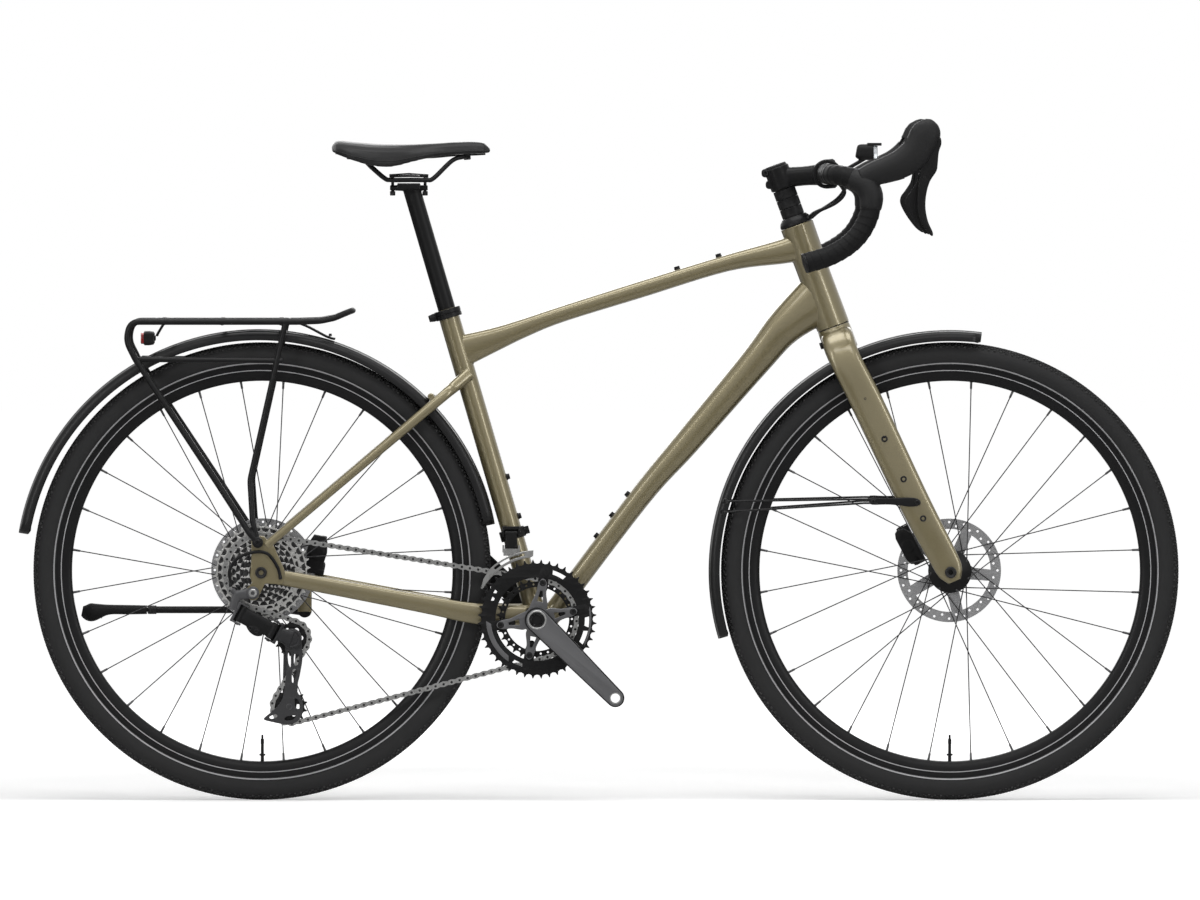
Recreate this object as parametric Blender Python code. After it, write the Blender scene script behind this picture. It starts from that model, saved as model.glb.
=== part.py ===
"""Gravel touring bicycle with a rear rack, mudguards and lights, built as separate pieces.

Metres. +X points forward, +Y to the rider's left, +Z up. The ground is z = 0 and the
origin lies on it, halfway along the bicycle. The drive side is the right side, y < 0.
"""

import math

import bmesh
import bpy
from mathutils import Matrix, Vector

# Clearances, and the sides and steps of round shapes
GAP = 0.0003
RUNNING = 0.0006
ROUND_SIDES = 14
SHELL_SIDES = 16
BAR_SIDES = 8
WHEEL_STEPS = 36

# Wheels
RIM_RADIUS = 0.317
TYRE_HEIGHT = 0.0355
TYRE_WIDTH = 0.042
TYRE_TREAD = 0.016
RIM_DEPTH = 0.024
RIM_WELL = 0.0085
RIM_WIDTH = 0.025
SPOKE_COUNT = 28
SPOKE_RADIUS = 0.0011
SPOKE_LEAD = math.radians(52)
VALVE_RADIUS = 0.003
VALVE_LENGTH = 0.036
HUB_LIP = 0.0025
REAR_FLANGES = (0.0240, -0.0190)
REAR_FLANGE_RADIUS = 0.0260
REAR_BARREL = 0.0160
REAR_HUB_WIDTH = 0.142
REAR_HUB_RIGHT_END = -0.0330
FRONT_FLANGES = (0.0130, -0.0250)
FRONT_FLANGE_RADIUS = 0.0330
FRONT_BARREL = 0.0290
FRONT_HUB_WIDTH = 0.100
AXLE_RADIUS = 0.006
AXLE_HEAD_RADIUS = 0.0090
AXLE_HEAD_HEIGHT = 0.0045

# Brakes
ROTOR_RADIUS = 0.080
ROTOR_TRACK = 0.015
ROTOR_BORE = 0.0220
ROTOR_HUB_BAND = 0.009
ROTOR_THICKNESS = 0.0018
ROTOR_ARMS = 5
REAR_ROTOR_Y = 0.0500
FRONT_ROTOR_Y = 0.0350
CALIPER_SLOT = 0.0020
REAR_CALIPER = (0.062, 0.034, 0.034)
FRONT_CALIPER = (0.030, 0.036, 0.066)
FRONT_CALIPER_SHARE = 0.62

# Frame geometry
REAR_AXLE_X = -0.5208
WHEELBASE = 1.0589
BB_DROP = 0.0724
SHELL_ROOM = 0.0710
SEAT_ANGLE = math.radians(73.7)
SEAT_TUBE_LENGTH = 0.496
SEAT_TUBE_RADIUS = 0.0160
HEAD_ANGLE = math.radians(70.2)
HEAD_LENGTH = 0.166
HEAD_RADIUS = 0.0258
CROWN_ROOM = 0.0628
FORK_RAKE = 0.0413
FORK_PLATE = 0.0140
CROWN_HEIGHT = 0.040
BB_SHELL_RADIUS = 0.0235
BB_SHELL_WIDTH = 0.073
SHELL_BORE = 0.018
CUP_RADIUS = 0.0215
CUP_WIDTH = 0.0045
DOWN_TUBE_RISE = 0.050
TOP_TUBE_SEAT_DROP = 0.069
TOP_TUBE_HEAD_DROP = 0.033
SEAT_STAY_DROP = 0.108
SEAT_STAY_KNEE = math.radians(44.2)
KNEE_ROOM = 0.0048
STAY_PLATE = 0.0075
GUARD_BRIDGE_ANGLE = math.radians(46)
GUARD_BRIDGE_LENGTH = 0.072
GUARD_BRIDGE_DEPTH = 0.011

# Threaded bosses, by share of a tube's length or by distance along it, on the fork up from its end
BOSS_HEIGHT = 0.0042
BOSS_RADIUS = 0.0048
BOSS_ROOT = 0.004
DOWN_BOSSES = (0.235, 0.295, 0.355)
TOP_BOSSES = (0.645, 0.765)
SEAT_BOSSES = (0.159, 0.222)
FORK_BOSSES = (0.2273, 0.1593, 0.0923)

# Frame tubes: share of the length, sag below the line, half depth and half width
DOWN_TUBE = (
    (0.011, 0.0141, 0.0160, 0.0170), (0.364, -0.0046, 0.0168, 0.0185), (0.535, -0.0065, 0.0200, 0.0195),
    (0.780, -0.0100, 0.0235, 0.0215), (0.890, -0.0120, 0.0285, 0.0230), (1.000, 0.0000, 0.0400, 0.0200),
)
TOP_TUBE = (
    (0.000, 0.0000, 0.0255, 0.0130), (0.100, -0.0025, 0.0185, 0.0150), (0.190, -0.0052, 0.0145, 0.0160),
    (0.260, -0.0092, 0.0122, 0.0165), (0.526, -0.0096, 0.0128, 0.0170), (0.778, -0.0091, 0.0128, 0.0175),
    (0.937, -0.0008, 0.0190, 0.0190), (1.000, 0.0000, 0.0230, 0.0190),
)

# Seat
SEATPOST_RADIUS = 0.0136
SEATPOST_EXPOSED = 0.1970
SEATPOST_INSERTION = 0.116
SEATPOST_TRAVEL_DOWN = 0.075
SADDLE_LENGTH = 0.2465
SADDLE_WIDTH = 0.145
SADDLE_BACK = 0.1230
SADDLE_LIFT = 0.0620
SADDLE_CHANNEL = 0.0022
BASE_THICKNESS = 0.0030
RAIL_RADIUS = 0.0035
RAIL_SPREAD = 0.0220
RAIL_DROP = 0.0525
RAIL_NOSE_ROOM = 0.0365
JAW_LENGTH = 0.062
JAW_WIDTH = 0.054
JAW_HEIGHT = 0.012
UPPER_JAW_HEIGHT = 0.005
JAW_BOLT_RADIUS = 0.0026
COLLAR_HEIGHT = 0.014
COLLAR_WALL = 0.0045

# Stem and headset
STEERER_RADIUS = 0.0143
STEM_RISE = 0.0770
STEM_CLAMP_HEIGHT = 0.036
STEM_REACH = 0.0724
STEM_LIFT = 0.0061
STEM_RADIUS = 0.0195
STEM_SPLIT = 0.0020
FACE_RADIUS = 0.0230
FACE_WIDTH = 0.046
CAP_RADIUS = 0.0170
CAP_HEIGHT = 0.0045
COVER_HEIGHT = 0.0140
COVER_RADIUS = 0.0235
COVER_TOP_RADIUS = 0.0190
COVER_ENTRY = 0.0044
SPACER_RADIUS = 0.0175

# Handlebar: ahead of, beside and above the middle of its clamp
BAR_CLAMP_RADIUS = 0.0159
BAR_CLAMP_HALF = 0.034
BAR_TAPER_END = 0.058
BAR_RADIUS = 0.0120
TAPE_RADIUS = 0.0158
TAPE_START = 0.070
BAR_ROUTE = (
    (0.0000, 0.000, 0.0000), (0.0000, BAR_CLAMP_HALF, 0.0000), (0.0000, BAR_TAPER_END, 0.0000),
    (0.0000, TAPE_START, 0.0000), (0.0020, 0.150, 0.0000), (0.0120, 0.186, -0.0010), (0.0350, 0.206, -0.0055),
    (0.0540, 0.212, -0.0150), (0.0640, 0.215, -0.0320), (0.0630, 0.217, -0.0530), (0.0560, 0.218, -0.0740),
    (0.0430, 0.220, -0.0940), (0.0240, 0.222, -0.1110), (-0.0020, 0.226, -0.1250), (-0.0344, 0.230, -0.1345),
)
PLUG_HEIGHT = 0.005

# Controls: the hood's middle line with its half height and half width, then the levers' outlines
HOOD_SPREAD = 0.213
HOOD_STATIONS = (
    (0.0560, -0.0100, 0.0180, 0.0150), (0.0830, 0.0060, 0.0215, 0.0155), (0.1080, 0.0210, 0.0240, 0.0155),
    (0.1270, 0.0400, 0.0235, 0.0150), (0.1360, 0.0560, 0.0210, 0.0140), (0.1360, 0.0690, 0.0120, 0.0100),
)
LEVER_PIVOT = (0.1430, 0.0345)
LEVER_THICKNESS = 0.0110
LEVER_OUTLINE = (
    (0.1380, 0.0400), (0.1490, 0.0400), (0.1510, 0.0240), (0.1555, 0.0080), (0.1480, -0.0080),
    (0.1425, -0.0250), (0.1400, -0.0500), (0.1430, -0.0750), (0.1500, -0.0960), (0.1450, -0.0985),
    (0.1340, -0.0800), (0.1280, -0.0550), (0.1285, -0.0300), (0.1310, -0.0080), (0.1330, 0.0080),
    (0.1370, 0.0240),
)
PADDLE_PIVOT = (0.1360, -0.0020)
PADDLE_THICKNESS = 0.0035
PADDLE_OUTLINE = (
    (0.1340, 0.0000), (0.1250, -0.0280), (0.1110, -0.0390), (0.1095, -0.0500), (0.1180, -0.0690),
    (0.1340, -0.0900), (0.1405, -0.0920), (0.1330, -0.0700), (0.1300, -0.0480), (0.1330, -0.0200),
    (0.1375, 0.0000),
)

# Lights and cables
LIGHT_AHEAD = 0.0620
LIGHT_ABOVE = 0.0337
LIGHT_HALF_LENGTH = 0.0170
LIGHT_HALF_HEIGHT = 0.0125
TAIL_LIGHT = (0.016, 0.050, 0.022)
TAIL_LENS = (0.007, 0.046, 0.018)
CABLE_RADIUS = 0.0025
SHIFT_ENTRY = math.pi / ROUND_SIDES
BRAKE_ENTRY = 3 * math.pi / ROUND_SIDES

# Cranks and chainrings
CRANK_LENGTH = 0.170
CRANK_ANGLE = math.radians(-45)
CRANK_INNER_Y = 0.072
CRANK_OUTER_Y = 0.086
ARM_RADIUS = 0.0190
EYE_RADIUS = 0.0140
PEDAL_HOLE_RADIUS = 0.0070
SPINDLE_RADIUS = 0.012
SPIDER_REACH = 0.0560
SPIDER_THICKNESS = 0.0048
SPIDER_TURNS = (57, 126, 234, 303)
SMALL_BOLT_CIRCLE = 0.0400
BIG_RING_TEETH = 44
SMALL_RING_TEETH = 30
BIG_RING_Y = -0.0510
BIG_RING_BAND = 0.0210
CHAINLINE_Y = -0.0435
RING_THICKNESS = 0.0020

# Cassette and chain
LINK_PITCH = 0.0127
COG_TEETH = (36, 32, 28, 24, 21, 18, 15, 13, 11)
CHAIN_COG = 28
FIRST_COG_Y = -0.0350
COG_SPACING = 0.00395
COG_THICKNESS = 0.0018
COG_BODY_RADIUS = 0.0170
TOOTH_HEIGHT = 0.0030
CHAIN_INNER = 0.0030
CHAIN_PLATE = 0.0011
CHAIN_HEIGHT = 0.0080
CHAIN_PIN_RADIUS = 0.0022

# Derailleurs
PULLEY_TEETH = 13
PULLEY_TOOTH = 0.0024
PULLEY_BOLT_RADIUS = 0.0035
CAGE_GAP = 0.0042
CAGE_PLATE = 0.0016
RD_BOLT_RADIUS = 0.0040
LINK_Y = -0.0800
LINK_WIDTH = 0.012
LINK_HEIGHT = 0.026
EAR = 0.0030
KNUCKLE_RADIUS = 0.0150
FD_HEIGHT = 0.135
FD_LINK = 0.0220
FD_LINK_LENGTH = 0.0200
FD_COLLAR_WALL = 0.0038
FD_CAGE_INNER = 0.0950
FD_CAGE_OUTER = 0.1130
FD_CAGE_GAP = 0.0058
FD_CAGE_PLATE = 0.0012

# Mudguards
GUARD_HALF_WIDTH = 0.028
GUARD_SKIRT = 0.016
GUARD_WALL = 0.0016
GUARD_CROWN = 0.0010
REAR_GUARD_ROOM = 0.0193
REAR_GUARD_SPREAD = 0.016
REAR_GUARD_START = math.radians(11.5)
REAR_GUARD_END = math.radians(171)
FRONT_GUARD_ROOM = 0.0180
FRONT_GUARD_START = math.radians(82.4)
FRONT_GUARD_END = math.radians(196.3)
STAY_RADIUS = 0.0020
STAY_TURN = math.radians(164)
STAY_BRACKET = 0.0026
STAY_RISE = 0.1153

# Rack
RACK_TUBE = 0.0050
RACK_THIN_TUBE = 0.0046
RACK_HALF_WIDTH = 0.060
RACK_ROOM = 0.0323
RACK_FOOT_OFFSET = 0.0055
RACK_EYE_RADIUS = 0.0085
RACK_BARS = (-0.150, -0.060, 0.030)
DECK_LENGTH = 0.210
DECK_HALF_WIDTH = 0.020
DECK_THICKNESS = 0.003

# Kickstand
STAND_RADIUS = 0.0055
STAND_HEAD_RADIUS = 0.0110
STAND_HEAD_INNER = 0.0085
STAND_HEAD_OUTER = 0.0095
STAND_TUBE_END = 0.2430
FOOT_ROD_RADIUS = 0.0034
FOOT_GRIP = 0.0800

# Finishes: base colour, roughness, metallic
FINISHES = {
    "paint": ((0.33, 0.29, 0.18), 0.28, 0.6),
    "black_satin": ((0.018, 0.018, 0.019), 0.42, 0.3),
    "black_plastic": ((0.022, 0.022, 0.023), 0.55, 0.0),
    "rubber": ((0.028, 0.028, 0.028), 0.85, 0.0),
    "tape": ((0.030, 0.030, 0.032), 0.75, 0.0),
    "grey_alloy": ((0.12, 0.12, 0.125), 0.40, 0.9),
    "steel": ((0.55, 0.55, 0.55), 0.28, 1.0),
}

SIDE = Vector((0, 1, 0))
UP = Vector((0, 0, 1))
FORWARD = Vector((1, 0, 0))

# Points and directions worked out from the sizes above
TYRE_RADIUS = RIM_RADIUS + TYRE_HEIGHT
CHAINSTAY_REACH = TYRE_RADIUS + SHELL_ROOM
FORK_LENGTH = TYRE_RADIUS + CROWN_ROOM
REAR_GUARD_RADIUS = TYRE_RADIUS + REAR_GUARD_ROOM
FRONT_GUARD_RADIUS = TYRE_RADIUS + FRONT_GUARD_ROOM
RACK_HEIGHT = TYRE_RADIUS + RACK_ROOM
REAR_AXLE = Vector((REAR_AXLE_X, 0, TYRE_RADIUS))
FRONT_AXLE = REAR_AXLE + FORWARD * WHEELBASE
BB = REAR_AXLE + Vector((CHAINSTAY_REACH, 0, -BB_DROP))
SEAT_AXIS = Vector((-math.cos(SEAT_ANGLE), 0, math.sin(SEAT_ANGLE)))
SEAT_FORE = Vector((math.sin(SEAT_ANGLE), 0, math.cos(SEAT_ANGLE)))
SEAT_TOP = BB + SEAT_AXIS * SEAT_TUBE_LENGTH
STEER_AXIS = Vector((-math.cos(HEAD_ANGLE), 0, math.sin(HEAD_ANGLE)))
STEER_FORE = Vector((math.sin(HEAD_ANGLE), 0, math.cos(HEAD_ANGLE)))
HEAD_BOTTOM = FRONT_AXLE - STEER_FORE * FORK_RAKE + STEER_AXIS * FORK_LENGTH
HEAD_TOP = HEAD_BOTTOM + STEER_AXIS * HEAD_LENGTH
STEM_CENTRE = HEAD_TOP + STEER_AXIS * STEM_RISE
BAR_CENTRE = STEM_CENTRE + Vector((STEM_REACH, 0, STEM_LIFT))
STEM_RUN = (BAR_CENTRE - STEM_CENTRE).normalized()
LIGHT_CENTRE = BAR_CENTRE + Vector((LIGHT_AHEAD, 0, LIGHT_ABOVE))
POST_HEAD = SEAT_TOP + SEAT_AXIS * SEATPOST_EXPOSED
SADDLE_REAR = POST_HEAD + Vector((-SADDLE_BACK, 0, SADDLE_LIFT))
RAIL_FRONT = SADDLE_LENGTH - RAIL_NOSE_ROOM

STAY_FACE = REAR_HUB_WIDTH / 2 + GAP
STAY_MID = STAY_FACE + STAY_PLATE / 2
STAY_OUTER = STAY_FACE + STAY_PLATE
DOWN_TUBE_END = HEAD_BOTTOM + STEER_AXIS * DOWN_TUBE_RISE
TOP_TUBE_START = SEAT_TOP - SEAT_AXIS * TOP_TUBE_SEAT_DROP
TOP_TUBE_END = HEAD_TOP - STEER_AXIS * TOP_TUBE_HEAD_DROP
SEAT_STAY_TOP = SEAT_TOP - SEAT_AXIS * SEAT_STAY_DROP
EYELET = REAR_AXLE + Vector((-0.0050, 0, 0.0465))
HANGER = REAR_AXLE + Vector((-0.0125, 0, -0.0310))
CALIPER_FOOT = REAR_AXLE + Vector((0.0650, 0, -0.0140))
EYE_Y = STAY_OUTER + GAP

SPIDER_Y = BIG_RING_Y - RING_THICKNESS / 2 - GAP
GUIDE_CENTRE = REAR_AXLE + Vector((0.0470, 0, -0.1015))
TENSION_CENTRE = GUIDE_CENTRE + Vector((-0.0045, 0, -0.1055))
LINK_START = REAR_AXLE + Vector((-0.0300, 0, -0.0640))
LINK_END = GUIDE_CENTRE + Vector((-0.0290, 0, 0.0120))
CABLE_STOP = REAR_AXLE + Vector((-0.0450, 0, -0.0260))
FD_CLAMP = BB + SEAT_AXIS * FD_HEIGHT
FD_PIN = FD_CLAMP + Vector((-0.0020, -0.0270, 0.0020))
STAND_PIVOT = REAR_AXLE + Vector((0.0640, 0.0720, -0.0620))
STAND_AXIS = Vector((0, -0.968, -0.252)).normalized()

# Fork legs: down from the crown race, forward, outward, half depth and half thickness
LEG_END_OUT = FRONT_HUB_WIDTH / 2 + GAP + FORK_PLATE / 2
LEG_END_HALF = FORK_PLATE / 2 / math.cos(math.pi / 12)
LEG_STATIONS = (
    (0.0220, 0.0000, 0.0000, 0.0255, 0.0190), (0.0220, 0.0000, 0.0280, 0.0255, 0.0190),
    (0.0560, 0.0000, 0.0425, 0.0255, 0.0120), (FORK_LENGTH - 0.2813, 0.0096, 0.0475, 0.0262, 0.0110),
    (FORK_LENGTH - 0.1213, 0.0254, 0.0550, 0.0252, 0.0105),
    (FORK_LENGTH - 0.0253, 0.0385, LEG_END_OUT, 0.0235, LEG_END_HALF),
    (FORK_LENGTH, FORK_RAKE, LEG_END_OUT, 0.0205, LEG_END_HALF),
    (FORK_LENGTH + 0.0150, FORK_RAKE + 0.0010, LEG_END_OUT, 0.0120, LEG_END_HALF),
)

# Saddle: share of length, share of half width, then crown, edge and underside heights
SADDLE_STATIONS = (
    (0.000, 0.50, 0.0005, -0.0080, -0.0090), (0.035, 0.80, 0.0080, -0.0150, -0.0100),
    (0.120, 0.98, 0.0065, -0.0230, -0.0120), (0.250, 1.00, 0.0035, -0.0320, -0.0140),
    (0.380, 0.84, 0.0022, -0.0340, -0.0155), (0.500, 0.60, 0.0022, -0.0270, -0.0165),
    (0.640, 0.40, 0.0036, -0.0190, -0.0160), (0.780, 0.31, 0.0056, -0.0150, -0.0130),
    (0.900, 0.275, 0.0070, -0.0140, -0.0120), (0.970, 0.22, 0.0045, -0.0130, -0.0110),
    (1.000, 0.10, -0.0040, -0.0110, -0.0100),
)


# Shape helpers

def frames_along(points, hint):
    """A cross direction pair at each point of a path, carried along without twist."""
    result = []
    across = hint
    last = len(points) - 1
    for i, here in enumerate(points):
        tangent = (points[min(i + 1, last)] - points[max(i - 1, 0)]).normalized()
        across = (across - tangent * across.dot(tangent)).normalized()
        result.append((here, across, tangent.cross(across)))
    return result


def smooth_path(points, per_span):
    """Points on a smooth curve through the given ones."""
    result = []
    last = len(points) - 1
    for i in range(last):
        before = points[max(i - 1, 0)]
        start, end = points[i], points[i + 1]
        after = points[min(i + 2, last)]
        for k in range(per_span):
            t = k / per_span
            value = 2 * start + (end - before) * t
            value += (2 * before - 5 * start + 4 * end - after) * t ** 2
            value += (3 * start - before - 3 * end + after) * t ** 3
            result.append(value / 2)
    result.append(points[last].copy())
    return result


def ring_points(frame, size, sides):
    """One oval of a skin, size being the half size along each cross direction."""
    centre, across, other = frame
    wide, deep = size
    turn = math.pi / sides
    result = []
    for k in range(sides):
        angle = turn + 2 * math.pi * k / sides
        result.append(centre + across * (wide * math.cos(angle)) + other * (deep * math.sin(angle)))
    return result


def bridge_loops(bm, loops, closed=False):
    """Joins rings of points into walls, with an end face on each open end."""
    rows = [[bm.verts.new(p) for p in loop] for loop in loops]
    pairs = list(zip(rows, rows[1:]))
    if closed:
        pairs.append((rows[-1], rows[0]))
    for first, second in pairs:
        count = len(first)
        for k in range(count):
            bm.faces.new((first[k], first[(k + 1) % count], second[(k + 1) % count], second[k]))
    if not closed:
        bm.faces.new(rows[0])
        bm.faces.new(rows[-1])
    return rows


def skin(frames, sizes, sides=12):
    """A solid tube through the frames; sizes is one radius, or a half size pair for each."""
    bm = bmesh.new()
    if isinstance(sizes, float):
        sizes = [(sizes, sizes)] * len(frames)
    bridge_loops(bm, [ring_points(f, s, sides) for f, s in zip(frames, sizes)])
    return bm


def sleeve(frames, inner, outer, sides):
    """An open tube of even wall along the frames."""
    bm = bmesh.new()
    inside = [ring_points(f, (inner, inner), sides) for f in frames]
    outside = [ring_points(f, (outer, outer), sides) for f in frames]
    bridge_loops(bm, outside + inside[::-1], closed=True)
    return bm


def tube(points, sizes, sides=12, hint=SIDE):
    """A solid tube along a path."""
    return skin(frames_along(points, hint), sizes, sides)


def rod(start, end, radius, sides=12):
    """A round bar between two points."""
    hint = SIDE if abs((end - start).normalized().y) < 0.9 else FORWARD
    return tube([start, end], float(radius), sides, hint)


def collar(start, end, inner, outer, sides=20):
    """A ring with a round hole along its axis."""
    hint = SIDE if abs((end - start).normalized().y) < 0.9 else FORWARD
    return sleeve(frames_along([start, end], hint), inner, outer, sides)


def turned(profile, steps, centre):
    """A closed outline of (radius, y) pairs turned about the sideways axis through centre."""
    bm = bmesh.new()
    loops = []
    for k in range(steps):
        angle = 2 * math.pi * k / steps - math.pi / 2
        loops.append([centre + direction(angle) * radius + SIDE * y for radius, y in profile])
    bridge_loops(bm, loops, closed=True)
    return bm


def plate(outline, y_low, y_high):
    """A flat plate: an outline of points at y = 0, from y_low to y_high."""
    bm = bmesh.new()
    bridge_loops(bm, [[p + SIDE * y for p in outline] for y in (y_low, y_high)])
    return bm


def block(centre, size, axes=(FORWARD, SIDE, UP)):
    """A box of the given full size along three directions."""
    bm = bmesh.new()
    along, across, high = (axis * (length / 2) for axis, length in zip(axes, size))
    corners = ((1, 1), (-1, 1), (-1, -1), (1, -1))
    loops = [[centre + along * a + across * b + high * c for a, b in corners] for c in (-1, 1)]
    bridge_loops(bm, loops)
    return bm


def direction(angle):
    """The way out from a sideways axis at an angle counted from forward towards up."""
    return Vector((math.cos(angle), 0, math.sin(angle)))


def arc(centre, radius, start, end, steps):
    """Points at y = 0 round a centre, angles counted from forward towards up."""
    result = []
    for k in range(steps + 1):
        angle = start + (end - start) * k / steps
        result.append(centre + direction(angle) * radius)
    return result


def capsule(first, second, first_radius, second_radius, steps=6):
    """The outline of an arm with a round end about each of two points."""
    run = second - first
    angle = math.atan2(run.z, run.x)
    lean = math.asin((first_radius - second_radius) / run.length)
    quarter = math.pi / 2
    far = arc(second, second_radius, angle - quarter + lean, angle + quarter - lean, steps)
    near = arc(first, first_radius, angle + quarter - lean, angle + 3 * quarter + lean, steps)
    return far + near


def toothed(centre, teeth, height, middle_radius):
    """The outline of a sprocket with pointed teeth."""
    result = []
    for k in range(2 * teeth):
        angle = math.pi * k / teeth
        radius = middle_radius + (height if k % 2 == 0 else -height)
        result.append(centre + direction(angle) * radius)
    return result


def pitch_radius(teeth):
    """The radius on which the chain's rollers sit."""
    return LINK_PITCH / (2 * math.sin(math.pi / teeth))


# Object helpers

def piece(name, bm, finish, at=None):
    """Makes a named object of its own material, with its origin at the given point."""
    origin = at.copy() if at else Vector((0, 0, 0))
    bmesh.ops.recalc_face_normals(bm, faces=bm.faces)
    bmesh.ops.translate(bm, verts=bm.verts, vec=-origin)
    mesh = bpy.data.meshes.new(name)
    bm.to_mesh(mesh)
    bm.free()
    mesh.shade_smooth()
    mesh.set_sharp_from_angle(angle=math.radians(35))
    colour, roughness, metallic = FINISHES[finish]
    material = bpy.data.materials.new(name)
    material.use_nodes = True
    shader = material.node_tree.nodes["Principled BSDF"]
    shader.inputs["Base Color"].default_value = (*colour, 1)
    shader.inputs["Roughness"].default_value = roughness
    shader.inputs["Metallic"].default_value = metallic
    mesh.materials.append(material)
    obj = bpy.data.objects.new(name, mesh)
    obj.location = origin
    bpy.context.collection.objects.link(obj)
    return obj


def combine(target, bm, operation):
    """Adds a Boolean with a hidden helper shape."""
    helper = piece(f"{target.name}_{operation.lower()}_{len(target.modifiers)}", bm, "steel")
    helper.hide_render = True
    helper.display_type = "WIRE"
    modifier = target.modifiers.new(helper.name, "BOOLEAN")
    modifier.operation = operation
    modifier.object = helper
    modifier.solver = "EXACT"


def weld(target, *shapes):
    """Joins shapes to a piece."""
    for bm in shapes:
        combine(target, bm, "UNION")


def cut(target, *shapes):
    """Takes shapes out of a piece."""
    for bm in shapes:
        combine(target, bm, "DIFFERENCE")


def hold(parent, *children):
    """Parents pieces to an empty on their joint's axis, leaving them where they are."""
    for child in children:
        child.parent = parent
        child.matrix_parent_inverse = Matrix.Translation(-parent.location)


def pivot(name, at):
    """An empty on a joint's axis."""
    empty = bpy.data.objects.new(name, None)
    empty.location = at
    bpy.context.collection.objects.link(empty)
    return empty


# Frame

def bowed_tube(start, end, stations, sides=12):
    """A tube between two points; each station is share, sag, half depth and half width."""
    run = end - start
    below = SIDE.cross(run).normalized()
    points = [start + run * share + below * sag for share, sag, _, _ in stations]
    sizes = [(wide, deep) for _, _, deep, wide in stations]
    return tube(points, sizes, sides)


def guard_radius(angle):
    """The rear guard's outer radius, which opens towards its tail."""
    return REAR_GUARD_RADIUS + REAR_GUARD_SPREAD * (angle - math.pi / 2) / math.pi


def mirrored(point):
    """The same point on the other side."""
    return Vector((point.x, -point.y, point.z))


def seat_stay(side):
    """One seat stay, spread round the wheel and drawn in at the seat tube."""
    low = EYELET + Vector((0.0120, side * STAY_MID, -0.0060))
    knee = REAR_AXLE + direction(SEAT_STAY_KNEE) * (REAR_GUARD_RADIUS + KNEE_ROOM) + SIDE * (side * 0.0385)
    top = SEAT_STAY_TOP + Vector((0.004, side * 0.0100, 0.004))
    path = [low, low.lerp(knee, 0.5) + SIDE * (side * 0.003), knee, knee.lerp(top, 0.5), top]
    sizes = [(0.0055, 0.0065), (0.0065, 0.0070), (0.0070, 0.0080), (0.0080, 0.0090), (0.0085, 0.0100)]
    return tube(path, sizes, 8)


def chain_stay(side):
    """One chain stay, from the shell round the tyre to the dropout."""
    path = [
        BB + Vector((-0.014, side * 0.0280, 0.004)),
        BB + Vector((-0.0930, side * 0.0345, 0.0080)),
        BB + Vector((-0.1790, side * 0.0450, 0.0240)),
        CALIPER_FOOT + SIDE * (side * 0.0650),
        REAR_AXLE + Vector((0.0260, side * STAY_MID, -0.0075)),
    ]
    sizes = [(0.0075, 0.0165), (0.0058, 0.0160), (0.0068, 0.0135), (0.0060, 0.0115), (0.0034, 0.0110)]
    return tube(path, sizes, 8)


def dropout(side):
    """The plate that holds the axle, with the rack's eye and, on the right, the hanger."""
    offsets = [(0.034, -0.018), (0.034, 0.004), (0.018, 0.040), (0.002, 0.056), (-0.014, 0.052)]
    offsets += [(-0.015, 0.020), (-0.017, -0.014)]
    if side < 0:
        offsets += [(-0.024, -0.026), (-0.022, -0.040), (-0.006, -0.042)]
    offsets += [(0.006, -0.016)]
    outline = [REAR_AXLE + Vector((x, 0, z)) for x, z in offsets]
    ends = sorted((side * STAY_FACE, side * STAY_OUTER))
    return plate(outline, *ends)


def boss(foot, outward):
    """A threaded boss with its bolt head, standing on a tube."""
    return rod(foot - outward * BOSS_ROOT, foot + outward * BOSS_HEIGHT, BOSS_RADIUS, 6)


def tube_top(start, end, stations, share):
    """The point on a bowed tube's upper face at a share of its length, and the way out from it."""
    for first, second in zip(stations, stations[1:]):
        if first[0] <= share <= second[0]:
            along = (share - first[0]) / (second[0] - first[0])
            sag = first[1] + (second[1] - first[1]) * along
            deep = first[2] + (second[2] - first[2]) * along
    out = (end - start).cross(SIDE).normalized()
    return start + (end - start) * share + out * (deep * math.cos(math.pi / 12) - sag), out


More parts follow.
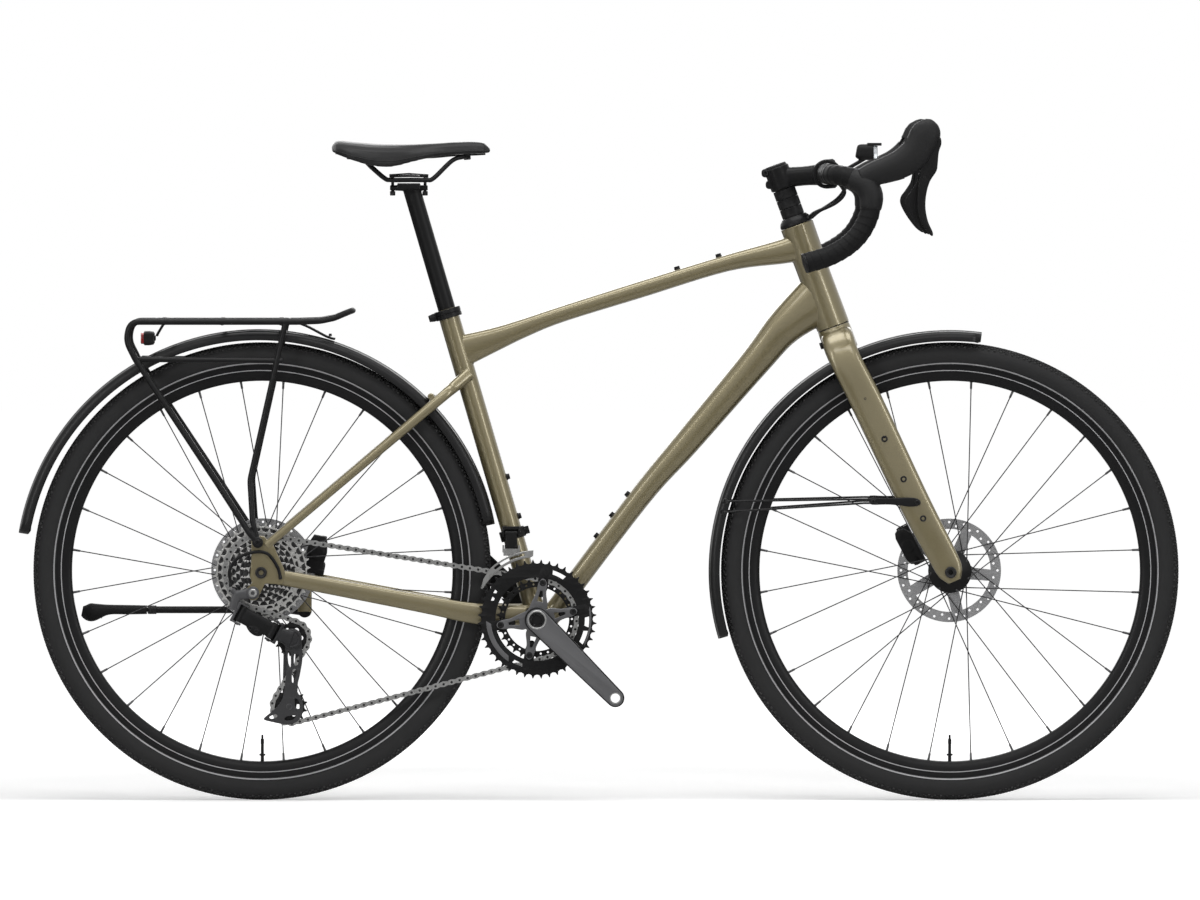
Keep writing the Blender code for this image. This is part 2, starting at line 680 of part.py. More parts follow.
def build_frame():
    """The welded frame with every bore that something passes through."""
    low, high = SIDE * (-BB_SHELL_WIDTH / 2), SIDE * (BB_SHELL_WIDTH / 2)
    frame = piece("frame", rod(HEAD_BOTTOM, HEAD_TOP, HEAD_RADIUS, ROUND_SIDES), "paint")
    down = bowed_tube(BB, DOWN_TUBE_END, DOWN_TUBE)
    top = bowed_tube(TOP_TUBE_START, TOP_TUBE_END, TOP_TUBE)
    seat = tube([BB, SEAT_TOP], SEAT_TUBE_RADIUS, ROUND_SIDES)
    shell = rod(BB + low, BB + high, BB_SHELL_RADIUS, SHELL_SIDES)
    weld(frame, down, top, seat, shell)
    for side in (-1, 1):
        weld(frame, chain_stay(side), seat_stay(side), dropout(side))
    bridge_reach = guard_radius(GUARD_BRIDGE_ANGLE) + GUARD_CROWN + GAP + GUARD_BRIDGE_DEPTH / 2
    bridge = REAR_AXLE + direction(GUARD_BRIDGE_ANGLE) * bridge_reach
    weld(frame, block(bridge, (GUARD_BRIDGE_DEPTH, GUARD_BRIDGE_LENGTH, GUARD_BRIDGE_DEPTH), bridge_axes()))
    for share in DOWN_BOSSES:
        weld(frame, boss(*tube_top(BB, DOWN_TUBE_END, DOWN_TUBE, share)))
    for along in SEAT_BOSSES:
        weld(frame, boss(BB + SEAT_AXIS * along + SEAT_FORE * SEAT_TUBE_RADIUS, SEAT_FORE))
    for share in TOP_BOSSES:
        weld(frame, boss(*tube_top(TOP_TUBE_START, TOP_TUBE_END, TOP_TUBE, share)))
    weld(frame, *kickstand_mount())
    past = STEER_AXIS * 0.05
    steerer_room = (STEERER_RADIUS + GAP) / math.cos(math.pi / ROUND_SIDES)
    cut(frame, rod(HEAD_BOTTOM - past, HEAD_TOP + past, steerer_room, ROUND_SIDES))
    cut(frame, rod(BB + low * 2, BB + high * 2, SHELL_BORE, SHELL_SIDES))
    bore_bottom = SEAT_TOP - SEAT_AXIS * (SEATPOST_INSERTION + SEATPOST_TRAVEL_DOWN + 0.010)
    cut(frame, tube([bore_bottom, SEAT_TOP + SEAT_AXIS * 0.02], SEATPOST_RADIUS + GAP, ROUND_SIDES))
    axle_reach = SIDE * REAR_HUB_WIDTH
    cut(frame, rod(REAR_AXLE - axle_reach, REAR_AXLE + axle_reach, AXLE_RADIUS + GAP, 12))
    cut(frame, rod(HANGER - axle_reach, HANGER, RD_BOLT_RADIUS + GAP, 10))


def bridge_axes():
    """Directions of the guard's bridge: out from the axle, sideways, and across."""
    out = direction(GUARD_BRIDGE_ANGLE)
    return out, SIDE, out.cross(SIDE)


# Wheels

def build_rim(name, axle):
    """A rim with its well, open to the tyre."""
    inner = RIM_RADIUS - RIM_DEPTH
    half = RIM_WIDTH / 2
    well = RIM_RADIUS - RIM_WELL
    profile = [(inner, -half * 0.60), (RIM_RADIUS, -half), (well, -half * 0.8)]
    profile += [(r, -y) for r, y in profile[::-1]]
    rim = piece(name, turned(profile, WHEEL_STEPS, axle), "black_satin", axle)
    valve_root = axle - UP * (inner + 0.004)
    weld(rim, rod(valve_root, valve_root + UP * VALVE_LENGTH, VALVE_RADIUS, 8))
    return rim


def build_tyre(name, axle):
    """A tyre seated in the rim's well."""
    half = TYRE_WIDTH / 2
    hook = RIM_WIDTH / 2
    rise = [
        (RIM_RADIUS - RIM_WELL + GAP, hook * 0.8 - 2 * GAP), (RIM_RADIUS + 2 * GAP, hook - 2 * GAP),
        (RIM_RADIUS + TYRE_HEIGHT / 2, half), (TYRE_RADIUS, TYRE_TREAD / 2),
    ]
    profile = [(r, -y) for r, y in rise] + rise[::-1]
    return piece(name, turned(profile, WHEEL_STEPS, axle), "rubber", axle)


def build_hub(name, axle, flanges, flange_radius, barrel, ends, rotor_y):
    """A hub with its laced spokes, which end just inside the rim."""
    left_flange, right_flange = flanges
    left_end, right_end = ends
    seat_radius = ROTOR_BORE * math.cos(math.pi / 16) - GAP
    bore = AXLE_RADIUS + GAP
    lip = HUB_LIP
    core = barrel * 0.62
    profile = [
        (bore, right_end), (core * 0.7, right_end), (core, right_flange - 2 * lip),
        (flange_radius, right_flange - lip), (flange_radius, right_flange + lip),
        (barrel, right_flange + 2 * lip), (barrel, left_flange - 2 * lip),
        (flange_radius, left_flange - lip), (flange_radius, left_flange + lip),
        (seat_radius, left_flange + 2 * lip), (seat_radius, rotor_y + 0.003),
        (core * 0.7, rotor_y + 0.004), (core * 0.7, left_end), (bore, left_end),
    ]
    hub = piece(name, turned(profile, 12, axle), "black_satin", axle)
    spokes = bmesh.new()
    rim_reach = (RIM_RADIUS - RIM_DEPTH) * math.cos(math.pi / WHEEL_STEPS) - GAP
    for k in range(SPOKE_COUNT):
        flange = left_flange if k % 2 else right_flange
        lead = 1 if k % 4 < 2 else -1
        angle = 2 * math.pi * k / SPOKE_COUNT + math.pi / SPOKE_COUNT
        foot_angle = angle + lead * SPOKE_LEAD
        foot = axle + direction(foot_angle) * (flange_radius - 0.003)
        foot.y = flange + lead * 0.0012
        tip = axle + direction(angle) * rim_reach
        tip.y = math.copysign(RIM_WIDTH * 0.08, flange)
        frames = frames_along([foot, tip], SIDE)
        bridge_loops(spokes, [ring_points(f, (SPOKE_RADIUS, SPOKE_RADIUS), 3) for f in frames])
    weld(hub, spokes)
    return hub


def build_rotor(name, axle, y):
    """A brake disc with five arms."""
    half = ROTOR_THICKNESS / 2
    disc = plate(arc(axle, ROTOR_RADIUS, 0, 2 * math.pi * 27 / 28, 27), y - half, y + half)
    rotor = piece(name, disc, "steel", axle)
    windows = bmesh.new()
    span = 2 * math.pi / ROTOR_ARMS
    for k in range(ROTOR_ARMS):
        start = span * k
        outer = arc(axle, ROTOR_RADIUS - ROTOR_TRACK, start, start + span * 0.80, 3)
        inner = arc(axle, ROTOR_BORE + ROTOR_HUB_BAND, start + span * 0.66, start + span * 0.12, 2)
        loops = [[p + SIDE * offset for p in outer + inner] for offset in (y - 2 * half, y + 2 * half)]
        bridge_loops(windows, loops)
    cut(rotor, rod(axle + SIDE * (y - 0.01), axle + SIDE * (y + 0.01), ROTOR_BORE, 16), windows)
    return rotor


def build_wheel(side_name, axle, hub_values, rotor_y):
    """Every piece that turns with one wheel."""
    hub = build_hub(f"{side_name}_hub_and_spokes", axle, *hub_values, rotor_y)
    rim = build_rim(f"{side_name}_rim", axle)
    tyre = build_tyre(f"{side_name}_tyre", axle)
    rotor = build_rotor(f"{side_name}_rotor", axle, rotor_y)
    hold(pivot(f"{side_name}_wheel_axis", axle), hub, rim, tyre, rotor)


def build_axle(name, centre, inner_width, plate_width):
    """A through axle with a round head on each side."""
    reach = inner_width / 2 + plate_width + 2 * GAP
    end = SIDE * (reach + AXLE_HEAD_HEIGHT)
    axle = piece(name, rod(centre - end, centre + end, AXLE_RADIUS, 12), "black_satin", centre)
    for side in (-1, 1):
        outward = SIDE * side
        face = centre + outward * reach
        weld(axle, rod(face, face + outward * (AXLE_HEAD_HEIGHT + 0.001), AXLE_HEAD_RADIUS, 12))
    return axle


def build_caliper(name, seat, axes, size, rotor_centre):
    """A brake caliper standing on its seat, with a slot that the disc runs in."""
    body = piece(name, block(seat + axes[0] * (size[0] / 2), size, axes), "black_satin", seat)
    half_slot = SIDE * CALIPER_SLOT
    slot = rod(rotor_centre - half_slot, rotor_centre + half_slot, ROTOR_RADIUS + CALIPER_SLOT, 48)
    cut(body, slot)
    return body


def build_rear_brake():
    """The rear caliper, standing on the left chain stay."""
    near = CALIPER_FOOT
    far = BB + Vector((-0.1790, 0, 0.0240))
    line = (far - near).normalized()
    normal = SIDE.cross(line)
    normal = normal if normal.z > 0 else -normal
    seat = near + line * 0.010 + normal * (0.0117 * 0.93 + GAP)
    seat.y = REAR_ROTOR_Y + 0.006
    rotor_centre = REAR_AXLE + SIDE * REAR_ROTOR_Y
    return build_caliper("rear_caliper", seat, (normal, SIDE, line), REAR_CALIPER, rotor_centre)


# Fork and steering

def leg_point(station, side):
    """A point on a fork leg's middle line."""
    down, fore, out, _, _ = station
    return HEAD_BOTTOM - STEER_AXIS * down + STEER_FORE * fore + SIDE * (side * out)


def build_fork():
    """Fork with crown, two legs and the steerer that the stem clamps."""
    top = STEM_CENTRE + STEER_AXIS * (STEM_CLAMP_HEIGHT / 2 - 0.001)
    crown = HEAD_BOTTOM - STEER_AXIS * LEG_STATIONS[0][0]
    fork = piece("fork", rod(crown, top, STEERER_RADIUS, ROUND_SIDES), "paint", HEAD_BOTTOM)
    crown_top = HEAD_BOTTOM - STEER_AXIS * (2 * GAP)
    weld(fork, rod(HEAD_BOTTOM - STEER_AXIS * CROWN_HEIGHT, crown_top, HEAD_RADIUS, ROUND_SIDES))
    for side in (-1, 1):
        path = [leg_point(s, side) for s in LEG_STATIONS]
        sizes = [(s[3], s[4]) for s in LEG_STATIONS]
        weld(fork, tube(path, sizes, 12, STEER_FORE))
        for rise in FORK_BOSSES:
            weld(fork, boss(fork_side_point(FORK_LENGTH - rise, side), SIDE * side))
    reach = SIDE * FRONT_HUB_WIDTH
    room_half = SIDE * (GUARD_HALF_WIDTH + 0.001)
    room_radius = (FRONT_GUARD_RADIUS + GUARD_CROWN + GAP) / math.cos(math.pi / 56)
    cut(fork, rod(FRONT_AXLE - reach, FRONT_AXLE + reach, AXLE_RADIUS + GAP, 12),
        rod(FRONT_AXLE - room_half, FRONT_AXLE + room_half, room_radius, 56))
    return fork


def fork_side_point(down, side):
    """A point on the outer face of a leg, a distance down from the crown race."""
    for first, second in zip(LEG_STATIONS[2:], LEG_STATIONS[3:]):
        if first[0] <= down <= second[0]:
            share = (down - first[0]) / (second[0] - first[0])
            middle = leg_point(first, side).lerp(leg_point(second, side), share)
            thick = first[4] + (second[4] - first[4]) * share
            return middle + SIDE * (side * thick * math.cos(math.pi / 12))
    raise ValueError("that far down there is no leg")


def build_front_brake():
    """The front caliper, standing on the back of the left leg."""
    high, low = LEG_STATIONS[4], LEG_STATIONS[5]
    upper, lower = leg_point(high, 1), leg_point(low, 1)
    share = FRONT_CALIPER_SHARE
    line = Vector((lower.x - upper.x, 0, lower.z - upper.z)).normalized()
    back = SIDE.cross(line)
    back = back if back.x < 0 else -back
    half = high[3] + (low[3] - high[3]) * share
    seat = upper.lerp(lower, share) + back * (half + GAP)
    seat.y = FRONT_ROTOR_Y + 0.009
    rotor_centre = FRONT_AXLE + SIDE * FRONT_ROTOR_Y
    return build_caliper("front_caliper", seat, (back, SIDE, line), FRONT_CALIPER, rotor_centre)


def build_stack():
    """The headset cover and the spacers between it and the stem."""
    high = STEM_RISE - STEM_CLAMP_HEIGHT / 2 - GAP
    bore = STEERER_RADIUS + GAP
    outline = [
        (GAP, COVER_RADIUS), (COVER_HEIGHT * 0.6, COVER_RADIUS), (COVER_HEIGHT, COVER_TOP_RADIUS),
        (COVER_HEIGHT, SPACER_RADIUS), (high, SPACER_RADIUS), (high, bore), (GAP, bore),
    ]
    bm = bmesh.new()
    loops = []
    for height, radius in outline:
        frame = (HEAD_TOP + STEER_AXIS * height, SIDE, STEER_AXIS.cross(SIDE))
        loops.append(ring_points(frame, (radius, radius), ROUND_SIDES))
    bridge_loops(bm, loops, closed=True)
    return piece("headset_stack", bm, "black_satin", HEAD_TOP)


def stem_jaw(low_radius):
    """A round bar along the handlebar's clamp, as wide as the faceplate."""
    half = SIDE * (FACE_WIDTH / 2)
    return rod(BAR_CENTRE - half, BAR_CENTRE + half, low_radius, SHELL_SIDES)


def build_stem():
    """The stem under its cap, and the faceplate that closes on the bar."""
    half = STEER_AXIS * (STEM_CLAMP_HEIGHT / 2)
    low, high = STEM_CENTRE - half, STEM_CENTRE + half
    axes = (STEM_RUN, SIDE, STEM_RUN.cross(SIDE))
    stem = piece("stem", rod(low, high, STEM_RADIUS, ROUND_SIDES), "black_satin", STEM_CENTRE)
    body = tube([STEM_CENTRE, STEM_CENTRE.lerp(BAR_CENTRE, 0.5), BAR_CENTRE - STEM_RUN * 0.004],
                [(0.0150, 0.0105), (0.0150, 0.0150), (0.0180, 0.0175)], 12)
    weld(stem, body, stem_jaw(FACE_RADIUS))
    bar_room = [BAR_CENTRE - SIDE * FACE_WIDTH, BAR_CENTRE + SIDE * FACE_WIDTH, BAR_CLAMP_RADIUS + 2 * GAP]
    steerer_bore = rod(low - half, high + half, STEERER_RADIUS + GAP, ROUND_SIDES)
    split = block(STEM_CENTRE - STEM_RUN * STEM_RADIUS, (2 * STEM_RADIUS, STEM_SPLIT, 0.1), axes)
    front = block(BAR_CENTRE + STEM_RUN * 0.05, (0.10, 0.2, 0.1), axes)
    cut(stem, front, rod(*bar_room, SHELL_SIDES), steerer_bore, split)
    weld(stem, rod(high - STEER_AXIS * (2 * GAP), high + STEER_AXIS * CAP_HEIGHT, CAP_RADIUS, SHELL_SIDES))
    face = piece("stem_faceplate", stem_jaw(FACE_RADIUS), "black_satin", BAR_CENTRE)
    back = block(BAR_CENTRE - STEM_RUN * 0.05, (0.10 + 2 * GAP, 0.2, 0.1), axes)
    cut(face, back, rod(*bar_room, SHELL_SIDES))
    return stem, face


# Handlebar

def bar_frames():
    """Frames along the whole bar, from the right end to the left."""
    half = [BAR_CENTRE + Vector(p) for p in BAR_ROUTE]
    path = [mirrored(p) for p in half[:0:-1]] + half
    return frames_along(path, UP)


def build_bar():
    """The handlebar with its end plugs, and its tape."""
    frames = bar_frames()
    sizes = []
    for centre, _, _ in frames:
        radius = BAR_CLAMP_RADIUS if abs(centre.y) < BAR_CLAMP_HALF + GAP else BAR_RADIUS
        sizes.append((radius, radius))
    bar = piece("handlebar", skin(frames, sizes, BAR_SIDES), "black_satin", BAR_CENTRE)
    pieces = [bar]
    for name, side in (("left", 1), ("right", -1)):
        taped = [f for f in frames if f[0].y * side > TAPE_START - GAP]
        bm = sleeve(taped, BAR_RADIUS + 2 * GAP, TAPE_RADIUS, BAR_SIDES)
        pieces.append(piece(f"bar_tape_{name}", bm, "tape", BAR_CENTRE))
        end = frames[-1] if side > 0 else frames[0]
        before = frames[-2] if side > 0 else frames[1]
        run = (end[0] - before[0]).normalized()
        tip, height = end[0], run * PLUG_HEIGHT
        weld(bar, rod(tip - height, tip + height / 2, BAR_RADIUS * 0.90, BAR_SIDES),
             rod(tip + run * GAP, tip + height, TAPE_RADIUS, BAR_SIDES))
    return pieces


def bar_point(x, z, y=0.0):
    """A point given from the middle of the bar's clamp."""
    return BAR_CENTRE + Vector((x, y, z))


def build_lever_body(name, side):
    """The hood: a grip over the lever's body, fitted to the bar's tape."""
    path = [bar_point(x, z, side * HOOD_SPREAD) for x, z, _, _ in HOOD_STATIONS]
    sizes = [(wide, deep) for _, _, deep, wide in HOOD_STATIONS]
    hood = piece(name, tube(path, sizes, 12), "rubber", path[0])
    frames = [f for f in bar_frames() if f[0].y * side > TAPE_START + GAP]
    seat = skin(frames, TAPE_RADIUS + GAP, BAR_SIDES)
    outer_wall = LEVER_THICKNESS / 2 + RUNNING
    inner_wall = outer_wall + PADDLE_THICKNESS + RUNNING
    slot_y = side * (HOOD_SPREAD + (outer_wall - inner_wall) / 2)
    slot_low, slot_high = bar_point(0.1150, -0.0120, slot_y), bar_point(0.1650, 0.0445, slot_y)
    slot_size = (slot_high.x - slot_low.x, outer_wall + inner_wall, slot_high.z - slot_low.z)
    cut(hood, seat, block(slot_low.lerp(slot_high, 0.5), slot_size))
    return hood


def build_controls(name, side):
    """Brake lever and shift paddle of one side, each turning on its own axis."""
    y = side * HOOD_SPREAD
    half = LEVER_THICKNESS / 2
    pin = bar_point(*LEVER_PIVOT, y)
    outline = [bar_point(x, z) for x, z in LEVER_OUTLINE]
    lever = piece(f"brake_lever_{name}", plate(outline, y - half, y + half), "black_satin", pin)
    inner = y - side * (half + RUNNING)
    ends = sorted((inner, inner - side * PADDLE_THICKNESS))
    outline = [bar_point(x, z) for x, z in PADDLE_OUTLINE]
    paddle = piece(f"shift_paddle_{name}", plate(outline, *ends), "black_satin", pin)
    hold(pivot(f"brake_lever_axis_{name}", pin), lever)
    hold(pivot(f"shift_axis_{name}", bar_point(*PADDLE_PIVOT, inner)), paddle)


def build_headlight():
    """The headlight with its lens, on an arm from the faceplate."""
    foot = BAR_CENTRE + STEM_RUN * (FACE_RADIUS + GAP)
    low = LIGHT_CENTRE.x - LIGHT_HALF_LENGTH
    high = LIGHT_CENTRE.x + LIGHT_HALF_LENGTH
    sections = [(low, 0.0100), (low + 0.004, LIGHT_HALF_HEIGHT), (high - 0.002, LIGHT_HALF_HEIGHT)]
    path = [Vector((x, 0, LIGHT_CENTRE.z)) for x, _ in sections]
    shell = tube(path, [(height * 1.25, height) for _, height in sections], 12)
    light = piece("headlight", shell, "black_plastic", LIGHT_CENTRE)
    arm = tube([foot + UP * 0.002, foot + Vector((0.008, 0, 0.006)), LIGHT_CENTRE - UP * 0.008],
               [(0.008, 0.0030)] * 3, 8)
    visor = block(LIGHT_CENTRE + Vector((LIGHT_HALF_LENGTH - 0.001, 0, LIGHT_HALF_HEIGHT - 0.0018)),
                  (0.010, 0.022, 0.0020))
    weld(light, arm, visor)
    return light


def cable(name, points):
    """A cable housing: a curve with a round bevel along a smooth route."""
    curve = bpy.data.curves.new(name, "CURVE")
    curve.dimensions = "3D"
    curve.bevel_depth = CABLE_RADIUS
    curve.bevel_resolution = 2
    curve.render_resolution_u = 0
    curve.use_fill_caps = True
    route = smooth_path(points, 2)
    spline = curve.splines.new("POLY")
    spline.points.add(len(route) - 1)
    for target, here in zip(spline.points, route):
        target.co = (*here, 1)
    material = bpy.data.materials.new(name)
    material.use_nodes = True
    material.node_tree.nodes["Principled BSDF"].inputs["Base Color"].default_value = (0.015, 0.015, 0.015, 1)
    curve.materials.append(material)
    obj = bpy.data.objects.new(name, curve)
    bpy.context.collection.objects.link(obj)
    return obj


def cable_entry(turn, out):
    """A point in front of the headset cover's side, turned sideways from its front."""
    reach = COVER_RADIUS * math.cos(math.pi / ROUND_SIDES) + out
    outward = STEER_FORE * math.cos(turn) + SIDE * math.sin(turn)
    return HEAD_TOP + STEER_AXIS * COVER_ENTRY + outward * reach


def build_bar_cables():
    """Housings from under the tape's inner end, round in front of the bar to the headset cover."""
    made = []
    seat = BAR_RADIUS * math.cos(math.pi / BAR_SIDES) + CABLE_RADIUS + 2 * GAP
    low = seat * math.sqrt(0.5)
    tape_end = TAPE_START - 2 * GAP
    for name, side in (("left", 1), ("right", -1)):
        hose = [
            bar_point(low, -low, side * tape_end), bar_point(low + 0.0007, -low - 0.0005, side * 0.0600),
            bar_point(0.0215, -0.0175, side * 0.0490), bar_point(0.0265, -0.0300, side * 0.0380),
            bar_point(0.0125, -0.0450, side * 0.0310),
        ]
        shifter = [
            bar_point(seat, 0.0000, side * tape_end), bar_point(seat + 0.0009, -0.0004, side * 0.0600),
            bar_point(0.0240, -0.0070, side * 0.0450), bar_point(0.0280, -0.0210, side * 0.0300),
            bar_point(0.0160, -0.0385, side * 0.0150),
        ]
        for kind, route, turn in (("brake_hose", hose, BRAKE_ENTRY), ("shift_cable", shifter, SHIFT_ENTRY)):
            route.append(cable_entry(side * turn, 0.0180) + STEER_AXIS * 0.0040)
            route.append(cable_entry(side * turn, 0.0060))
            route.append(cable_entry(side * turn, 2 * GAP))
            made.append(cable(f"{kind}_{name}", route))
    return made


# Mudguards

def guard_ring(centre, radius, angle):
    """The guard's closed cross section at one angle round its wheel."""
    half = GUARD_HALF_WIDTH
    outer = [(-GUARD_SKIRT, -half), (-0.0030, -half * 0.93), (GUARD_CROWN, 0), (-0.0030, half * 0.93),
             (-GUARD_SKIRT, half)]
    wall = GUARD_WALL
    inner = [(-GUARD_SKIRT, half - wall), (-0.0030 - wall, half * 0.93 - wall), (GUARD_CROWN - wall, 0),
             (-0.0030 - wall, wall - half * 0.93), (-GUARD_SKIRT, wall - half)]
    return [centre + direction(angle) * (radius + rise) + SIDE * y for rise, y in outer + inner]


def build_guard(name, centre, radius_at, start, end, steps):
    """A mudguard blade over part of a wheel."""
    bm = bmesh.new()
    loops = []
    for k in range(steps + 1):
        angle = start + (end - start) * k / steps
        loops.append(guard_ring(centre, radius_at(angle), angle))
    bridge_loops(bm, loops)
    return piece(name, bm, "black_satin", centre)


def guard_stays(side):
    """A bracket on the outside of a fork leg and two wires back to the guard's edge."""
    outer = fork_side_point(FORK_LENGTH - STAY_RISE, side)
    y = outer.y + side * (GAP + STAY_BRACKET / 2)
    start = Vector((outer.x + 0.006, 0, outer.z + 0.004))
    end = Vector((outer.x - 0.072, 0, outer.z + 0.006))
    shapes = [plate(capsule(start, end, 0.0075, 0.0060, 4), y - STAY_BRACKET / 2, y + STAY_BRACKET / 2)]
    for rise, turn in ((0.0030, STAY_TURN - 0.024), (-0.0030, STAY_TURN + 0.024)):
        foot = FRONT_AXLE + direction(turn) * (FRONT_GUARD_RADIUS - GUARD_SKIRT / 2)
        foot.y = side * (GUARD_HALF_WIDTH - GUARD_WALL)
        wire = end + Vector((0.012, y, rise))
        shapes.append(tube([wire, wire - FORWARD * 0.020, foot], STAY_RADIUS, 6))
    return shapes


def build_front_guard():
    """The front mudguard with the stays that hold its tail."""
    guard = build_guard("front_mudguard", FRONT_AXLE, lambda angle: FRONT_GUARD_RADIUS, FRONT_GUARD_START,
                        FRONT_GUARD_END, 13)
    for side in (-1, 1):
        weld(guard, *guard_stays(side))
    return guard


# Luggage rack and tail light

def rack_point(x, z, y):
    """A point given from the rear axle."""
    return REAR_AXLE + Vector((x, y, z))


def build_rack():
    """The welded rack: one bent rail round the deck and down each side, legs, bars and deck."""
    foot_y = EYE_Y + RACK_FOOT_OFFSET
    top = RACK_HEIGHT
    half = RACK_HALF_WIDTH
    side_path = [
        (-0.0060, 0.0465, foot_y), (-0.0180, 0.0640, foot_y - 0.001), (-0.0700, 0.1150, 0.0740),
        (-0.1070, 0.1700, 0.0700), (-0.1400, top - 0.1308, 0.0660), (-0.1883, top - 0.0578, 0.0620),
        (-0.2020, top - 0.0328, half), (-0.1960, top - 0.010, half), (-0.1780, top, half),
        (-0.0500, top, half), (0.0540, top, half), (0.0900, top, half - 0.008), (0.1250, top + 0.011, 0.026),
        (0.1400, top + 0.017, 0.0),
    ]
    left = [rack_point(*p) for p in side_path]
    path = left + [mirrored(p) for p in left[-2::-1]]
    rail = tube(path, RACK_TUBE, 6, FORWARD)
    rack = piece("rack", rail, "black_satin", REAR_AXLE)
    thin = RACK_THIN_TUBE
    for side in (-1, 1):
        leg = [(-0.0050, 0.0465, foot_y), (-0.0090, 0.0900, foot_y - 0.002), (-0.0120, 0.1475, 0.0720),
               (0.0118, top - 0.1538, 0.0670), (0.0330, top - 0.0548, 0.0620), (0.0410, top, half)]
        leg_path = [rack_point(x, z, side * y) for x, z, y in leg]
        bar = [(-0.1860, top - 0.0578, side * 0.0620), (0.0325, top - 0.0598, side * 0.0622)]
        bar = [rack_point(*p) for p in bar]
        weld(rack, tube(leg_path, thin, 6), rod(*bar, thin, 6))
        eye = [rack_point(-0.0050, 0.0465, side * EYE_Y), rack_point(-0.0050, 0.0465, side * (EYE_Y + 0.011))]
        weld(rack, rod(*eye, RACK_EYE_RADIUS, 10))
    for x in RACK_BARS:
        weld(rack, rod(rack_point(x, top - 0.0015, -half), rack_point(x, top - 0.0015, half), thin, 6))
    deck = block(rack_point(-0.0600, top + RACK_TUBE - DECK_THICKNESS / 2 + 0.0006, 0),
                 (DECK_LENGTH, 2 * DECK_HALF_WIDTH, DECK_THICKNESS))
    hanger = [rack_point(0.0280, top - 0.0015, 0), rack_point(0.0600, top - 0.004, 0), guard_seat(0.0980),
              guard_seat(0.1120)]
    strap = tube(hanger, [(0.0090, 0.0030)] * len(hanger), 8)
    light_arm = [rack_point(-0.1500, top - 0.0015, 0), rack_point(-0.1600, top - 0.0180, 0),
                 rack_point(-0.1620, top - 0.0230, 0)]
    weld(rack, deck, strap, tube(light_arm, [(0.012, 0.003)] * 3, 8, SIDE))
    return rack


def guard_seat(x):
    """A point on the strap, which lies on the guard's crown this far ahead of the axle."""
    reach = REAR_GUARD_RADIUS + GUARD_CROWN
    angle = math.acos(x / reach)
    reach = guard_radius(angle) + GUARD_CROWN + GAP + 0.0032
    return REAR_AXLE + direction(angle) * reach


def build_tail_light():
    """The tail light behind the rack's deck, with its red lens."""
    centre = rack_point(-0.1735, RACK_HEIGHT - 0.0260, 0)
    body = piece("tail_light", block(centre, TAIL_LIGHT), "black_plastic", centre)
    weld(body, block(centre - FORWARD * 0.0095, TAIL_LENS))
    return body


# Seat

def saddle_point(x, y, z):
    """A point given from the saddle's rear edge."""
    return SADDLE_REAR + Vector((x * SADDLE_LENGTH, y, z))


def saddle_ring(station):
    """One closed cross section of the cushion, with its crown and centre channel."""
    share, wide, crown, edge, under = station
    half = SADDLE_WIDTH / 2 * wide
    channel = SADDLE_CHANNEL * max(0.0, 1 - ((share - 0.45) / 0.30) ** 2)
    right = [
        (0.10, crown - channel), (0.45, crown), (0.80, crown - 0.0050), (0.97, crown * 0.5 + edge * 0.4),
        (1.00, edge * 0.85), (0.93, edge), (0.80, edge + 0.0012), (0.55, under),
    ]
    loop = [saddle_point(share, -half * y, z) for y, z in right]
    return loop + [saddle_point(share, half * y, z) for y, z in right[::-1]]


def rail_seat(stations, x, y, drop=0.0):
    """A point of the rail against the saddle's base, x ahead of the saddle's rear edge."""
    for first, second in zip(stations, stations[1:]):
        near, far = first[0] * SADDLE_LENGTH, second[0] * SADDLE_LENGTH
        if near <= x <= far:
            under = first[4] + (second[4] - first[4]) * (x - near) / (far - near)
            return SADDLE_REAR + Vector((x, y, under - BASE_THICKNESS - RAIL_RADIUS * 0.8 - drop))
    raise ValueError("the saddle isn't that long")


def build_saddle():
    """The saddle: cushion, and the base with the rail bent under it."""
    bm = bmesh.new()
    stations = smooth_path([Vector(s) for s in SADDLE_STATIONS], 2)
    bridge_loops(bm, [saddle_ring(s) for s in stations])
    cushion = piece("saddle_cushion", bm, "rubber", SADDLE_REAR)
    bm = bmesh.new()
    loops = []
    for share, wide, _, _, under in stations[2:-2]:
        half = SADDLE_WIDTH / 4 * wide
        corners = [(-half, under - 2 * GAP), (half, under - 2 * GAP), (half * 0.94, under - BASE_THICKNESS),
                   (-half * 0.94, under - BASE_THICKNESS)]
        loops.append([saddle_point(share, y, z) for y, z in corners])
    bridge_loops(bm, loops)
    base = piece("saddle_base", bm, "black_plastic", SADDLE_REAR)
    grip = POST_HEAD - SADDLE_REAR
    left = [
        rail_seat(stations, 0.0300, 0.0260), rail_seat(stations, 0.0480, 0.0250, 0.0008),
        SADDLE_REAR + Vector((grip.x - 0.0330, RAIL_SPREAD, -RAIL_DROP)),
        SADDLE_REAR + Vector((grip.x + 0.0260, RAIL_SPREAD, -RAIL_DROP)),
        rail_seat(stations, RAIL_FRONT - 0.0240, 0.0140, 0.0020),
        rail_seat(stations, RAIL_FRONT - 0.0080, 0.0080), rail_seat(stations, RAIL_FRONT, 0.0),
    ]
    path = left + [mirrored(p) for p in left[-2::-1]]
    weld(base, tube(path, RAIL_RADIUS, 6, UP))
    return cushion, base


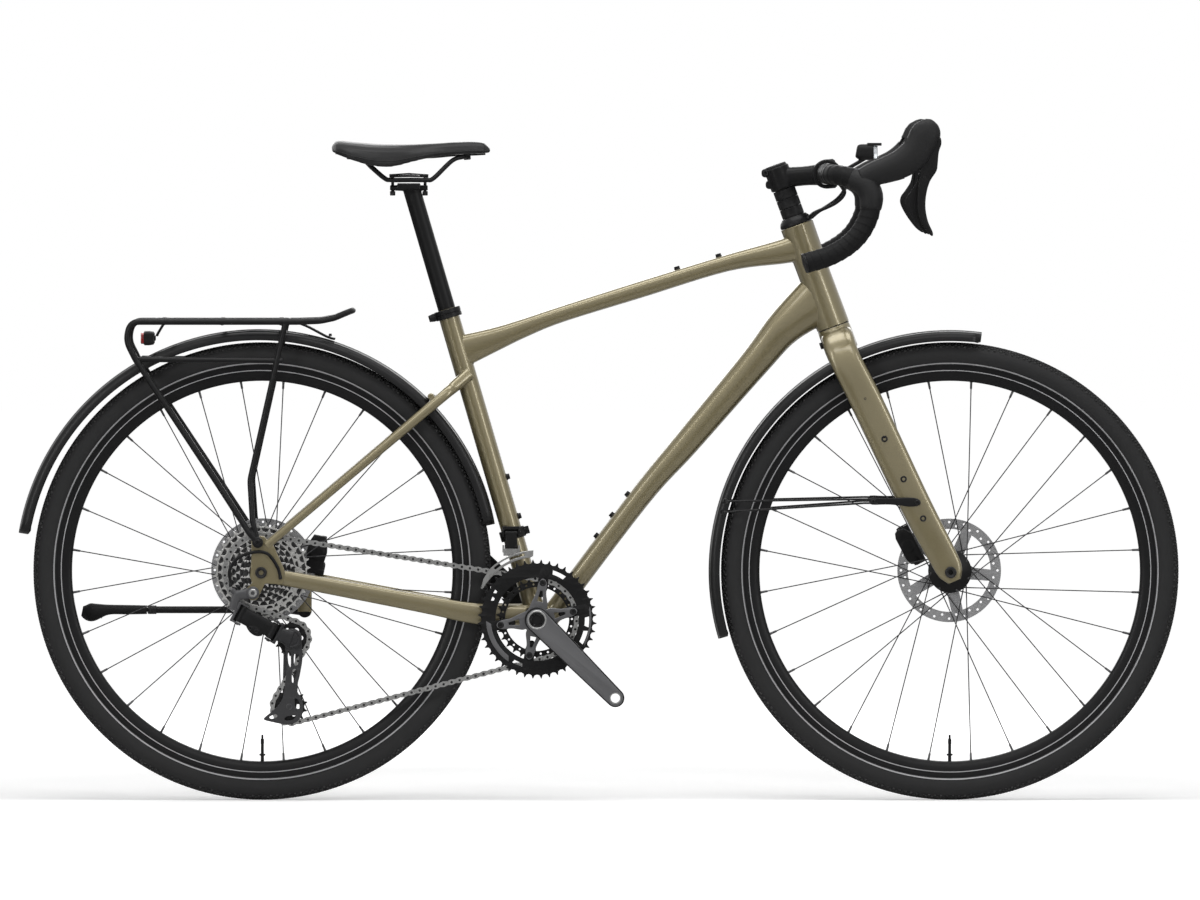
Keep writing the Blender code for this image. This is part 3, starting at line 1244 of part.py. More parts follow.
def build_seatpost():
    """The post with the two jaws of its head, which hold the rails."""
    bottom = SEAT_TOP - SEAT_AXIS * SEATPOST_INSERTION
    middle = Vector((POST_HEAD.x - 0.003, 0, SADDLE_REAR.z - RAIL_DROP))
    lower_top = -RAIL_RADIUS - GAP
    upper_low = RAIL_RADIUS + GAP
    shaft = tube([bottom, POST_HEAD - SEAT_AXIS * 0.004], SEATPOST_RADIUS, ROUND_SIDES)
    post = piece("seatpost", shaft, "black_satin", POST_HEAD)
    lower = block(middle + UP * (lower_top - JAW_HEIGHT / 2), (JAW_LENGTH * 0.6, JAW_WIDTH, JAW_HEIGHT))
    yoke = block(middle + UP * (lower_top - JAW_HEIGHT * 0.6), (JAW_LENGTH, 0.018, JAW_HEIGHT * 0.7))
    upper_middle = middle + UP * (upper_low + UPPER_JAW_HEIGHT / 2)
    upper = block(upper_middle, (JAW_LENGTH * 0.6, JAW_WIDTH, UPPER_JAW_HEIGHT))
    bridge = block(middle + UP * (upper_low + 0.0030), (JAW_LENGTH, 0.016, 0.0060))
    weld(post, lower, yoke, upper, bridge)
    for x in (-1, 1):
        bolt = middle + FORWARD * (x * (JAW_LENGTH / 2 - 0.006))
        weld(post, rod(bolt + UP * (upper_low + 0.004), bolt - UP * 0.0220, JAW_BOLT_RADIUS, 8),
             rod(bolt - UP * 0.0180, bolt - UP * 0.0240, JAW_BOLT_RADIUS * 1.6, 8))
    return post


def build_seat():
    """Everything that slides with the seatpost, on the seat tube's axis."""
    hold(pivot("seat_slide_axis", SEAT_TOP), *build_saddle(), build_seatpost())


def build_seat_collar():
    """The clamp round the top of the seat tube, with its bolt behind."""
    high = SEAT_TOP - SEAT_AXIS * GAP
    low = high - SEAT_AXIS * COLLAR_HEIGHT
    bm = collar(low, high, SEAT_TUBE_RADIUS + GAP, SEAT_TUBE_RADIUS + COLLAR_WALL, ROUND_SIDES)
    clamp = piece("seat_collar", bm, "black_satin", SEAT_TOP)
    back = SEAT_AXIS.cross(SIDE)
    back = back if back.x < 0 else -back
    ear = low.lerp(high, 0.5) + back * (SEAT_TUBE_RADIUS + 0.0095)
    lug = block(ear, (0.0130, 0.0160, 0.0120), (back, SIDE, SEAT_AXIS))
    weld(clamp, lug, rod(ear - SIDE * 0.0110, ear + SIDE * 0.0110, 0.0042, 10))
    room = tube([low - SEAT_AXIS * 0.01, high + SEAT_AXIS * 0.01], SEAT_TUBE_RADIUS + GAP, ROUND_SIDES)
    cut(clamp, room)
    return clamp


# Cranks, rings and bottom bracket

def build_crank_arm(name, side, angle):
    """One crank arm with its pedal eye."""
    tip = BB + direction(angle) * CRANK_LENGTH
    ends = sorted((side * CRANK_INNER_Y, side * CRANK_OUTER_Y))
    arm = piece(name, plate(capsule(BB, tip, ARM_RADIUS, EYE_RADIUS, 6), *ends), "grey_alloy", BB)
    return arm, rod(tip - SIDE * 0.1, tip + SIDE * 0.1, PEDAL_HOLE_RADIUS, 12)


def spider_angles():
    """The four spider arms, in two pairs that leave room for the crank arm."""
    return [CRANK_ANGLE + math.radians(turn) for turn in SPIDER_TURNS]


def build_cranks():
    """Right crank with spider and spindle, left crank clamped on the spindle."""
    right, right_hole = build_crank_arm("crank_right", -1, CRANK_ANGLE)
    hub = rod(BB - SIDE * CRANK_OUTER_Y, BB + SIDE * (SPIDER_Y + 0.0065), ARM_RADIUS * 0.98, 16)
    spindle = rod(BB - SIDE * CRANK_INNER_Y, BB + SIDE * CRANK_OUTER_Y, SPINDLE_RADIUS, 16)
    weld(right, hub, spindle)
    for angle in spider_angles():
        tip = BB + direction(angle) * SPIDER_REACH
        bolt = BB + direction(angle) * SMALL_BOLT_CIRCLE
        tab_y = CHAINLINE_Y - RING_THICKNESS / 2 - GAP
        weld(right, plate(capsule(BB, tip, 0.0150, 0.0070, 3), SPIDER_Y - SPIDER_THICKNESS, SPIDER_Y),
             rod(bolt + SIDE * (SPIDER_Y - 0.002), bolt + SIDE * tab_y, 0.0050, 6))
    cut(right, right_hole)
    left, left_hole = build_crank_arm("crank_left", 1, CRANK_ANGLE + math.pi)
    cut(left, left_hole, rod(BB, BB + SIDE * 0.2, SPINDLE_RADIUS + GAP, 16))
    rings = build_rings()
    hold(pivot("crank_axis", BB), right, left, *rings)


def build_rings():
    """The two chainrings: the big one reaches its bolts with four tabs."""
    half = RING_THICKNESS / 2
    big_radius = pitch_radius(BIG_RING_TEETH)
    outline = toothed(BB, BIG_RING_TEETH, TOOTH_HEIGHT, big_radius)
    big = piece("chainring_big", plate(outline, BIG_RING_Y - half, BIG_RING_Y + half), "black_satin", BB)
    cut(big, rod(BB - SIDE * 0.1, BB, big_radius - BIG_RING_BAND, 20))
    for angle in spider_angles():
        inner = BB + direction(angle) * (SPIDER_REACH - 0.001)
        outer = BB + direction(angle) * (big_radius - BIG_RING_BAND + 0.006)
        weld(big, plate(capsule(inner, outer, 0.0080, 0.0110, 2), BIG_RING_Y - half, BIG_RING_Y + half))
    small_radius = pitch_radius(SMALL_RING_TEETH)
    outline = toothed(BB, SMALL_RING_TEETH, TOOTH_HEIGHT, small_radius)
    small = piece("chainring_small", plate(outline, CHAINLINE_Y - half, CHAINLINE_Y + half), "steel", BB)
    cut(small, rod(BB - SIDE * 0.1, BB, SMALL_BOLT_CIRCLE - 0.006, 16))
    return big, small


def build_bottom_bracket():
    """Two outboard cups joined by the sleeve that runs through the shell."""
    bore = SPINDLE_RADIUS + RUNNING
    face = BB_SHELL_WIDTH / 2 + GAP
    end = face + CUP_WIDTH
    sleeve_radius = SHELL_BORE * math.cos(math.pi / 16) - GAP
    profile = [
        (bore, -end), (CUP_RADIUS, -end), (CUP_RADIUS, -face), (sleeve_radius, -face),
        (sleeve_radius, face), (CUP_RADIUS, face), (CUP_RADIUS, end), (bore, end),
    ]
    return piece("bottom_bracket", turned(profile, 16, BB), "black_satin", BB)


# Cassette, chain and pulleys

def cog_y(teeth):
    """The middle plane of a cog."""
    return FIRST_COG_Y - COG_SPACING * COG_TEETH.index(teeth)


def build_cassette():
    """The sprockets as one cluster on its body, turning with the chain."""
    half = COG_THICKNESS / 2
    low = FIRST_COG_Y + half + 0.0004
    high = cog_y(COG_TEETH[-1]) - half - 0.0008
    body = rod(REAR_AXLE + SIDE * low, REAR_AXLE + SIDE * high, COG_BODY_RADIUS, 8)
    core = piece("cassette", body, "steel", REAR_AXLE)
    for teeth in COG_TEETH:
        y = cog_y(teeth)
        if teeth == CHAIN_COG:
            outline = toothed(REAR_AXLE, teeth, TOOTH_HEIGHT, pitch_radius(teeth))
        else:
            steps = 6 + teeth // 3
            last = 2 * math.pi * (steps - 1) / steps
            outline = arc(REAR_AXLE, pitch_radius(teeth) + TOOTH_HEIGHT * 0.4, 0, last, steps - 1)
        weld(core, plate(outline, y - half, y + half))
    cut(core, rod(REAR_AXLE - SIDE * 0.1, REAR_AXLE, AXLE_RADIUS + GAP, 12))
    hold(pivot("cassette_axis", REAR_AXLE), core)
    return core


def belt_run(first, second):
    """Where a chain run leaves one wheel and meets the next; each is centre, radius and turn."""
    (a, ra, sa), (b, rb, sb) = first, second
    away = b - a
    length = math.hypot(away.x, away.z)
    lift = sb * rb - sa * ra
    angle = math.atan2(away.z, away.x) + math.atan2(lift, math.sqrt(length ** 2 - lift ** 2))
    normal = Vector((-math.sin(angle), 0, math.cos(angle)))
    return a + normal * (sa * ra), b + normal * (sb * rb)


def chain_path():
    """The chain's loop: points round each wheel, and the runs between them by index."""
    chain_y = cog_y(CHAIN_COG)
    wheels = [
        (BB + SIDE * CHAINLINE_Y, pitch_radius(SMALL_RING_TEETH), 1, 9),
        (TENSION_CENTRE + SIDE * chain_y, pitch_radius(PULLEY_TEETH), 1, 4),
        (GUIDE_CENTRE + SIDE * chain_y, pitch_radius(PULLEY_TEETH), -1, 3),
        (REAR_AXLE + SIDE * chain_y, pitch_radius(CHAIN_COG), 1, 7),
    ]
    count = len(wheels)
    runs = [belt_run(wheels[k][:3], wheels[(k + 1) % count][:3]) for k in range(count)]
    points = []
    free = []
    for k, (centre, radius, turn, steps) in enumerate(wheels):
        arrive, leave = runs[k - 1][1], runs[k][0]
        first = math.atan2(arrive.z - centre.z, arrive.x - centre.x)
        last = math.atan2(leave.z - centre.z, leave.x - centre.x)
        sweep = (first - last) % (2 * math.pi) if turn > 0 else -((last - first) % (2 * math.pi))
        for i in range(steps + 1):
            angle = first - sweep * i / steps
            points.append(centre + direction(angle) * radius)
        free.append(runs[k])
    return points, free


def build_chain():
    """The chain: two bands of plates, joined by pins on the long free runs."""
    points, runs = chain_path()
    count = len(points)
    half = CHAIN_HEIGHT / 2
    bands = []
    for side in (-1, 1):
        near = side * CHAIN_INNER / 2
        far = side * (CHAIN_INNER / 2 + CHAIN_PLATE)
        bm = bmesh.new()
        loops = []
        for k, here in enumerate(points):
            run = (points[(k + 1) % count] - points[k - 1]).normalized()
            normal = Vector((-run.z, 0, run.x)).normalized()
            loops.append([here + SIDE * near + normal * half, here + SIDE * far + normal * half,
                          here + SIDE * far - normal * half, here + SIDE * near - normal * half])
        bridge_loops(bm, loops, closed=True)
        bands.append(bm)
    chain = piece("chain", bands[0], "steel")
    weld(chain, bands[1])
    reach = CHAIN_INNER / 2 + CHAIN_PLATE * 0.6
    for start, end in (runs[0], runs[3]):
        for share in (0.15, 0.50, 0.85):
            middle = start.lerp(end, share)
            weld(chain, rod(middle - SIDE * reach, middle + SIDE * reach, CHAIN_PIN_RADIUS, 6))
    return chain


def build_pulley(name, centre):
    """A toothed derailleur pulley."""
    middle = centre + SIDE * cog_y(CHAIN_COG)
    half = RING_THICKNESS / 2
    outline = toothed(centre, PULLEY_TEETH, PULLEY_TOOTH, pitch_radius(PULLEY_TEETH))
    pulley = piece(name, plate(outline, middle.y - half, middle.y + half), "black_plastic", middle)
    cut(pulley, rod(centre - SIDE * 0.1, centre, PULLEY_BOLT_RADIUS + GAP, 12))
    hold(pivot(f"{name}_axis", middle), pulley)
    return pulley


# Rear derailleur

def link_axes():
    """Directions along the link and along its hinge pins."""
    along = (LINK_END - LINK_START).normalized()
    pin = along.cross(SIDE)
    pin = pin if pin.z > 0 else -pin
    return along, pin


def hinge_ears(centre, along, pin, towards):
    """Two ears above and below a link's rounded end, with the web that joins them."""
    shapes = []
    back = towards * (LINK_WIDTH / 2 + 2 * RUNNING)
    for end in (-1, 1):
        middle = centre + pin * (end * (LINK_HEIGHT / 2 + RUNNING + EAR / 2)) + along * (towards * 0.003)
        shapes.append(block(middle, (0.018, LINK_WIDTH, EAR), (along, SIDE, pin)))
    web = centre + along * (back + towards * 0.0025)
    shapes.append(block(web, (0.0050, LINK_WIDTH, LINK_HEIGHT + 2 * (RUNNING + EAR)), (along, SIDE, pin)))
    return shapes


def build_rear_derailleur():
    """Bracket, parallelogram link, knuckle, cage and pulleys."""
    along, pin = link_axes()
    first, second = LINK_START + SIDE * LINK_Y, LINK_END + SIDE * LINK_Y
    plate_out = -(STAY_OUTER + GAP)
    knob = rod(HANGER + SIDE * plate_out, HANGER + SIDE * (plate_out - 0.012), 0.0100, 16)
    bracket = piece("rd_bracket", knob, "black_satin", HANGER)
    bolt = rod(HANGER - SIDE * STAY_FACE, HANGER + SIDE * (plate_out - 0.006), RD_BOLT_RADIUS, 10)
    arm_end = first - along * 0.0155
    arm_end.y = plate_out - 0.006
    elbow = HANGER + Vector((-0.0230, 0, -0.0035))
    arms = [
        plate(capsule(HANGER, elbow, 0.0085, 0.0075, 3), plate_out - 0.009, plate_out),
        plate(capsule(elbow, arm_end - SIDE * arm_end.y, 0.0070, 0.0060, 3), plate_out - 0.0085, plate_out),
        plate(capsule(elbow, CABLE_STOP, 0.0050, 0.0040, 3), plate_out - 0.008, plate_out - 0.0005),
    ]
    weld(bracket, bolt, *arms, *hinge_ears(first, along, pin, -1))
    half_pin = pin * (LINK_HEIGHT / 2)
    link = piece("rd_link", rod(first - half_pin, first + half_pin, LINK_WIDTH / 2, 12), "black_satin", first)
    bar_size = ((second - first).length, LINK_WIDTH * 0.8, LINK_HEIGHT)
    weld(link, rod(second - half_pin, second + half_pin, LINK_WIDTH / 2, 12),
         block(first.lerp(second, 0.5), bar_size, (along, SIDE, pin)))
    cage_out = cog_y(CHAIN_COG) - CAGE_GAP - CAGE_PLATE
    near, far = GUIDE_CENTRE + SIDE * (cage_out - RUNNING), GUIDE_CENTRE + SIDE * (LINK_Y - LINK_WIDTH / 2)
    knuckle = piece("rd_knuckle", rod(near, far, KNUCKLE_RADIUS, 16), "black_satin", second)
    reach = GUIDE_CENTRE + SIDE * LINK_Y - second
    arm_start = second + along * 0.0100
    arm_run = second + reach - arm_start
    arm_out = arm_run.normalized()
    arm_axes = (arm_out, SIDE, arm_out.cross(SIDE))
    web = block(arm_start + arm_run / 2, (arm_run.length, LINK_WIDTH, 0.0200), arm_axes)
    weld(knuckle, *hinge_ears(second, along, pin, 1), web)
    hold(pivot("rd_link_axis", first), link)
    hold(pivot("rd_knuckle_axis", second), knuckle)
    build_cage()
    build_pulley("guide_pulley", GUIDE_CENTRE)
    build_pulley("tension_pulley", TENSION_CENTRE)
    return bracket


def build_cage():
    """Two cage plates joined by the pulley bolts."""
    middle = cog_y(CHAIN_COG)
    outline = capsule(GUIDE_CENTRE, TENSION_CENTRE, 0.0130, 0.0110, 5)
    outer = middle - CAGE_GAP - CAGE_PLATE
    guide = GUIDE_CENTRE + SIDE * middle
    cage = piece("rd_cage", plate(outline, outer, outer + CAGE_PLATE), "black_satin", guide)
    inner = plate(outline, middle + CAGE_GAP, middle + CAGE_GAP + CAGE_PLATE)
    bolts = []
    reach = SIDE * (CAGE_GAP + CAGE_PLATE / 2)
    for centre in (GUIDE_CENTRE + SIDE * middle, TENSION_CENTRE + SIDE * middle):
        bolts.append(rod(centre - reach, centre + reach, PULLEY_BOLT_RADIUS, 10))
    weld(cage, bolts[0], bolts[1], inner)
    hold(pivot("rd_cage_axis", GUIDE_CENTRE + SIDE * middle), cage)
    return cage


def build_rear_shift_cable():
    """The loop of housing from the right dropout's face back to the derailleur's stop."""
    y = -(STAY_OUTER + CABLE_RADIUS + GAP)
    route = [
        REAR_AXLE + Vector((0.0300, y, -0.0100)), REAR_AXLE + Vector((0.0255, y, 0.0080)),
        REAR_AXLE + Vector((0.0100, y - 0.0020, 0.0290)), REAR_AXLE + Vector((-0.0120, y - 0.0035, 0.0315)),
        REAR_AXLE + Vector((-0.0360, y - 0.0025, 0.0220)), REAR_AXLE + Vector((-0.0480, y, 0.0040)),
        CABLE_STOP + Vector((-0.0020, y, 0.0130)), CABLE_STOP + Vector((-0.0012, y, 0.0044)),
    ]
    return cable("rear_shift_cable", route)


# Front derailleur

def build_front_derailleur():
    """Clamp, link and cage over the chainrings."""
    low, high = FD_CLAMP - SEAT_AXIS * 0.0080, FD_CLAMP + SEAT_AXIS * 0.0080
    bm = collar(low, high, SEAT_TUBE_RADIUS + GAP, SEAT_TUBE_RADIUS + FD_COLLAR_WALL, ROUND_SIDES)
    clamp = piece("fd_clamp", bm, "black_satin", FD_CLAMP)
    ear_x = FD_LINK_LENGTH / 2 + RUNNING + EAR / 2
    outer_y = FD_PIN.y - 0.0050
    root_y = -SEAT_TUBE_RADIUS * 0.5
    middle_y = (outer_y + root_y) / 2
    bridge_middle = Vector((FD_PIN.x, middle_y, FD_PIN.z + 0.0082))
    bridge = block(bridge_middle, (2 * ear_x + EAR, root_y - outer_y, 0.0050))
    ears = []
    for end in (-1, 1):
        middle = Vector((FD_PIN.x + end * ear_x, middle_y, FD_PIN.z + 0.0020))
        ears.append(block(middle, (EAR, root_y - outer_y, 0.0170)))
    room = tube([low - SEAT_AXIS * 0.03, high + SEAT_AXIS * 0.03], SEAT_TUBE_RADIUS + GAP, ROUND_SIDES)
    weld(clamp, bridge, *ears)
    cut(clamp, room)
    lower = FD_PIN - UP * FD_LINK
    half_link = FORWARD * (FD_LINK_LENGTH / 2)
    link = piece("fd_link", rod(FD_PIN - half_link, FD_PIN + half_link, 0.0045, 10), "black_satin", FD_PIN)
    weld(link, rod(lower - half_link, lower + half_link, 0.0045, 10),
         block(FD_PIN.lerp(lower, 0.5), (FD_LINK_LENGTH, 0.0060, FD_LINK)))
    hold(pivot("fd_link_axis", FD_PIN), link)
    start, end = math.radians(94), math.radians(156)
    band = arc(BB, FD_CAGE_OUTER, start, end, 8) + arc(BB, FD_CAGE_INNER, end, start, 8)
    inner_y, outer_y = CHAINLINE_Y + FD_CAGE_GAP, CHAINLINE_Y - FD_CAGE_GAP
    cage = piece("fd_cage", plate(band, inner_y, inner_y + FD_CAGE_PLATE), "steel", lower)
    outer = plate(band, outer_y - FD_CAGE_PLATE, outer_y)
    bridges = []
    for turn, radius in ((106, FD_CAGE_OUTER - 0.002), (154, FD_CAGE_INNER + 0.004)):
        spot = BB + direction(math.radians(turn)) * radius
        bridges.append(block(spot + SIDE * CHAINLINE_Y, (0.012, 2 * FD_CAGE_GAP + 0.0016, 0.0030)))
    tabs = []
    tab_high = lower.y + 0.0045
    for end_side in (-1, 1):
        spot = lower + FORWARD * (end_side * ear_x) - UP * 0.0020
        spot.y = (inner_y + tab_high) / 2
        tabs.append(block(spot, (EAR, tab_high - inner_y, 0.0120)))
    web_middle = Vector((lower.x, inner_y + FD_CAGE_PLATE / 2, lower.z - 0.0040))
    web = block(web_middle, (0.0300, FD_CAGE_PLATE, 0.0200))
    weld(cage, outer, *bridges, *tabs, web)
    hold(pivot("fd_cage_axis", lower), cage)
    return clamp


# Kickstand

def kickstand_mount():
    """The boss that the stand turns on, and the web that ties it to the left chain stay."""
    face = STAND_PIVOT + STAND_AXIS * (STAND_HEAD_INNER + RUNNING)
    root = face + STAND_AXIS * 0.0032
    rise = STAND_AXIS.cross(FORWARD)
    rise = rise if rise.z > 0 else -rise
    web = [root - rise * 0.0060, root + rise * 0.0110, REAR_AXLE + Vector((0.0640, 0.0640, -0.0160))]
    return rod(face, root, STAND_HEAD_RADIUS, 12), tube(web, [(0.0110, 0.0028)] * len(web), 8, FORWARD)


def build_kickstand():
    """The stand under the left chain stay: its leg and the foot that slides out of it."""
    back = -FORWARD
    outer, inner = STAND_PIVOT - STAND_AXIS * STAND_HEAD_OUTER, STAND_PIVOT + STAND_AXIS * STAND_HEAD_INNER
    head = rod(outer, inner, STAND_HEAD_RADIUS, ROUND_SIDES)
    leg = piece("kickstand_leg", head, "black_satin", STAND_PIVOT)
    leg_end = STAND_PIVOT + back * STAND_TUBE_END
    weld(leg, rod(STAND_PIVOT, leg_end, STAND_RADIUS, 12))
    bore_end = leg_end - back * (FOOT_GRIP + 0.004)
    cut(leg, rod(bore_end, leg_end + back * 0.02, FOOT_ROD_RADIUS + GAP, 10))
    toe = leg_end + back * (GAP + 0.0007)
    foot = piece("kickstand_foot", rod(leg_end - back * FOOT_GRIP, toe + back * 0.010, FOOT_ROD_RADIUS, 10),
                 "black_satin", leg_end)
    path = [toe, toe + back * 0.060, toe + Vector((-0.0860, 0, -0.0040)), toe + Vector((-0.1000, 0, -0.0020))]
    weld(foot, tube(path, [(0.0078, 0.0078), (0.0085, 0.0085), (0.0110, 0.0150), (0.0060, 0.0080)], 10))
    hold(pivot("kickstand_foot_axis", leg_end), foot)
    hold(pivot("kickstand_axis", STAND_PIVOT), leg)


# Assembly

def clear_scene():
    """Empties the file that the script starts in."""
    for obj in list(bpy.data.objects):
        bpy.data.objects.remove(obj, do_unlink=True)


def build_steering():
    """Everything that turns with the fork."""
    steering = pivot("steering_axis", HEAD_BOTTOM)
    pieces = [build_fork(), build_front_brake()]
    pieces.append(build_stack())
    pieces += build_stem()
    pieces += build_bar()
    pieces.append(build_headlight())
    pieces += build_bar_cables()
    for name, side in (("left", 1), ("right", -1)):
        pieces.append(build_lever_body(f"lever_hood_{name}", side))
        build_controls(name, side)
    pieces.append(build_front_guard())
    pieces.append(build_axle("front_axle", FRONT_AXLE, FRONT_HUB_WIDTH, FORK_PLATE))
    hold(steering, *pieces)


def build_bicycle():
    """Builds every piece, frame first."""
    clear_scene()
    build_frame()
    build_seat_collar()
    build_bottom_bracket()
    build_rear_brake()
    build_axle("rear_axle", REAR_AXLE, REAR_HUB_WIDTH, STAY_PLATE)
    build_guard("rear_mudguard", REAR_AXLE, guard_radius, REAR_GUARD_START, REAR_GUARD_END, 18)
    build_rack()
    build_tail_light()
    build_seat()
    build_steering()
    rear_ends = (REAR_HUB_WIDTH / 2 - GAP, REAR_HUB_RIGHT_END)
    front_ends = (FRONT_HUB_WIDTH / 2 - GAP, GAP - FRONT_HUB_WIDTH / 2)
    rear_hub = (REAR_FLANGES, REAR_FLANGE_RADIUS, REAR_BARREL, rear_ends)
    front_hub = (FRONT_FLANGES, FRONT_FLANGE_RADIUS, FRONT_BARREL, front_ends)
    build_wheel("rear", REAR_AXLE, rear_hub, REAR_ROTOR_Y)
    build_wheel("front", FRONT_AXLE, front_hub, FRONT_ROTOR_Y)
    build_cranks()
    build_cassette()
    build_chain()
    build_rear_derailleur()
    build_rear_shift_cable()
    build_front_derailleur()
    build_kickstand()


build_bicycle()
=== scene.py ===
"""Dresses the packed gravel touring bicycle for its studio picture, piece by piece as it is built up.

Shapes are drawn in millimetres; made_mesh turns them into the metres that the frame uses.
"""

import math

import bmesh
import bpy
from mathutils import Matrix, Vector
from mathutils.bvhtree import BVHTree
from mathutils.interpolate import poly_3d_calc


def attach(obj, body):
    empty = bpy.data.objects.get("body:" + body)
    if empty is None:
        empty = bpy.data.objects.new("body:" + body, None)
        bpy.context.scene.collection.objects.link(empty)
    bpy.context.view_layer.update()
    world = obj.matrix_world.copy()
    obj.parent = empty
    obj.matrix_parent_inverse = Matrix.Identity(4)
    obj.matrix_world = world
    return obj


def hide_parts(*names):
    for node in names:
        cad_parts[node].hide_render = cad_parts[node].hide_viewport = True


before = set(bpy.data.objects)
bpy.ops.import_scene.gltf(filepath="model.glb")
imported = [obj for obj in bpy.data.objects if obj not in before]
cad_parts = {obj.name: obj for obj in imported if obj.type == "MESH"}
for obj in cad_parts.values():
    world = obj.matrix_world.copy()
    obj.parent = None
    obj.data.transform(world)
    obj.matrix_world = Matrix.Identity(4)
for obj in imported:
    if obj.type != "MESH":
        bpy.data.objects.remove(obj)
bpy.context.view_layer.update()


# Studio: a white sweep with a soft contact shadow, big softboxes overhead and in front, two upright
# strip boxes that draw the long highlights on the tubes, and a long lens looking a little down.
SIDE, UP, FORWARD = Vector((0, 1, 0)), Vector((0, 0, 1)), Vector((1, 0, 0))
VIEW_WIDTH = 1.848
VIEW_CENTRE = Vector((-0.0006, 0, 0.539))
VIEW_DISTANCE = 22.0
VIEW_DOWN = math.radians(1.3)
bpy.context.scene.view_settings.view_transform = "Standard"

lens = bpy.data.cameras.new("long_lens")
lens.lens = lens.sensor_width * VIEW_DISTANCE / VIEW_WIDTH
camera = bpy.data.objects.new("camera", lens)
camera.location = VIEW_CENTRE + VIEW_DISTANCE * Vector((0, -math.cos(VIEW_DOWN), math.sin(VIEW_DOWN)))
camera.rotation_euler = (math.pi / 2 - VIEW_DOWN, 0, 0)
bpy.context.collection.objects.link(camera)
bpy.context.scene.camera = camera


def softbox(name, place, aim, width, height, power):
    """A flat soft lamp turned towards a point."""
    lamp = bpy.data.lights.new(name, "AREA")
    lamp.shape, lamp.size, lamp.size_y, lamp.energy = "RECTANGLE", width, height, power
    obj = bpy.data.objects.new(name, lamp)
    obj.location = place
    obj.rotation_euler = (Vector(aim) - Vector(place)).to_track_quat("-Z", "Y").to_euler()
    bpy.context.collection.objects.link(obj)


softbox("overhead_box", (0.0, -0.6, 3.0), (0, 0, 0.4), 3.0, 1.4, 62)
softbox("front_box", (0.0, -4.2, 3.4), (0, 0, 0.5), 3.4, 0.9, 48)
softbox("left_strip", (-2.4, -3.0, 1.3), (0, 0, 0.6), 0.4, 2.2, 24)
softbox("right_strip", (2.6, -2.8, 1.5), (0, 0, 0.6), 0.4, 2.2, 24)
softbox("back_box", (0.0, 3.0, 1.8), (0, 0, 0.5), 2.6, 1.4, 30)


def add(tree, kind, *sockets, how=None, **named):
    """Adds a shader node; each socket gets a value or a link, by place or by name."""
    node = tree.nodes.new("ShaderNode" + kind)
    for attribute, value in (how or {}).items():
        setattr(node, attribute, value)
    for key, value in [*enumerate(sockets), *named.items()]:
        socket = node.inputs[key.replace("_", " ") if isinstance(key, str) else key]
        if isinstance(value, bpy.types.NodeSocket):
            tree.links.new(value, socket)
        elif value is not None:
            socket.default_value = value
    return node


def seen_white(tree, lit_shader, *rays):
    """White wherever one of the given rays looks, and the lit shader elsewhere."""
    path, seen = add(tree, "LightPath"), 0.0
    for ray in rays:
        seen = add(tree, "Math", path.outputs[ray], seen, how={"operation": "MAXIMUM"}).outputs[0]
    return add(tree, "MixShader", seen, lit_shader)


world = bpy.data.worlds.new("studio_air")
world.use_nodes = True
bpy.context.scene.world = world
air = world.node_tree
ambient = air.nodes["Background"]
ambient.inputs["Strength"].default_value = 0.24
mixed = seen_white(air, ambient.outputs[0], "Is Camera Ray", "Is Glossy Ray", "Is Transmission Ray")
white_air = add(air, "Background", (1, 1, 1, 1), 1.0)
air.links.new(white_air.outputs[0], mixed.inputs[2])
air.links.new(mixed.outputs[0], air.nodes["World Output"].inputs["Surface"])

SWEEP_HALF = 30.0
sweep_mesh = bpy.data.meshes.new("floor")
corners = [(-SWEEP_HALF, -SWEEP_HALF, 0), (SWEEP_HALF, -SWEEP_HALF, 0), (SWEEP_HALF, SWEEP_HALF, 0),
           (-SWEEP_HALF, SWEEP_HALF, 0)]
sweep_mesh.from_pydata(corners, [], [(0, 1, 2, 3)])
floor = bpy.data.objects.new("floor", sweep_mesh)
bpy.context.collection.objects.link(floor)
paper = bpy.data.materials.new("white_paper")
paper.use_nodes = True
paper_tree = paper.node_tree
paper_shader = paper_tree.nodes["Principled BSDF"]
paper_shader.inputs["Base Color"].default_value = (0.86, 0.86, 0.86, 1)
paper_shader.inputs["Roughness"].default_value = 0.9
paper_shader.inputs["Specular IOR Level"].default_value = 0.0
reach = add(paper_tree, "VectorMath", add(paper_tree, "TexCoord").outputs["Object"],
            how={"operation": "LENGTH"})
brighter = add(paper_tree, "MapRange", reach.outputs["Value"], 1.1, 2.6, 0.38, 1.0)
paper_glow = add(paper_tree, "Emission", (1, 1, 1, 1), brighter.outputs[0])
paper_sum = add(paper_tree, "AddShader", paper_shader.outputs[0], paper_glow.outputs[0])
paper_mix = seen_white(paper_tree, paper_shader.outputs[0], "Is Camera Ray", "Is Transmission Ray")
paper_tree.links.new(paper_sum.outputs[0], paper_mix.inputs[2])
paper_tree.links.new(paper_mix.outputs[0], paper_tree.nodes["Material Output"].inputs["Surface"])
sweep_mesh.materials.append(paper)


# Shell and paint: aluminium tubes, welded and smoothed, under olive gold metallic lacquer. The
# tubes swell where they meet, and each is bowed a little, as formed tubes are.
def step(forward, left, up):
    """A step, or a direction, by how far it goes forward, to the left and up."""
    return Vector((forward, left, up))


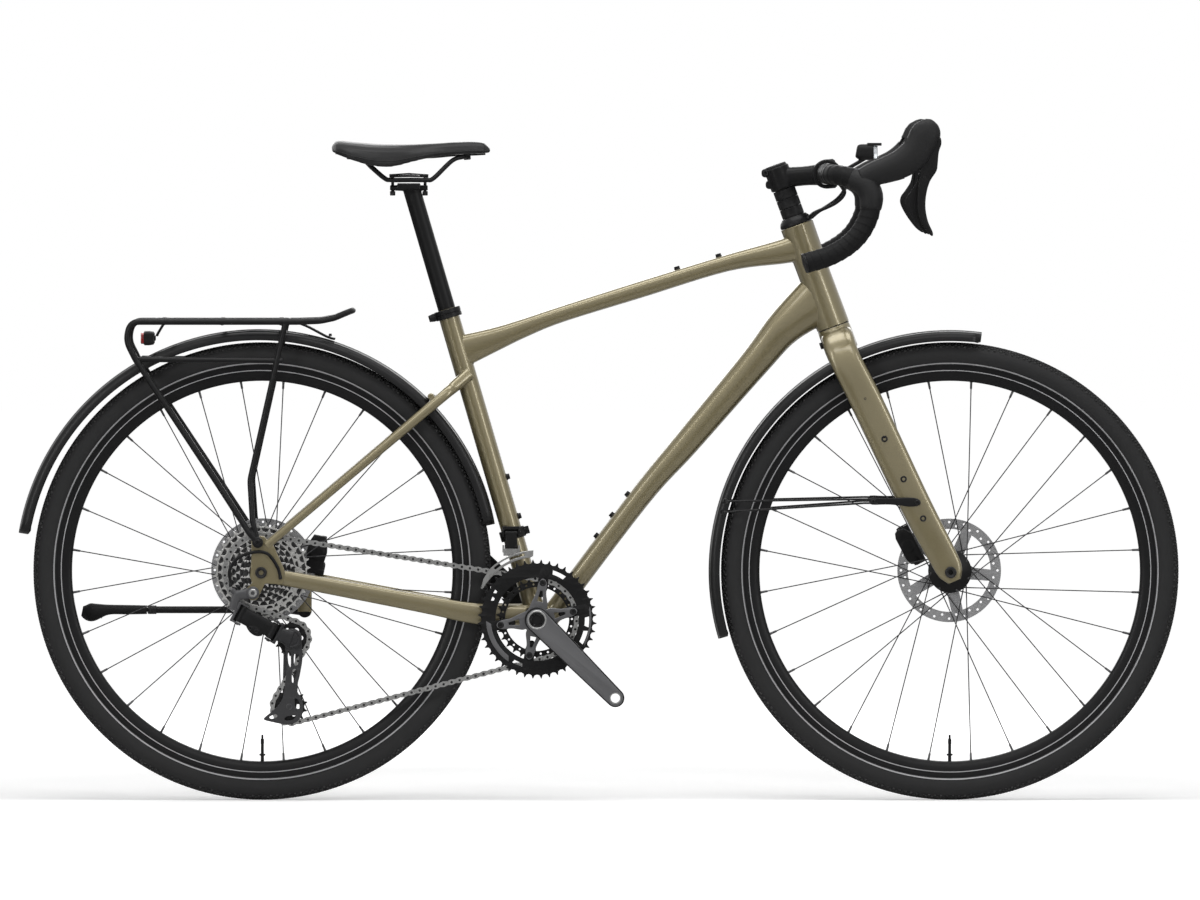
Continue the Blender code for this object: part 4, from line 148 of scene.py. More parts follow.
REAR_AXLE = step(-520.8, 0, 352.5)
FRONT_AXLE = REAR_AXLE + FORWARD * 1058.9
BB = REAR_AXLE + step(423.5, 0, -72.4)
SEAT_AXIS = step(-math.cos(math.radians(73.7)), 0, math.sin(math.radians(73.7)))
SEAT_FORE = step(SEAT_AXIS.z, 0, -SEAT_AXIS.x)
SEAT_TOP = BB + SEAT_AXIS * 496
STEER_AXIS = step(-math.cos(math.radians(70.2)), 0, math.sin(math.radians(70.2)))
STEER_FORE = step(STEER_AXIS.z, 0, -STEER_AXIS.x)
FORK_LENGTH, FORK_RAKE = 415.3, 41.3
HEAD_BOTTOM = FRONT_AXLE - STEER_FORE * FORK_RAKE + STEER_AXIS * FORK_LENGTH
HEAD_TOP = HEAD_BOTTOM + STEER_AXIS * 166
STAY_MIDDLE, STAY_PLATE = 75.05, 7.5


def shader_group(name, inputs, outputs):
    """A new shader node group with named number and colour sockets; returns it with its two ends."""
    group = bpy.data.node_groups.new(name, "ShaderNodeTree")
    for label, value in inputs.items():
        kind = "NodeSocketColor" if isinstance(value, tuple) else "NodeSocketFloat"
        group.interface.new_socket(label, in_out="INPUT", socket_type=kind).default_value = value
    for label in outputs:
        kind = "NodeSocketColor" if label == "Color" else "NodeSocketFloat"
        group.interface.new_socket(label, in_out="OUTPUT", socket_type=kind)
    return group, group.nodes.new("NodeGroupInput").outputs, group.nodes.new("NodeGroupOutput").inputs


def place(tree, group, **values):
    """Places a node group in a material with its own values."""
    node = tree.nodes.new("ShaderNodeGroup")
    node.node_tree = group
    for label, value in values.items():
        socket = node.inputs[label.replace("_", " ")]
        if isinstance(value, bpy.types.NodeSocket):
            tree.links.new(value, socket)
        else:
            socket.default_value = value
    return node.outputs


# Handled surface: patchy sheen at hand scale over a fine grain
handled, given, made = shader_group("handled_surface", {"Color": (0.5, 0.5, 0.5, 1), "Roughness": 0.4,
                                                        "Patchiness": 0.05, "Tone": 0.06, "Grain Size": 900.0,
                                                        "Grain": 0.3}, ["Color", "Roughness", "Height"])
spot = add(handled, "TexCoord").outputs["Object"]
patches = add(handled, "TexNoise", Vector=spot, Scale=38.0, Detail=4.0, Roughness=0.6).outputs["Fac"]
grains = add(handled, "TexNoise", Vector=spot, Scale=given["Grain Size"], Detail=3.0).outputs["Fac"]
centred = add(handled, "Math", patches, 0.5, how={"operation": "SUBTRACT"}).outputs[0]
sheen = add(handled, "Math", centred, given["Patchiness"], given["Roughness"],
            how={"operation": "MULTIPLY_ADD"})
handled.links.new(sheen.outputs[0], made["Roughness"])
shade = add(handled, "Math", centred, given["Tone"], 1.0, how={"operation": "MULTIPLY_ADD"}).outputs[0]
toned = add(handled, "VectorMath", given["Color"], how={"operation": "SCALE"})
handled.links.new(shade, toned.inputs["Scale"])
handled.links.new(toned.outputs[0], made["Color"])
handled.links.new(add(handled, "Math", grains, given["Grain"], how={"operation": "MULTIPLY"}).outputs[0],
                  made["Height"])

# Rubbed edges: where corners stand out, a lighter colour comes through in broken strokes
rubbed, given, made = shader_group("rubbed_edges",
                                   {"Color": (0.1, 0.1, 0.1, 1), "Bare Color": (0.4, 0.4, 0.4, 1),
                                    "Amount": 0.3}, ["Color", "Mask"])
corner = add(rubbed, "NewGeometry").outputs["Pointiness"]
ridge = add(rubbed, "MapRange", corner, 0.53, 0.6, 0.0, 1.0).outputs[0]
spot = add(rubbed, "TexCoord").outputs["Object"]
strokes = add(rubbed, "TexNoise", Vector=spot, Scale=160.0, Detail=5.0, Roughness=0.7).outputs["Fac"]
broken = add(rubbed, "MapRange", strokes, 0.42, 0.66, 0.0, 1.0).outputs[0]
worn = add(rubbed, "Math", ridge, broken, how={"operation": "MULTIPLY"}).outputs[0]
worn = add(rubbed, "Math", worn, given["Amount"], how={"operation": "MULTIPLY"}).outputs[0]
rubbed.links.new(worn, made["Mask"])
shown = add(rubbed, "Mix", worn, how={"data_type": "RGBA"})
rubbed.links.new(given["Color"], shown.inputs[6])
rubbed.links.new(given["Bare Color"], shown.inputs[7])
rubbed.links.new(shown.outputs[2], made["Color"])


def new_material(name):
    """A new material with its node tree and its shader."""
    material = bpy.data.materials.new(name)
    material.use_nodes = True
    return material, material.node_tree, material.node_tree.nodes["Principled BSDF"]


def dressed(tree, shader, skin, height, strength, distance, **values):
    """Links a handled skin and a relief to the shader, and sets the shader's plain values."""
    tree.links.new(skin["Color"], shader.inputs["Base Color"])
    tree.links.new(skin["Roughness"], shader.inputs["Roughness"])
    relief = add(tree, "Bump", Strength=strength, Distance=distance, Height=height)
    tree.links.new(relief.outputs[0], shader.inputs["Normal"])
    for label, value in values.items():
        shader.inputs[label.replace("_", " ")].default_value = value


def coated(name, colour, roughness, metallic=0.0, grain=0.5, grain_size=900.0, patchiness=0.1, tone=0.2,
           bump=0.012, bare=None, rub=0.3, specular=0.13):
    """A material on the handled surface, with rubbed edges where a bare grey is given."""
    material, tree, shader = new_material(name)
    base = (*colour, 1)
    if bare:
        base = place(tree, rubbed, Color=base, Bare_Color=(bare, bare, bare, 1), Amount=rub)["Color"]
    skin = place(tree, handled, Color=base, Roughness=roughness, Patchiness=patchiness, Tone=tone,
                 Grain_Size=grain_size, Grain=grain)
    dressed(tree, shader, skin, skin["Height"], 0.6, bump * 0.01, Metallic=metallic,
            Specular_IOR_Level=specular)
    return material


# Lacquer: flakes of two tones deep in the colour, orange peel on the clear coat
lacquer, tree, shader = new_material("olive_gold_lacquer")
spot = add(tree, "TexCoord").outputs["Object"]
flakes = add(tree, "TexVoronoi", Vector=spot, Scale=3600.0).outputs["Color"]
flake_tone = add(tree, "SeparateColor", flakes).outputs[0]
flake_mix = add(tree, "Mix", flake_tone, how={"data_type": "RGBA"})
flake_mix.inputs[6].default_value = (0.17, 0.143, 0.074, 1)
flake_mix.inputs[7].default_value = (0.205, 0.174, 0.094, 1)
skin = place(tree, handled, Color=flake_mix.outputs[2], Roughness=0.3, Patchiness=0.05, Tone=0.06,
             Grain_Size=140.0, Grain=0.35)
dressed(tree, shader, skin, skin["Height"], 0.04, 0.0002, Metallic=0.45, Coat_Weight=0.6, Coat_Roughness=0.13)


def carried(points, hint):
    """Cross directions along a path, carried without twist: point, across, other."""
    result, across, last = [], hint, len(points) - 1
    for i, here in enumerate(points):
        run = (points[min(i + 1, last)] - points[max(i - 1, 0)]).normalized()
        across = (across - run * across.dot(run)).normalized()
        result.append((here, across, run.cross(across)))
    return result


def eased(points, per_span):
    """Points, or tuples of sizes, on a smooth curve through the given ones."""
    given_points = [Vector(p) for p in points]
    result, last = [], len(given_points) - 1
    for i in range(last):
        before, start = given_points[max(i - 1, 0)], given_points[i]
        end, after = given_points[i + 1], given_points[min(i + 2, last)]
        for k in range(per_span):
            t = k / per_span
            value = 2 * start + (end - before) * t + (2 * before - 5 * start + 4 * end - after) * t ** 2
            result.append((value + (3 * start - before - 3 * end + after) * t ** 3) / 2)
    return result + [given_points[last]]


def oval(frame_here, wide, deep, sides, squareness=1.0):
    """One ring of points; squareness under 1 flattens its four faces."""
    centre, across, other = frame_here
    ring = []
    for k in range(sides):
        turn = 2 * math.pi * (k + 0.5) / sides
        c, s = math.cos(turn), math.sin(turn)
        ring.append(centre + across * (wide * math.copysign(abs(c) ** squareness, c))
                    + other * (deep * math.copysign(abs(s) ** squareness, s)))
    return ring


def walls(bm, rings, loop=False):
    """Joins rings into walls, and closes the ends unless the rings run round."""
    rows = [[bm.verts.new(p) for p in ring] for ring in rings]
    for first, second in list(zip(rows, rows[1:])) + ([(rows[-1], rows[0])] if loop else []):
        for k in range(len(first)):
            after = (k + 1) % len(first)
            bm.faces.new((first[k], first[after], second[after], second[k]))
    if not loop:
        bm.faces.new(rows[0])
        bm.faces.new(rows[-1])


def made_mesh(name, bm, sharp=35):
    """Turns a bmesh into a smooth-shaded object that keeps its sharp edges."""
    bmesh.ops.recalc_face_normals(bm, faces=bm.faces)
    mesh = bpy.data.meshes.new(name)
    bm.to_mesh(mesh)
    mesh.transform(Matrix.Scale(0.001, 4))
    bm.free()
    mesh.shade_smooth()
    mesh.set_sharp_from_angle(angle=math.radians(sharp))
    obj = bpy.data.objects.new(name, mesh)
    bpy.context.collection.objects.link(obj)
    return obj


def bar(bm, points, sizes, sides=24, hint=SIDE, squareness=1.0):
    """Adds a bar along points; sizes is one radius or a (wide, deep) pair for each point."""
    if isinstance(sizes, (int, float)):
        sizes = [sizes] * len(points)
    sizes = [(s, s) if isinstance(s, (int, float)) else s for s in sizes]
    frames = carried(points, hint)
    walls(bm, [oval(f, s[0], s[1], sides, squareness) for f, s in zip(frames, sizes)])


def finish(obj, material, body, slot, *stands_for):
    """Gives a piece its material and its body, and hides the solids it stands for; slot is not used."""
    if material is not None:
        obj.data.materials.clear()
        obj.data.materials.append(material)
    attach(obj, body)
    if stands_for:
        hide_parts(*stands_for)
    return obj


def fitted(name, bm, *fixing):
    """Makes a piece with crisp edges and finishes it in one go."""
    finish(made_mesh(name, bm, 30), *fixing)


def applied(obj, sharp=35):
    """Applies a piece's modifiers, so that its final mesh is its own."""
    bpy.context.view_layer.update()
    graph = bpy.context.evaluated_depsgraph_get()
    mesh = bpy.data.meshes.new_from_object(obj.evaluated_get(graph), depsgraph=graph)
    obj.modifiers.clear()
    obj.data = mesh
    mesh.shade_smooth()
    mesh.set_sharp_from_angle(angle=math.radians(sharp))
    return obj


SETTLED = 0.0018  # in metres, as finished meshes are


def melted(obj, voxel, passes, sharp=50):
    """Fuses shapes into one skin softened at its joints, as welding does; elsewhere it keeps their faces."""
    remesh = obj.modifiers.new("fuse", "REMESH")
    remesh.mode, remesh.voxel_size = "VOXEL", voxel / 1000
    for k in range(passes):
        for factor in (0.6, -0.62):
            soften = obj.modifiers.new("soften", "SMOOTH")
            soften.factor, soften.iterations = factor, 2
    soften = obj.modifiers.new("settle", "SMOOTH")
    soften.factor, soften.iterations = 0.5, 2
    rolled = bmesh.new()
    rolled.from_mesh(obj.data)
    surface = BVHTree.FromBMesh(rolled)
    rolled.free()
    applied(obj, sharp)
    for vertex in obj.data.vertices:
        nearest, _, _, gap = surface.find_nearest(vertex.co)
        vertex.co = vertex.co.lerp(nearest, min(1.0, max(0.0, (SETTLED - gap) / SETTLED * 1.6)))
    obj.data.shade_smooth()
    obj.data.set_sharp_from_angle(angle=math.radians(sharp))
    return obj


def glossed(obj, source):
    """Shades a fused skin with the true curves of the shapes it was fused from, where it lies on them."""
    rolled = bmesh.new()
    rolled.from_mesh(source)
    rolled.faces.ensure_lookup_table()
    surface, normals = BVHTree.FromBMesh(rolled), []
    curved = [sum((face.normal for face in corner.link_faces if len(face.verts) == 4), Vector()).normalized()
              for corner in rolled.verts]
    for vertex in obj.data.vertices:
        nearest, _, index, gap = surface.find_nearest(vertex.co)
        face = rolled.faces[index]
        true = face.normal
        if len(face.verts) == 4:
            shares = poly_3d_calc([corner.co for corner in face.verts], nearest)
            true = sum((curved[corner.index] * share for corner, share in zip(face.verts, shares)),
                       Vector()).normalized()
        lies = min(1.0, max(0.0, (SETTLED - gap) / SETTLED * 1.6)) if true.dot(vertex.normal) > 0.85 else 0.0
        normals.append(vertex.normal.lerp(true, lies).normalized())
    rolled.free()
    obj.data.normals_split_custom_set_from_vertices(normals)
    return obj


def bowed(bm, start, end, stations, squareness=0.8, sides=96):
    """Adds a bowed tube between two points; each station is share, sag, half depth, half width."""
    run = end - start
    below = SIDE.cross(run).normalized()
    smooth = eased(stations, 6)
    points = [start + run * s[0] + below * s[1] for s in smooth]
    bar(bm, points, [(s[3], s[2]) for s in smooth], sides, SIDE, squareness)


DOWN_TUBE = [(0.011, 14.1, 16, 17), (0.364, -4.6, 16.8, 18.5), (0.535, -6.5, 20, 19.5),
             (0.78, -10, 23.5, 21.5), (0.89, -12, 28.5, 23), (1, 0, 40, 20)]
TOP_TUBE = [(0, 0, 25.5, 13), (0.1, -2.5, 18.5, 15), (0.19, -6, 14.3, 16), (0.3, -9.2, 12.3, 16.6),
            (0.526, -9.6, 12.8, 17), (0.778, -9.1, 12.8, 17.5), (0.937, -0.8, 19, 19), (1, 0, 23, 19)]
DOWN_END = HEAD_BOTTOM + STEER_AXIS * 50
TOP_START, TOP_END = SEAT_TOP - SEAT_AXIS * 69, HEAD_TOP - STEER_AXIS * 33
STAY_TOP = SEAT_TOP - SEAT_AXIS * 108
RACK_EYE = REAR_AXLE + step(-5, 0, 46.5)
BRIDGE_OUT = step(math.cos(math.radians(46)), 0, math.sin(math.radians(46)))
DROPOUT = [(34, -18), (36, 4), (20, 40), (4, 56), (-9, 57), (-15, 50), (-15, 20), (-17, -6), (-14, -16)]
HANGER_TAB = [(-22, -24), (-23, -36), (-15, -43), (-6, -41)]

bm = bmesh.new()
bar(bm, [HEAD_BOTTOM, HEAD_BOTTOM.lerp(HEAD_TOP, 0.5), HEAD_TOP], [25.8, 24.6, 25.8], 96)
bowed(bm, BB, DOWN_END, DOWN_TUBE, 0.8)
bowed(bm, TOP_START, TOP_END, TOP_TUBE, 0.62)
bar(bm, [BB, SEAT_TOP], 16, 96)
bar(bm, [BB - SIDE * 36.5, BB + SIDE * 36.5], 23.5, 64, FORWARD)
for side in (-1, 1):
    chain_stay = [BB + step(-14, side * 28, 4), BB + step(-93, side * 34.5, 8),
                  BB + step(-179, side * 45, 24), REAR_AXLE + step(65, side * 65, -14),
                  REAR_AXLE + step(26, side * STAY_MIDDLE, -7.5)]
    chain_sizes = [(8.5, 17.2), (6.2, 16), (7, 13.8), (6.6, 12), (3.8, 11.5)]
    bar(bm, eased(chain_stay, 6), eased(chain_sizes, 6), 72, SIDE, 0.72)
    low = RACK_EYE + step(12, side * STAY_MIDDLE, -6)
    knee = REAR_AXLE + step(270, side * 38.5, 262.5)
    high = STAY_TOP + step(4, side * 10, 4)
    seat_stay = [low, low.lerp(knee, 0.5) + SIDE * side * 3, knee, knee.lerp(high, 0.5), high]
    seat_sizes = [(5.5, 6.5), (6.5, 7), (7, 8), (8, 9), (8.5, 10)]
    bar(bm, eased(seat_stay, 6), eased(seat_sizes, 6), 48, SIDE, 0.8)
    outline = DROPOUT + (HANGER_TAB if side < 0 else []) + [(6, -17)]
    face = STAY_MIDDLE - STAY_PLATE / 2
    walls(bm, [[REAR_AXLE + step(x, side * y, z) for x, z in outline] for y in (face, face + STAY_PLATE)])
bridge = REAR_AXLE + BRIDGE_OUT * 374.6
bar(bm, [bridge - SIDE * 36, bridge + SIDE * 36], 5.2, 20, FORWARD)
bar(bm, [REAR_AXLE + step(64, 64, -16), REAR_AXLE + step(64, 64, -50), REAR_AXLE + step(64, 61.8, -65)],
    [(3, 11)] * 3, 20, SIDE, 0.6)
painted_frame = made_mesh("painted_frame", bm)
tubes = painted_frame.data
glossed(melted(painted_frame, 1.6, 3), tubes)
finish(painted_frame, lacquer, "main_frame", "paint", "frame")


# Frame bolts: black steel screws on thin washers, which close the threaded bosses on the down
# tube, the seat tube and the top tube.
def spun(bm, centre, axis, profile, sides=32, hollow=False):
    """Turns a profile of (radius, distance along the axis) pairs, closed on itself if hollow."""
    axis = axis.normalized()
    across = axis.orthogonal().normalized()
    other = axis.cross(across)
    rings = []
    for radius, along in profile:
        turns = [2 * math.pi * k / sides for k in range(sides)]
        rings.append([centre + axis * along + (across * math.cos(t) + other * math.sin(t)) * radius
                      for t in turns])
    walls(bm, rings, hollow)


def screw(bm, foot, out, radius=4.4, height=4.8):
    """A socket screw head on a thin washer."""
    spun(bm, foot, out, [(radius * 1.18, -2), (radius * 1.22, 0.6), (radius * 1.18, 0.9), (radius, 1.1),
                         (radius, height * 0.86), (radius * 0.9, height), (radius * 0.56, height),
                         (radius * 0.5, height * 0.92), (radius * 0.5, height * 0.45)], 18)


def tube_face(start, end, stations, share):
    """The point on a bowed tube's outer face at a share of its length, and the way out there."""
    for first, second in zip(stations, stations[1:]):
        if first[0] <= share <= second[0]:
            along = (share - first[0]) / (second[0] - first[0])
            sag = first[1] + (second[1] - first[1]) * along
            deep = first[2] + (second[2] - first[2]) * along
    out = (end - start).cross(SIDE).normalized()
    return start + (end - start) * share + out * (deep - sag), out


blackened = coated("blackened_steel", (0.01, 0.01, 0.0105), 0.34, grain=0.2, patchiness=0.12, tone=0.08,
                   bump=0.01, bare=0.16, rub=0.5, specular=0.14)
SIDE_FACE = 78.8
bm = bmesh.new()
for share in (0.235, 0.295, 0.355):
    screw(bm, *tube_face(BB, DOWN_END, DOWN_TUBE, share))
for share in (0.645, 0.765):
    screw(bm, *tube_face(TOP_START, TOP_END, TOP_TUBE, share))
for along in (159, 222):
    screw(bm, BB + SEAT_AXIS * along + SEAT_FORE * 16, SEAT_FORE)
fitted("frame_screws", bm, blackened, "main_frame", "satin_black")


# Seat collar: a split aluminium band round the top of the seat tube, drawn tight behind it by one
# screw through two ears.
satin = coated("satin_black_alloy", (0.008, 0.008, 0.0083), 0.36, grain=0.45, grain_size=1400.0,
               patchiness=0.08, bare=0.1, rub=0.25)
bm = bmesh.new()
low, high = SEAT_TOP - SEAT_AXIS * 14.3, SEAT_TOP - SEAT_AXIS * 0.3
spun(bm, low, SEAT_AXIS, [(16.3, 0), (19.8, 0), (20.5, 0.8), (20.5, 6.2), (19.9, 6.6), (19.9, 7.4),
                          (20.5, 7.8), (20.5, 13.2), (19.8, 14), (16.3, 14)], 64, True)
back = -SEAT_FORE
ear = low.lerp(high, 0.5) + back * 24.5
for side in (-1, 1):
    face = ear + SIDE * side * 4.2
    bar(bm, [face - back * 7, face - back, face + back * 6.2], [(3.4, 6.2)] * 2 + [(3.4, 4.8)], 24, SIDE, 0.4)
spun(bm, ear - SIDE * 10.8, SIDE,
     [(3, 0), (4.2, 0.6), (4.2, 4), (2.6, 4.2), (2.6, 17), (4.2, 17.2), (4.2, 21), (3, 21.6)], 20)
fitted("collar_band", bm, satin, "main_frame", "satin_black", "seat_collar")


# Bottom bracket: two black cups screwed into the shell's ends, notched for their tool, with the
# bearing seal inside each.
bm = bmesh.new()
for side in (-1, 1):
    face = BB + SIDE * side * 36.8
    spun(bm, face, SIDE * side, [(13, 0), (21.2, 0), (21.5, 0.4), (21.5, 4), (20.9, 4.5), (17.5, 4.5),
                                 (17.2, 3.8), (13, 3.8)], 48, True)
    for k in range(16):
        turn = 2 * math.pi * k / 16
        out = step(math.cos(turn), 0, math.sin(turn))
        foot = face + out * 21.3
        bar(bm, [foot + SIDE * side * 0.6, foot + SIDE * side * 4], 1.1, 8, out)
fitted("bearing_cups", bm, satin, "main_frame", "satin_black", "bottom_bracket")


# Fork: an aluminium crown welded to two broad flat-faced blades, painted with the frame, and the
# steel steerer that runs up to the stem.
def capped(bm, start, end, radius, sides=32, edge=0.6):
    """A round bar with softened ends."""
    run = (end - start).length
    spun(bm, start, end - start,
         [(radius - edge, 0), (radius, edge), (radius, run - edge), (radius - edge, run)], sides)


def carved(obj, *shapes):
    """Takes shapes out of a piece, with the shapes thrown away afterwards."""
    for number, shape in enumerate(shapes):
        tool = made_mesh(f"{obj.name}_tool_{number}", shape)
        cutter = obj.modifiers.new("carve", "BOOLEAN")
        cutter.operation, cutter.object, cutter.solver = "DIFFERENCE", tool, "EXACT"
    tools = [m.object for m in obj.modifiers]
    applied(obj, 40)
    for tool in tools:
        bpy.data.objects.remove(tool, do_unlink=True)
    return obj


LEG_OUT = 57.3
LEGS = [(22, 0, 0, 25, 18.5), (24, 0, 25, 25, 16.5), (54, 0, 42.5, 24, 11.8), (134, 9.6, 47.5, 24.5, 10.4),
        (294, 25.4, 55, 23.6, 9.8), (390, 38.5, LEG_OUT, 21.8, 7.2), (415.3, 41.3, LEG_OUT, 19, 7),
        (430.3, 42.3, LEG_OUT, 10.5, 7)]


def leg_point(station, side):
    """A point on a blade's middle line."""
    return HEAD_BOTTOM - STEER_AXIS * station[0] + STEER_FORE * station[1] + SIDE * (side * station[2])


def leg_face(down, side):
    """A point on a blade's outer face."""
    for first, second in zip(LEGS[2:], LEGS[3:]):
        if first[0] <= down <= second[0]:
            share = (down - first[0]) / (second[0] - first[0])
            thick = first[4] + (second[4] - first[4]) * share
            return leg_point(first, side).lerp(leg_point(second, side), share) + SIDE * (side * thick)


bm = bmesh.new()
capped(bm, HEAD_BOTTOM - STEER_AXIS * 40, HEAD_BOTTOM - STEER_AXIS * 0.6, 25.6, 64)
for side in (-1, 1):
    bar(bm, eased([leg_point(s, side) for s in LEGS], 8), eased([(s[3], s[4]) for s in LEGS], 8), 80,
        STEER_FORE, 0.62)
blades = made_mesh("fork_blades", bm)
shells = blades.data
melted(blades, 1.5, 3)
room, hole = bmesh.new(), bmesh.new()
spun(room, FRONT_AXLE - SIDE * 29, SIDE, [(372.2, 0), (372.2, 58)], 160)
spun(hole, FRONT_AXLE - SIDE * 100, SIDE, [(6.3, 0), (6.3, 200)], 32)
finish(glossed(carved(blades, room, hole), shells), lacquer, "steering", "paint", "fork")
bm = bmesh.new()
capped(bm, HEAD_BOTTOM - STEER_AXIS * 10, HEAD_TOP + STEER_AXIS * 93.5, 14.3, 40)
spun(bm, HEAD_BOTTOM - STEER_AXIS * 1.6, STEER_AXIS, [(20, 0), (25.2, 0.2), (25.4, 1.2), (20, 1.4)], 48)
for side in (-1, 1):
    for down in (188, 256, 323):
        screw(bm, leg_face(down, side) - SIDE * side * 1.2, SIDE * side, 5, 3)
    screw(bm, leg_face(120, side) - SIDE * side * 3, SIDE * side, 2, 3.4)
back_face = HEAD_BOTTOM - STEER_AXIS * 22 - STEER_FORE * 23.5
screw(bm, back_face, -STEER_FORE, 5.2, 6)
fitted("steerer_and_fork_screws", bm, blackened, "steering", "satin_black")


# Wheels: eyeletted double-wall rims, anodised black, laced over three crossings with 28 round
# spokes to hubs that carry the brake discs, and gravel tyres with a light strip on each wall; a
# light grey ring at each rim's edge is a painted highlight.
def direction(angle):
    """The way out from a sideways axis, counted from forward towards up."""
    return step(math.cos(angle), 0, math.sin(angle))


def ringed(bm, centre, profile, sides=192):
    """A closed outline of (radius, y) pairs turned round a wheel's axle."""
    spun(bm, centre, SIDE, profile, sides, True)


def both_sides(half):
    """A half outline joined to its mirror image, from the right side to the left."""
    return [(r, -y) for r, y in half] + [(r, y) for r, y in half[::-1]]


anodised = coated("anodised_rim", (0.0085, 0.0085, 0.009), 0.32, grain_size=1800.0, bump=0.008, specular=0.14)
rubber = coated("tread_rubber", (0.028, 0.028, 0.0285), 0.74, grain=0.8, grain_size=700.0, patchiness=0.22,
                tone=0.35, bump=0.05, bare=0.095, rub=0.6, specular=0.12)
# Light grey for the tyre's reflective strip, and for the painted highlight ring at each rim's edge.
strip_and_rim_highlight = coated("light_strip", (0.4, 0.4, 0.41), 0.45, grain=0.6, grain_size=2200.0, patchiness=0.08,
                   tone=0.15, bump=0.01, specular=0.4)
spoke_steel = coated("black_stainless", (0.03, 0.03, 0.032), 0.3, metallic=0.5, grain=0.2, bump=0.005,
                     bare=0.3, specular=0.5)
RIM_HALF = [(293, 5.2), (293.4, 6.8), (295, 8.4), (299, 10.2), (305, 11.6), (312, 12.3), (316.4, 12.5),
            (317, 12.1), (316.6, 11.4), (312, 11), (309.2, 10), (308.5, 8)]
CASING_HALF = [(308.8, 9.4), (314, 10.6), (317.4, 11.9), (320.5, 15.2), (325, 18.6), (330.5, 20.4),
               (335, 20.7), (339.5, 19.8), (344, 17.4), (347.8, 13), (350, 7), (350.7, 2.2)]
KNOB_ROWS = (0.0, 3.4, 6.8, 10.1, 13.2, 15.8)
KNOBS_ROUND = 236
SPOKES, SPOKE_LEAD = 28, math.radians(52)


def crown_radius(y):
    """The casing's radius under the tread, y off the middle."""
    for (high, near), (low, far) in zip(CASING_HALF[::-1], CASING_HALF[-2::-1]):
        if near <= abs(y) <= far:
            return high + (low - high) * (abs(y) - near) / (far - near)
    return CASING_HALF[-1][0]


def tread(centre):
    """Small raised blocks in staggered rows round a casing's crown."""
    points, faces = [], []
    rows = [y * s for y in KNOB_ROWS for s in ((1, -1) if y else (1,))]
    for row, y in enumerate(rows):
        lean = y / 20
        height = 1.8 if abs(y) < 14 else 2.2
        across, along = 1.15 + abs(y) * 0.02, 2.6 - abs(y) * 0.03
        stagger = 0.5 * (round(abs(y) / 3.3) % 2)
        for k in range(KNOBS_ROUND):
            turn = 2 * math.pi * (k + stagger) / KNOBS_ROUND
            out, round_way = direction(turn), direction(turn + math.pi / 2)
            rise = out * math.cos(lean) + SIDE * math.sin(lean)
            wide = SIDE * math.cos(lean) - out * math.sin(lean)
            root = centre + out * crown_radius(y) + SIDE * y
            first = len(points)
            for lift, share in ((-0.6, 1.25), (height, 0.8)):
                for a, b in ((1, 0), (0, 1), (-1, 0), (0, -1)):
                    a, b = a + b * 0.55, b - a * 0.55
                    points.append(root + rise * lift + round_way * (a * along * share)
                                  + wide * (b * across * share * 1.15))
            faces += [[first + i, first + (i + 1) % 4, first + 4 + (i + 1) % 4, first + 4 + i]
                      for i in range(4)]
            faces.append([first + 4, first + 5, first + 6, first + 7])
    mesh = bpy.data.meshes.new("tread_blocks")
    mesh.from_pydata(points, [], faces)
    return mesh


def laid_wheel(name, axle, flanges, flange_radius, hub_profile):
    """One wheel's pieces, each riding on the wheel's body."""
    body = f"{name}_wheel"
    bm = bmesh.new()
    ringed(bm, axle, both_sides(RIM_HALF))
    valve = axle - UP * 288.5
    spun(bm, valve, UP, [(0.6, 36.5), (1.6, 36.2), (1.7, 30), (2.7, 29.6), (2.7, 22.5), (2.4, 22), (2.4, 7),
                         (4.6, 6.8), (4.6, 4.2), (2.6, 4), (2.6, -6)], 20)
    fitted(f"{name}_rim_hoop", bm, anodised, body, "wheel_black", f"{name}_rim")
    bm = bmesh.new()
    ringed(bm, axle, both_sides(eased(CASING_HALF, 3)))
    bm.from_mesh(tread(axle))
    finish(made_mesh(f"{name}_gravel_tyre", bm, 40), rubber, body, "tyre", f"{name}_tyre")
    bm = bmesh.new()
    for side in (-1, 1):
        ringed(bm, axle,
               [(319.3, side * 13.6), (319.3, side * 14.8), (321.2, side * 16.6), (321.2, side * 15.4)])
        # The ring above is the tyre's reflective strip; this light grey ring at the rim's edge is a painted
        # highlight.
        ringed(bm, axle,
               [(308.6, side * 11.7), (308.6, side * 12.3), (309.9, side * 12.5), (309.9, side * 11.7)])
    fitted(f"{name}_light_strip", bm, strip_and_rim_highlight, body, "tyre")
    bm = bmesh.new()
    for k in range(SPOKES):
        flange = flanges[0] if k % 2 else flanges[1]
        lead = 1 if k % 4 < 2 else -1
        angle = math.pi * (2 * k + 1) / SPOKES
        foot = axle + direction(angle + lead * SPOKE_LEAD) * (flange_radius - 3)
        foot.y = flange + lead * 1.6
        tip = axle + direction(angle) * 293
        tip.y = math.copysign(2, flange)
        run = (tip - foot).normalized()
        bar(bm, [foot, foot + run * 16, foot + run * 30, tip - run * 30, tip], (1.05, 1.05, 0.9, 0.9, 1.05),
            8)
        spun(bm, tip, -run, [(2.2, -1), (2.1, 0.4), (1.8, 2), (1.7, 10), (1.1, 11.2)], 8)
        spun(bm, foot - SIDE * lead, SIDE * lead, [(1.6, 0), (1.6, 2.2), (0.8, 2.8)], 8)
    fitted(f"{name}_spokes", bm, spoke_steel, body, "wheel_black")
    bm = bmesh.new()
    ringed(bm, axle, hub_profile, 72)
    fitted(f"{name}_hub_shell", bm, satin, body, "wheel_black", f"{name}_hub_and_spokes")


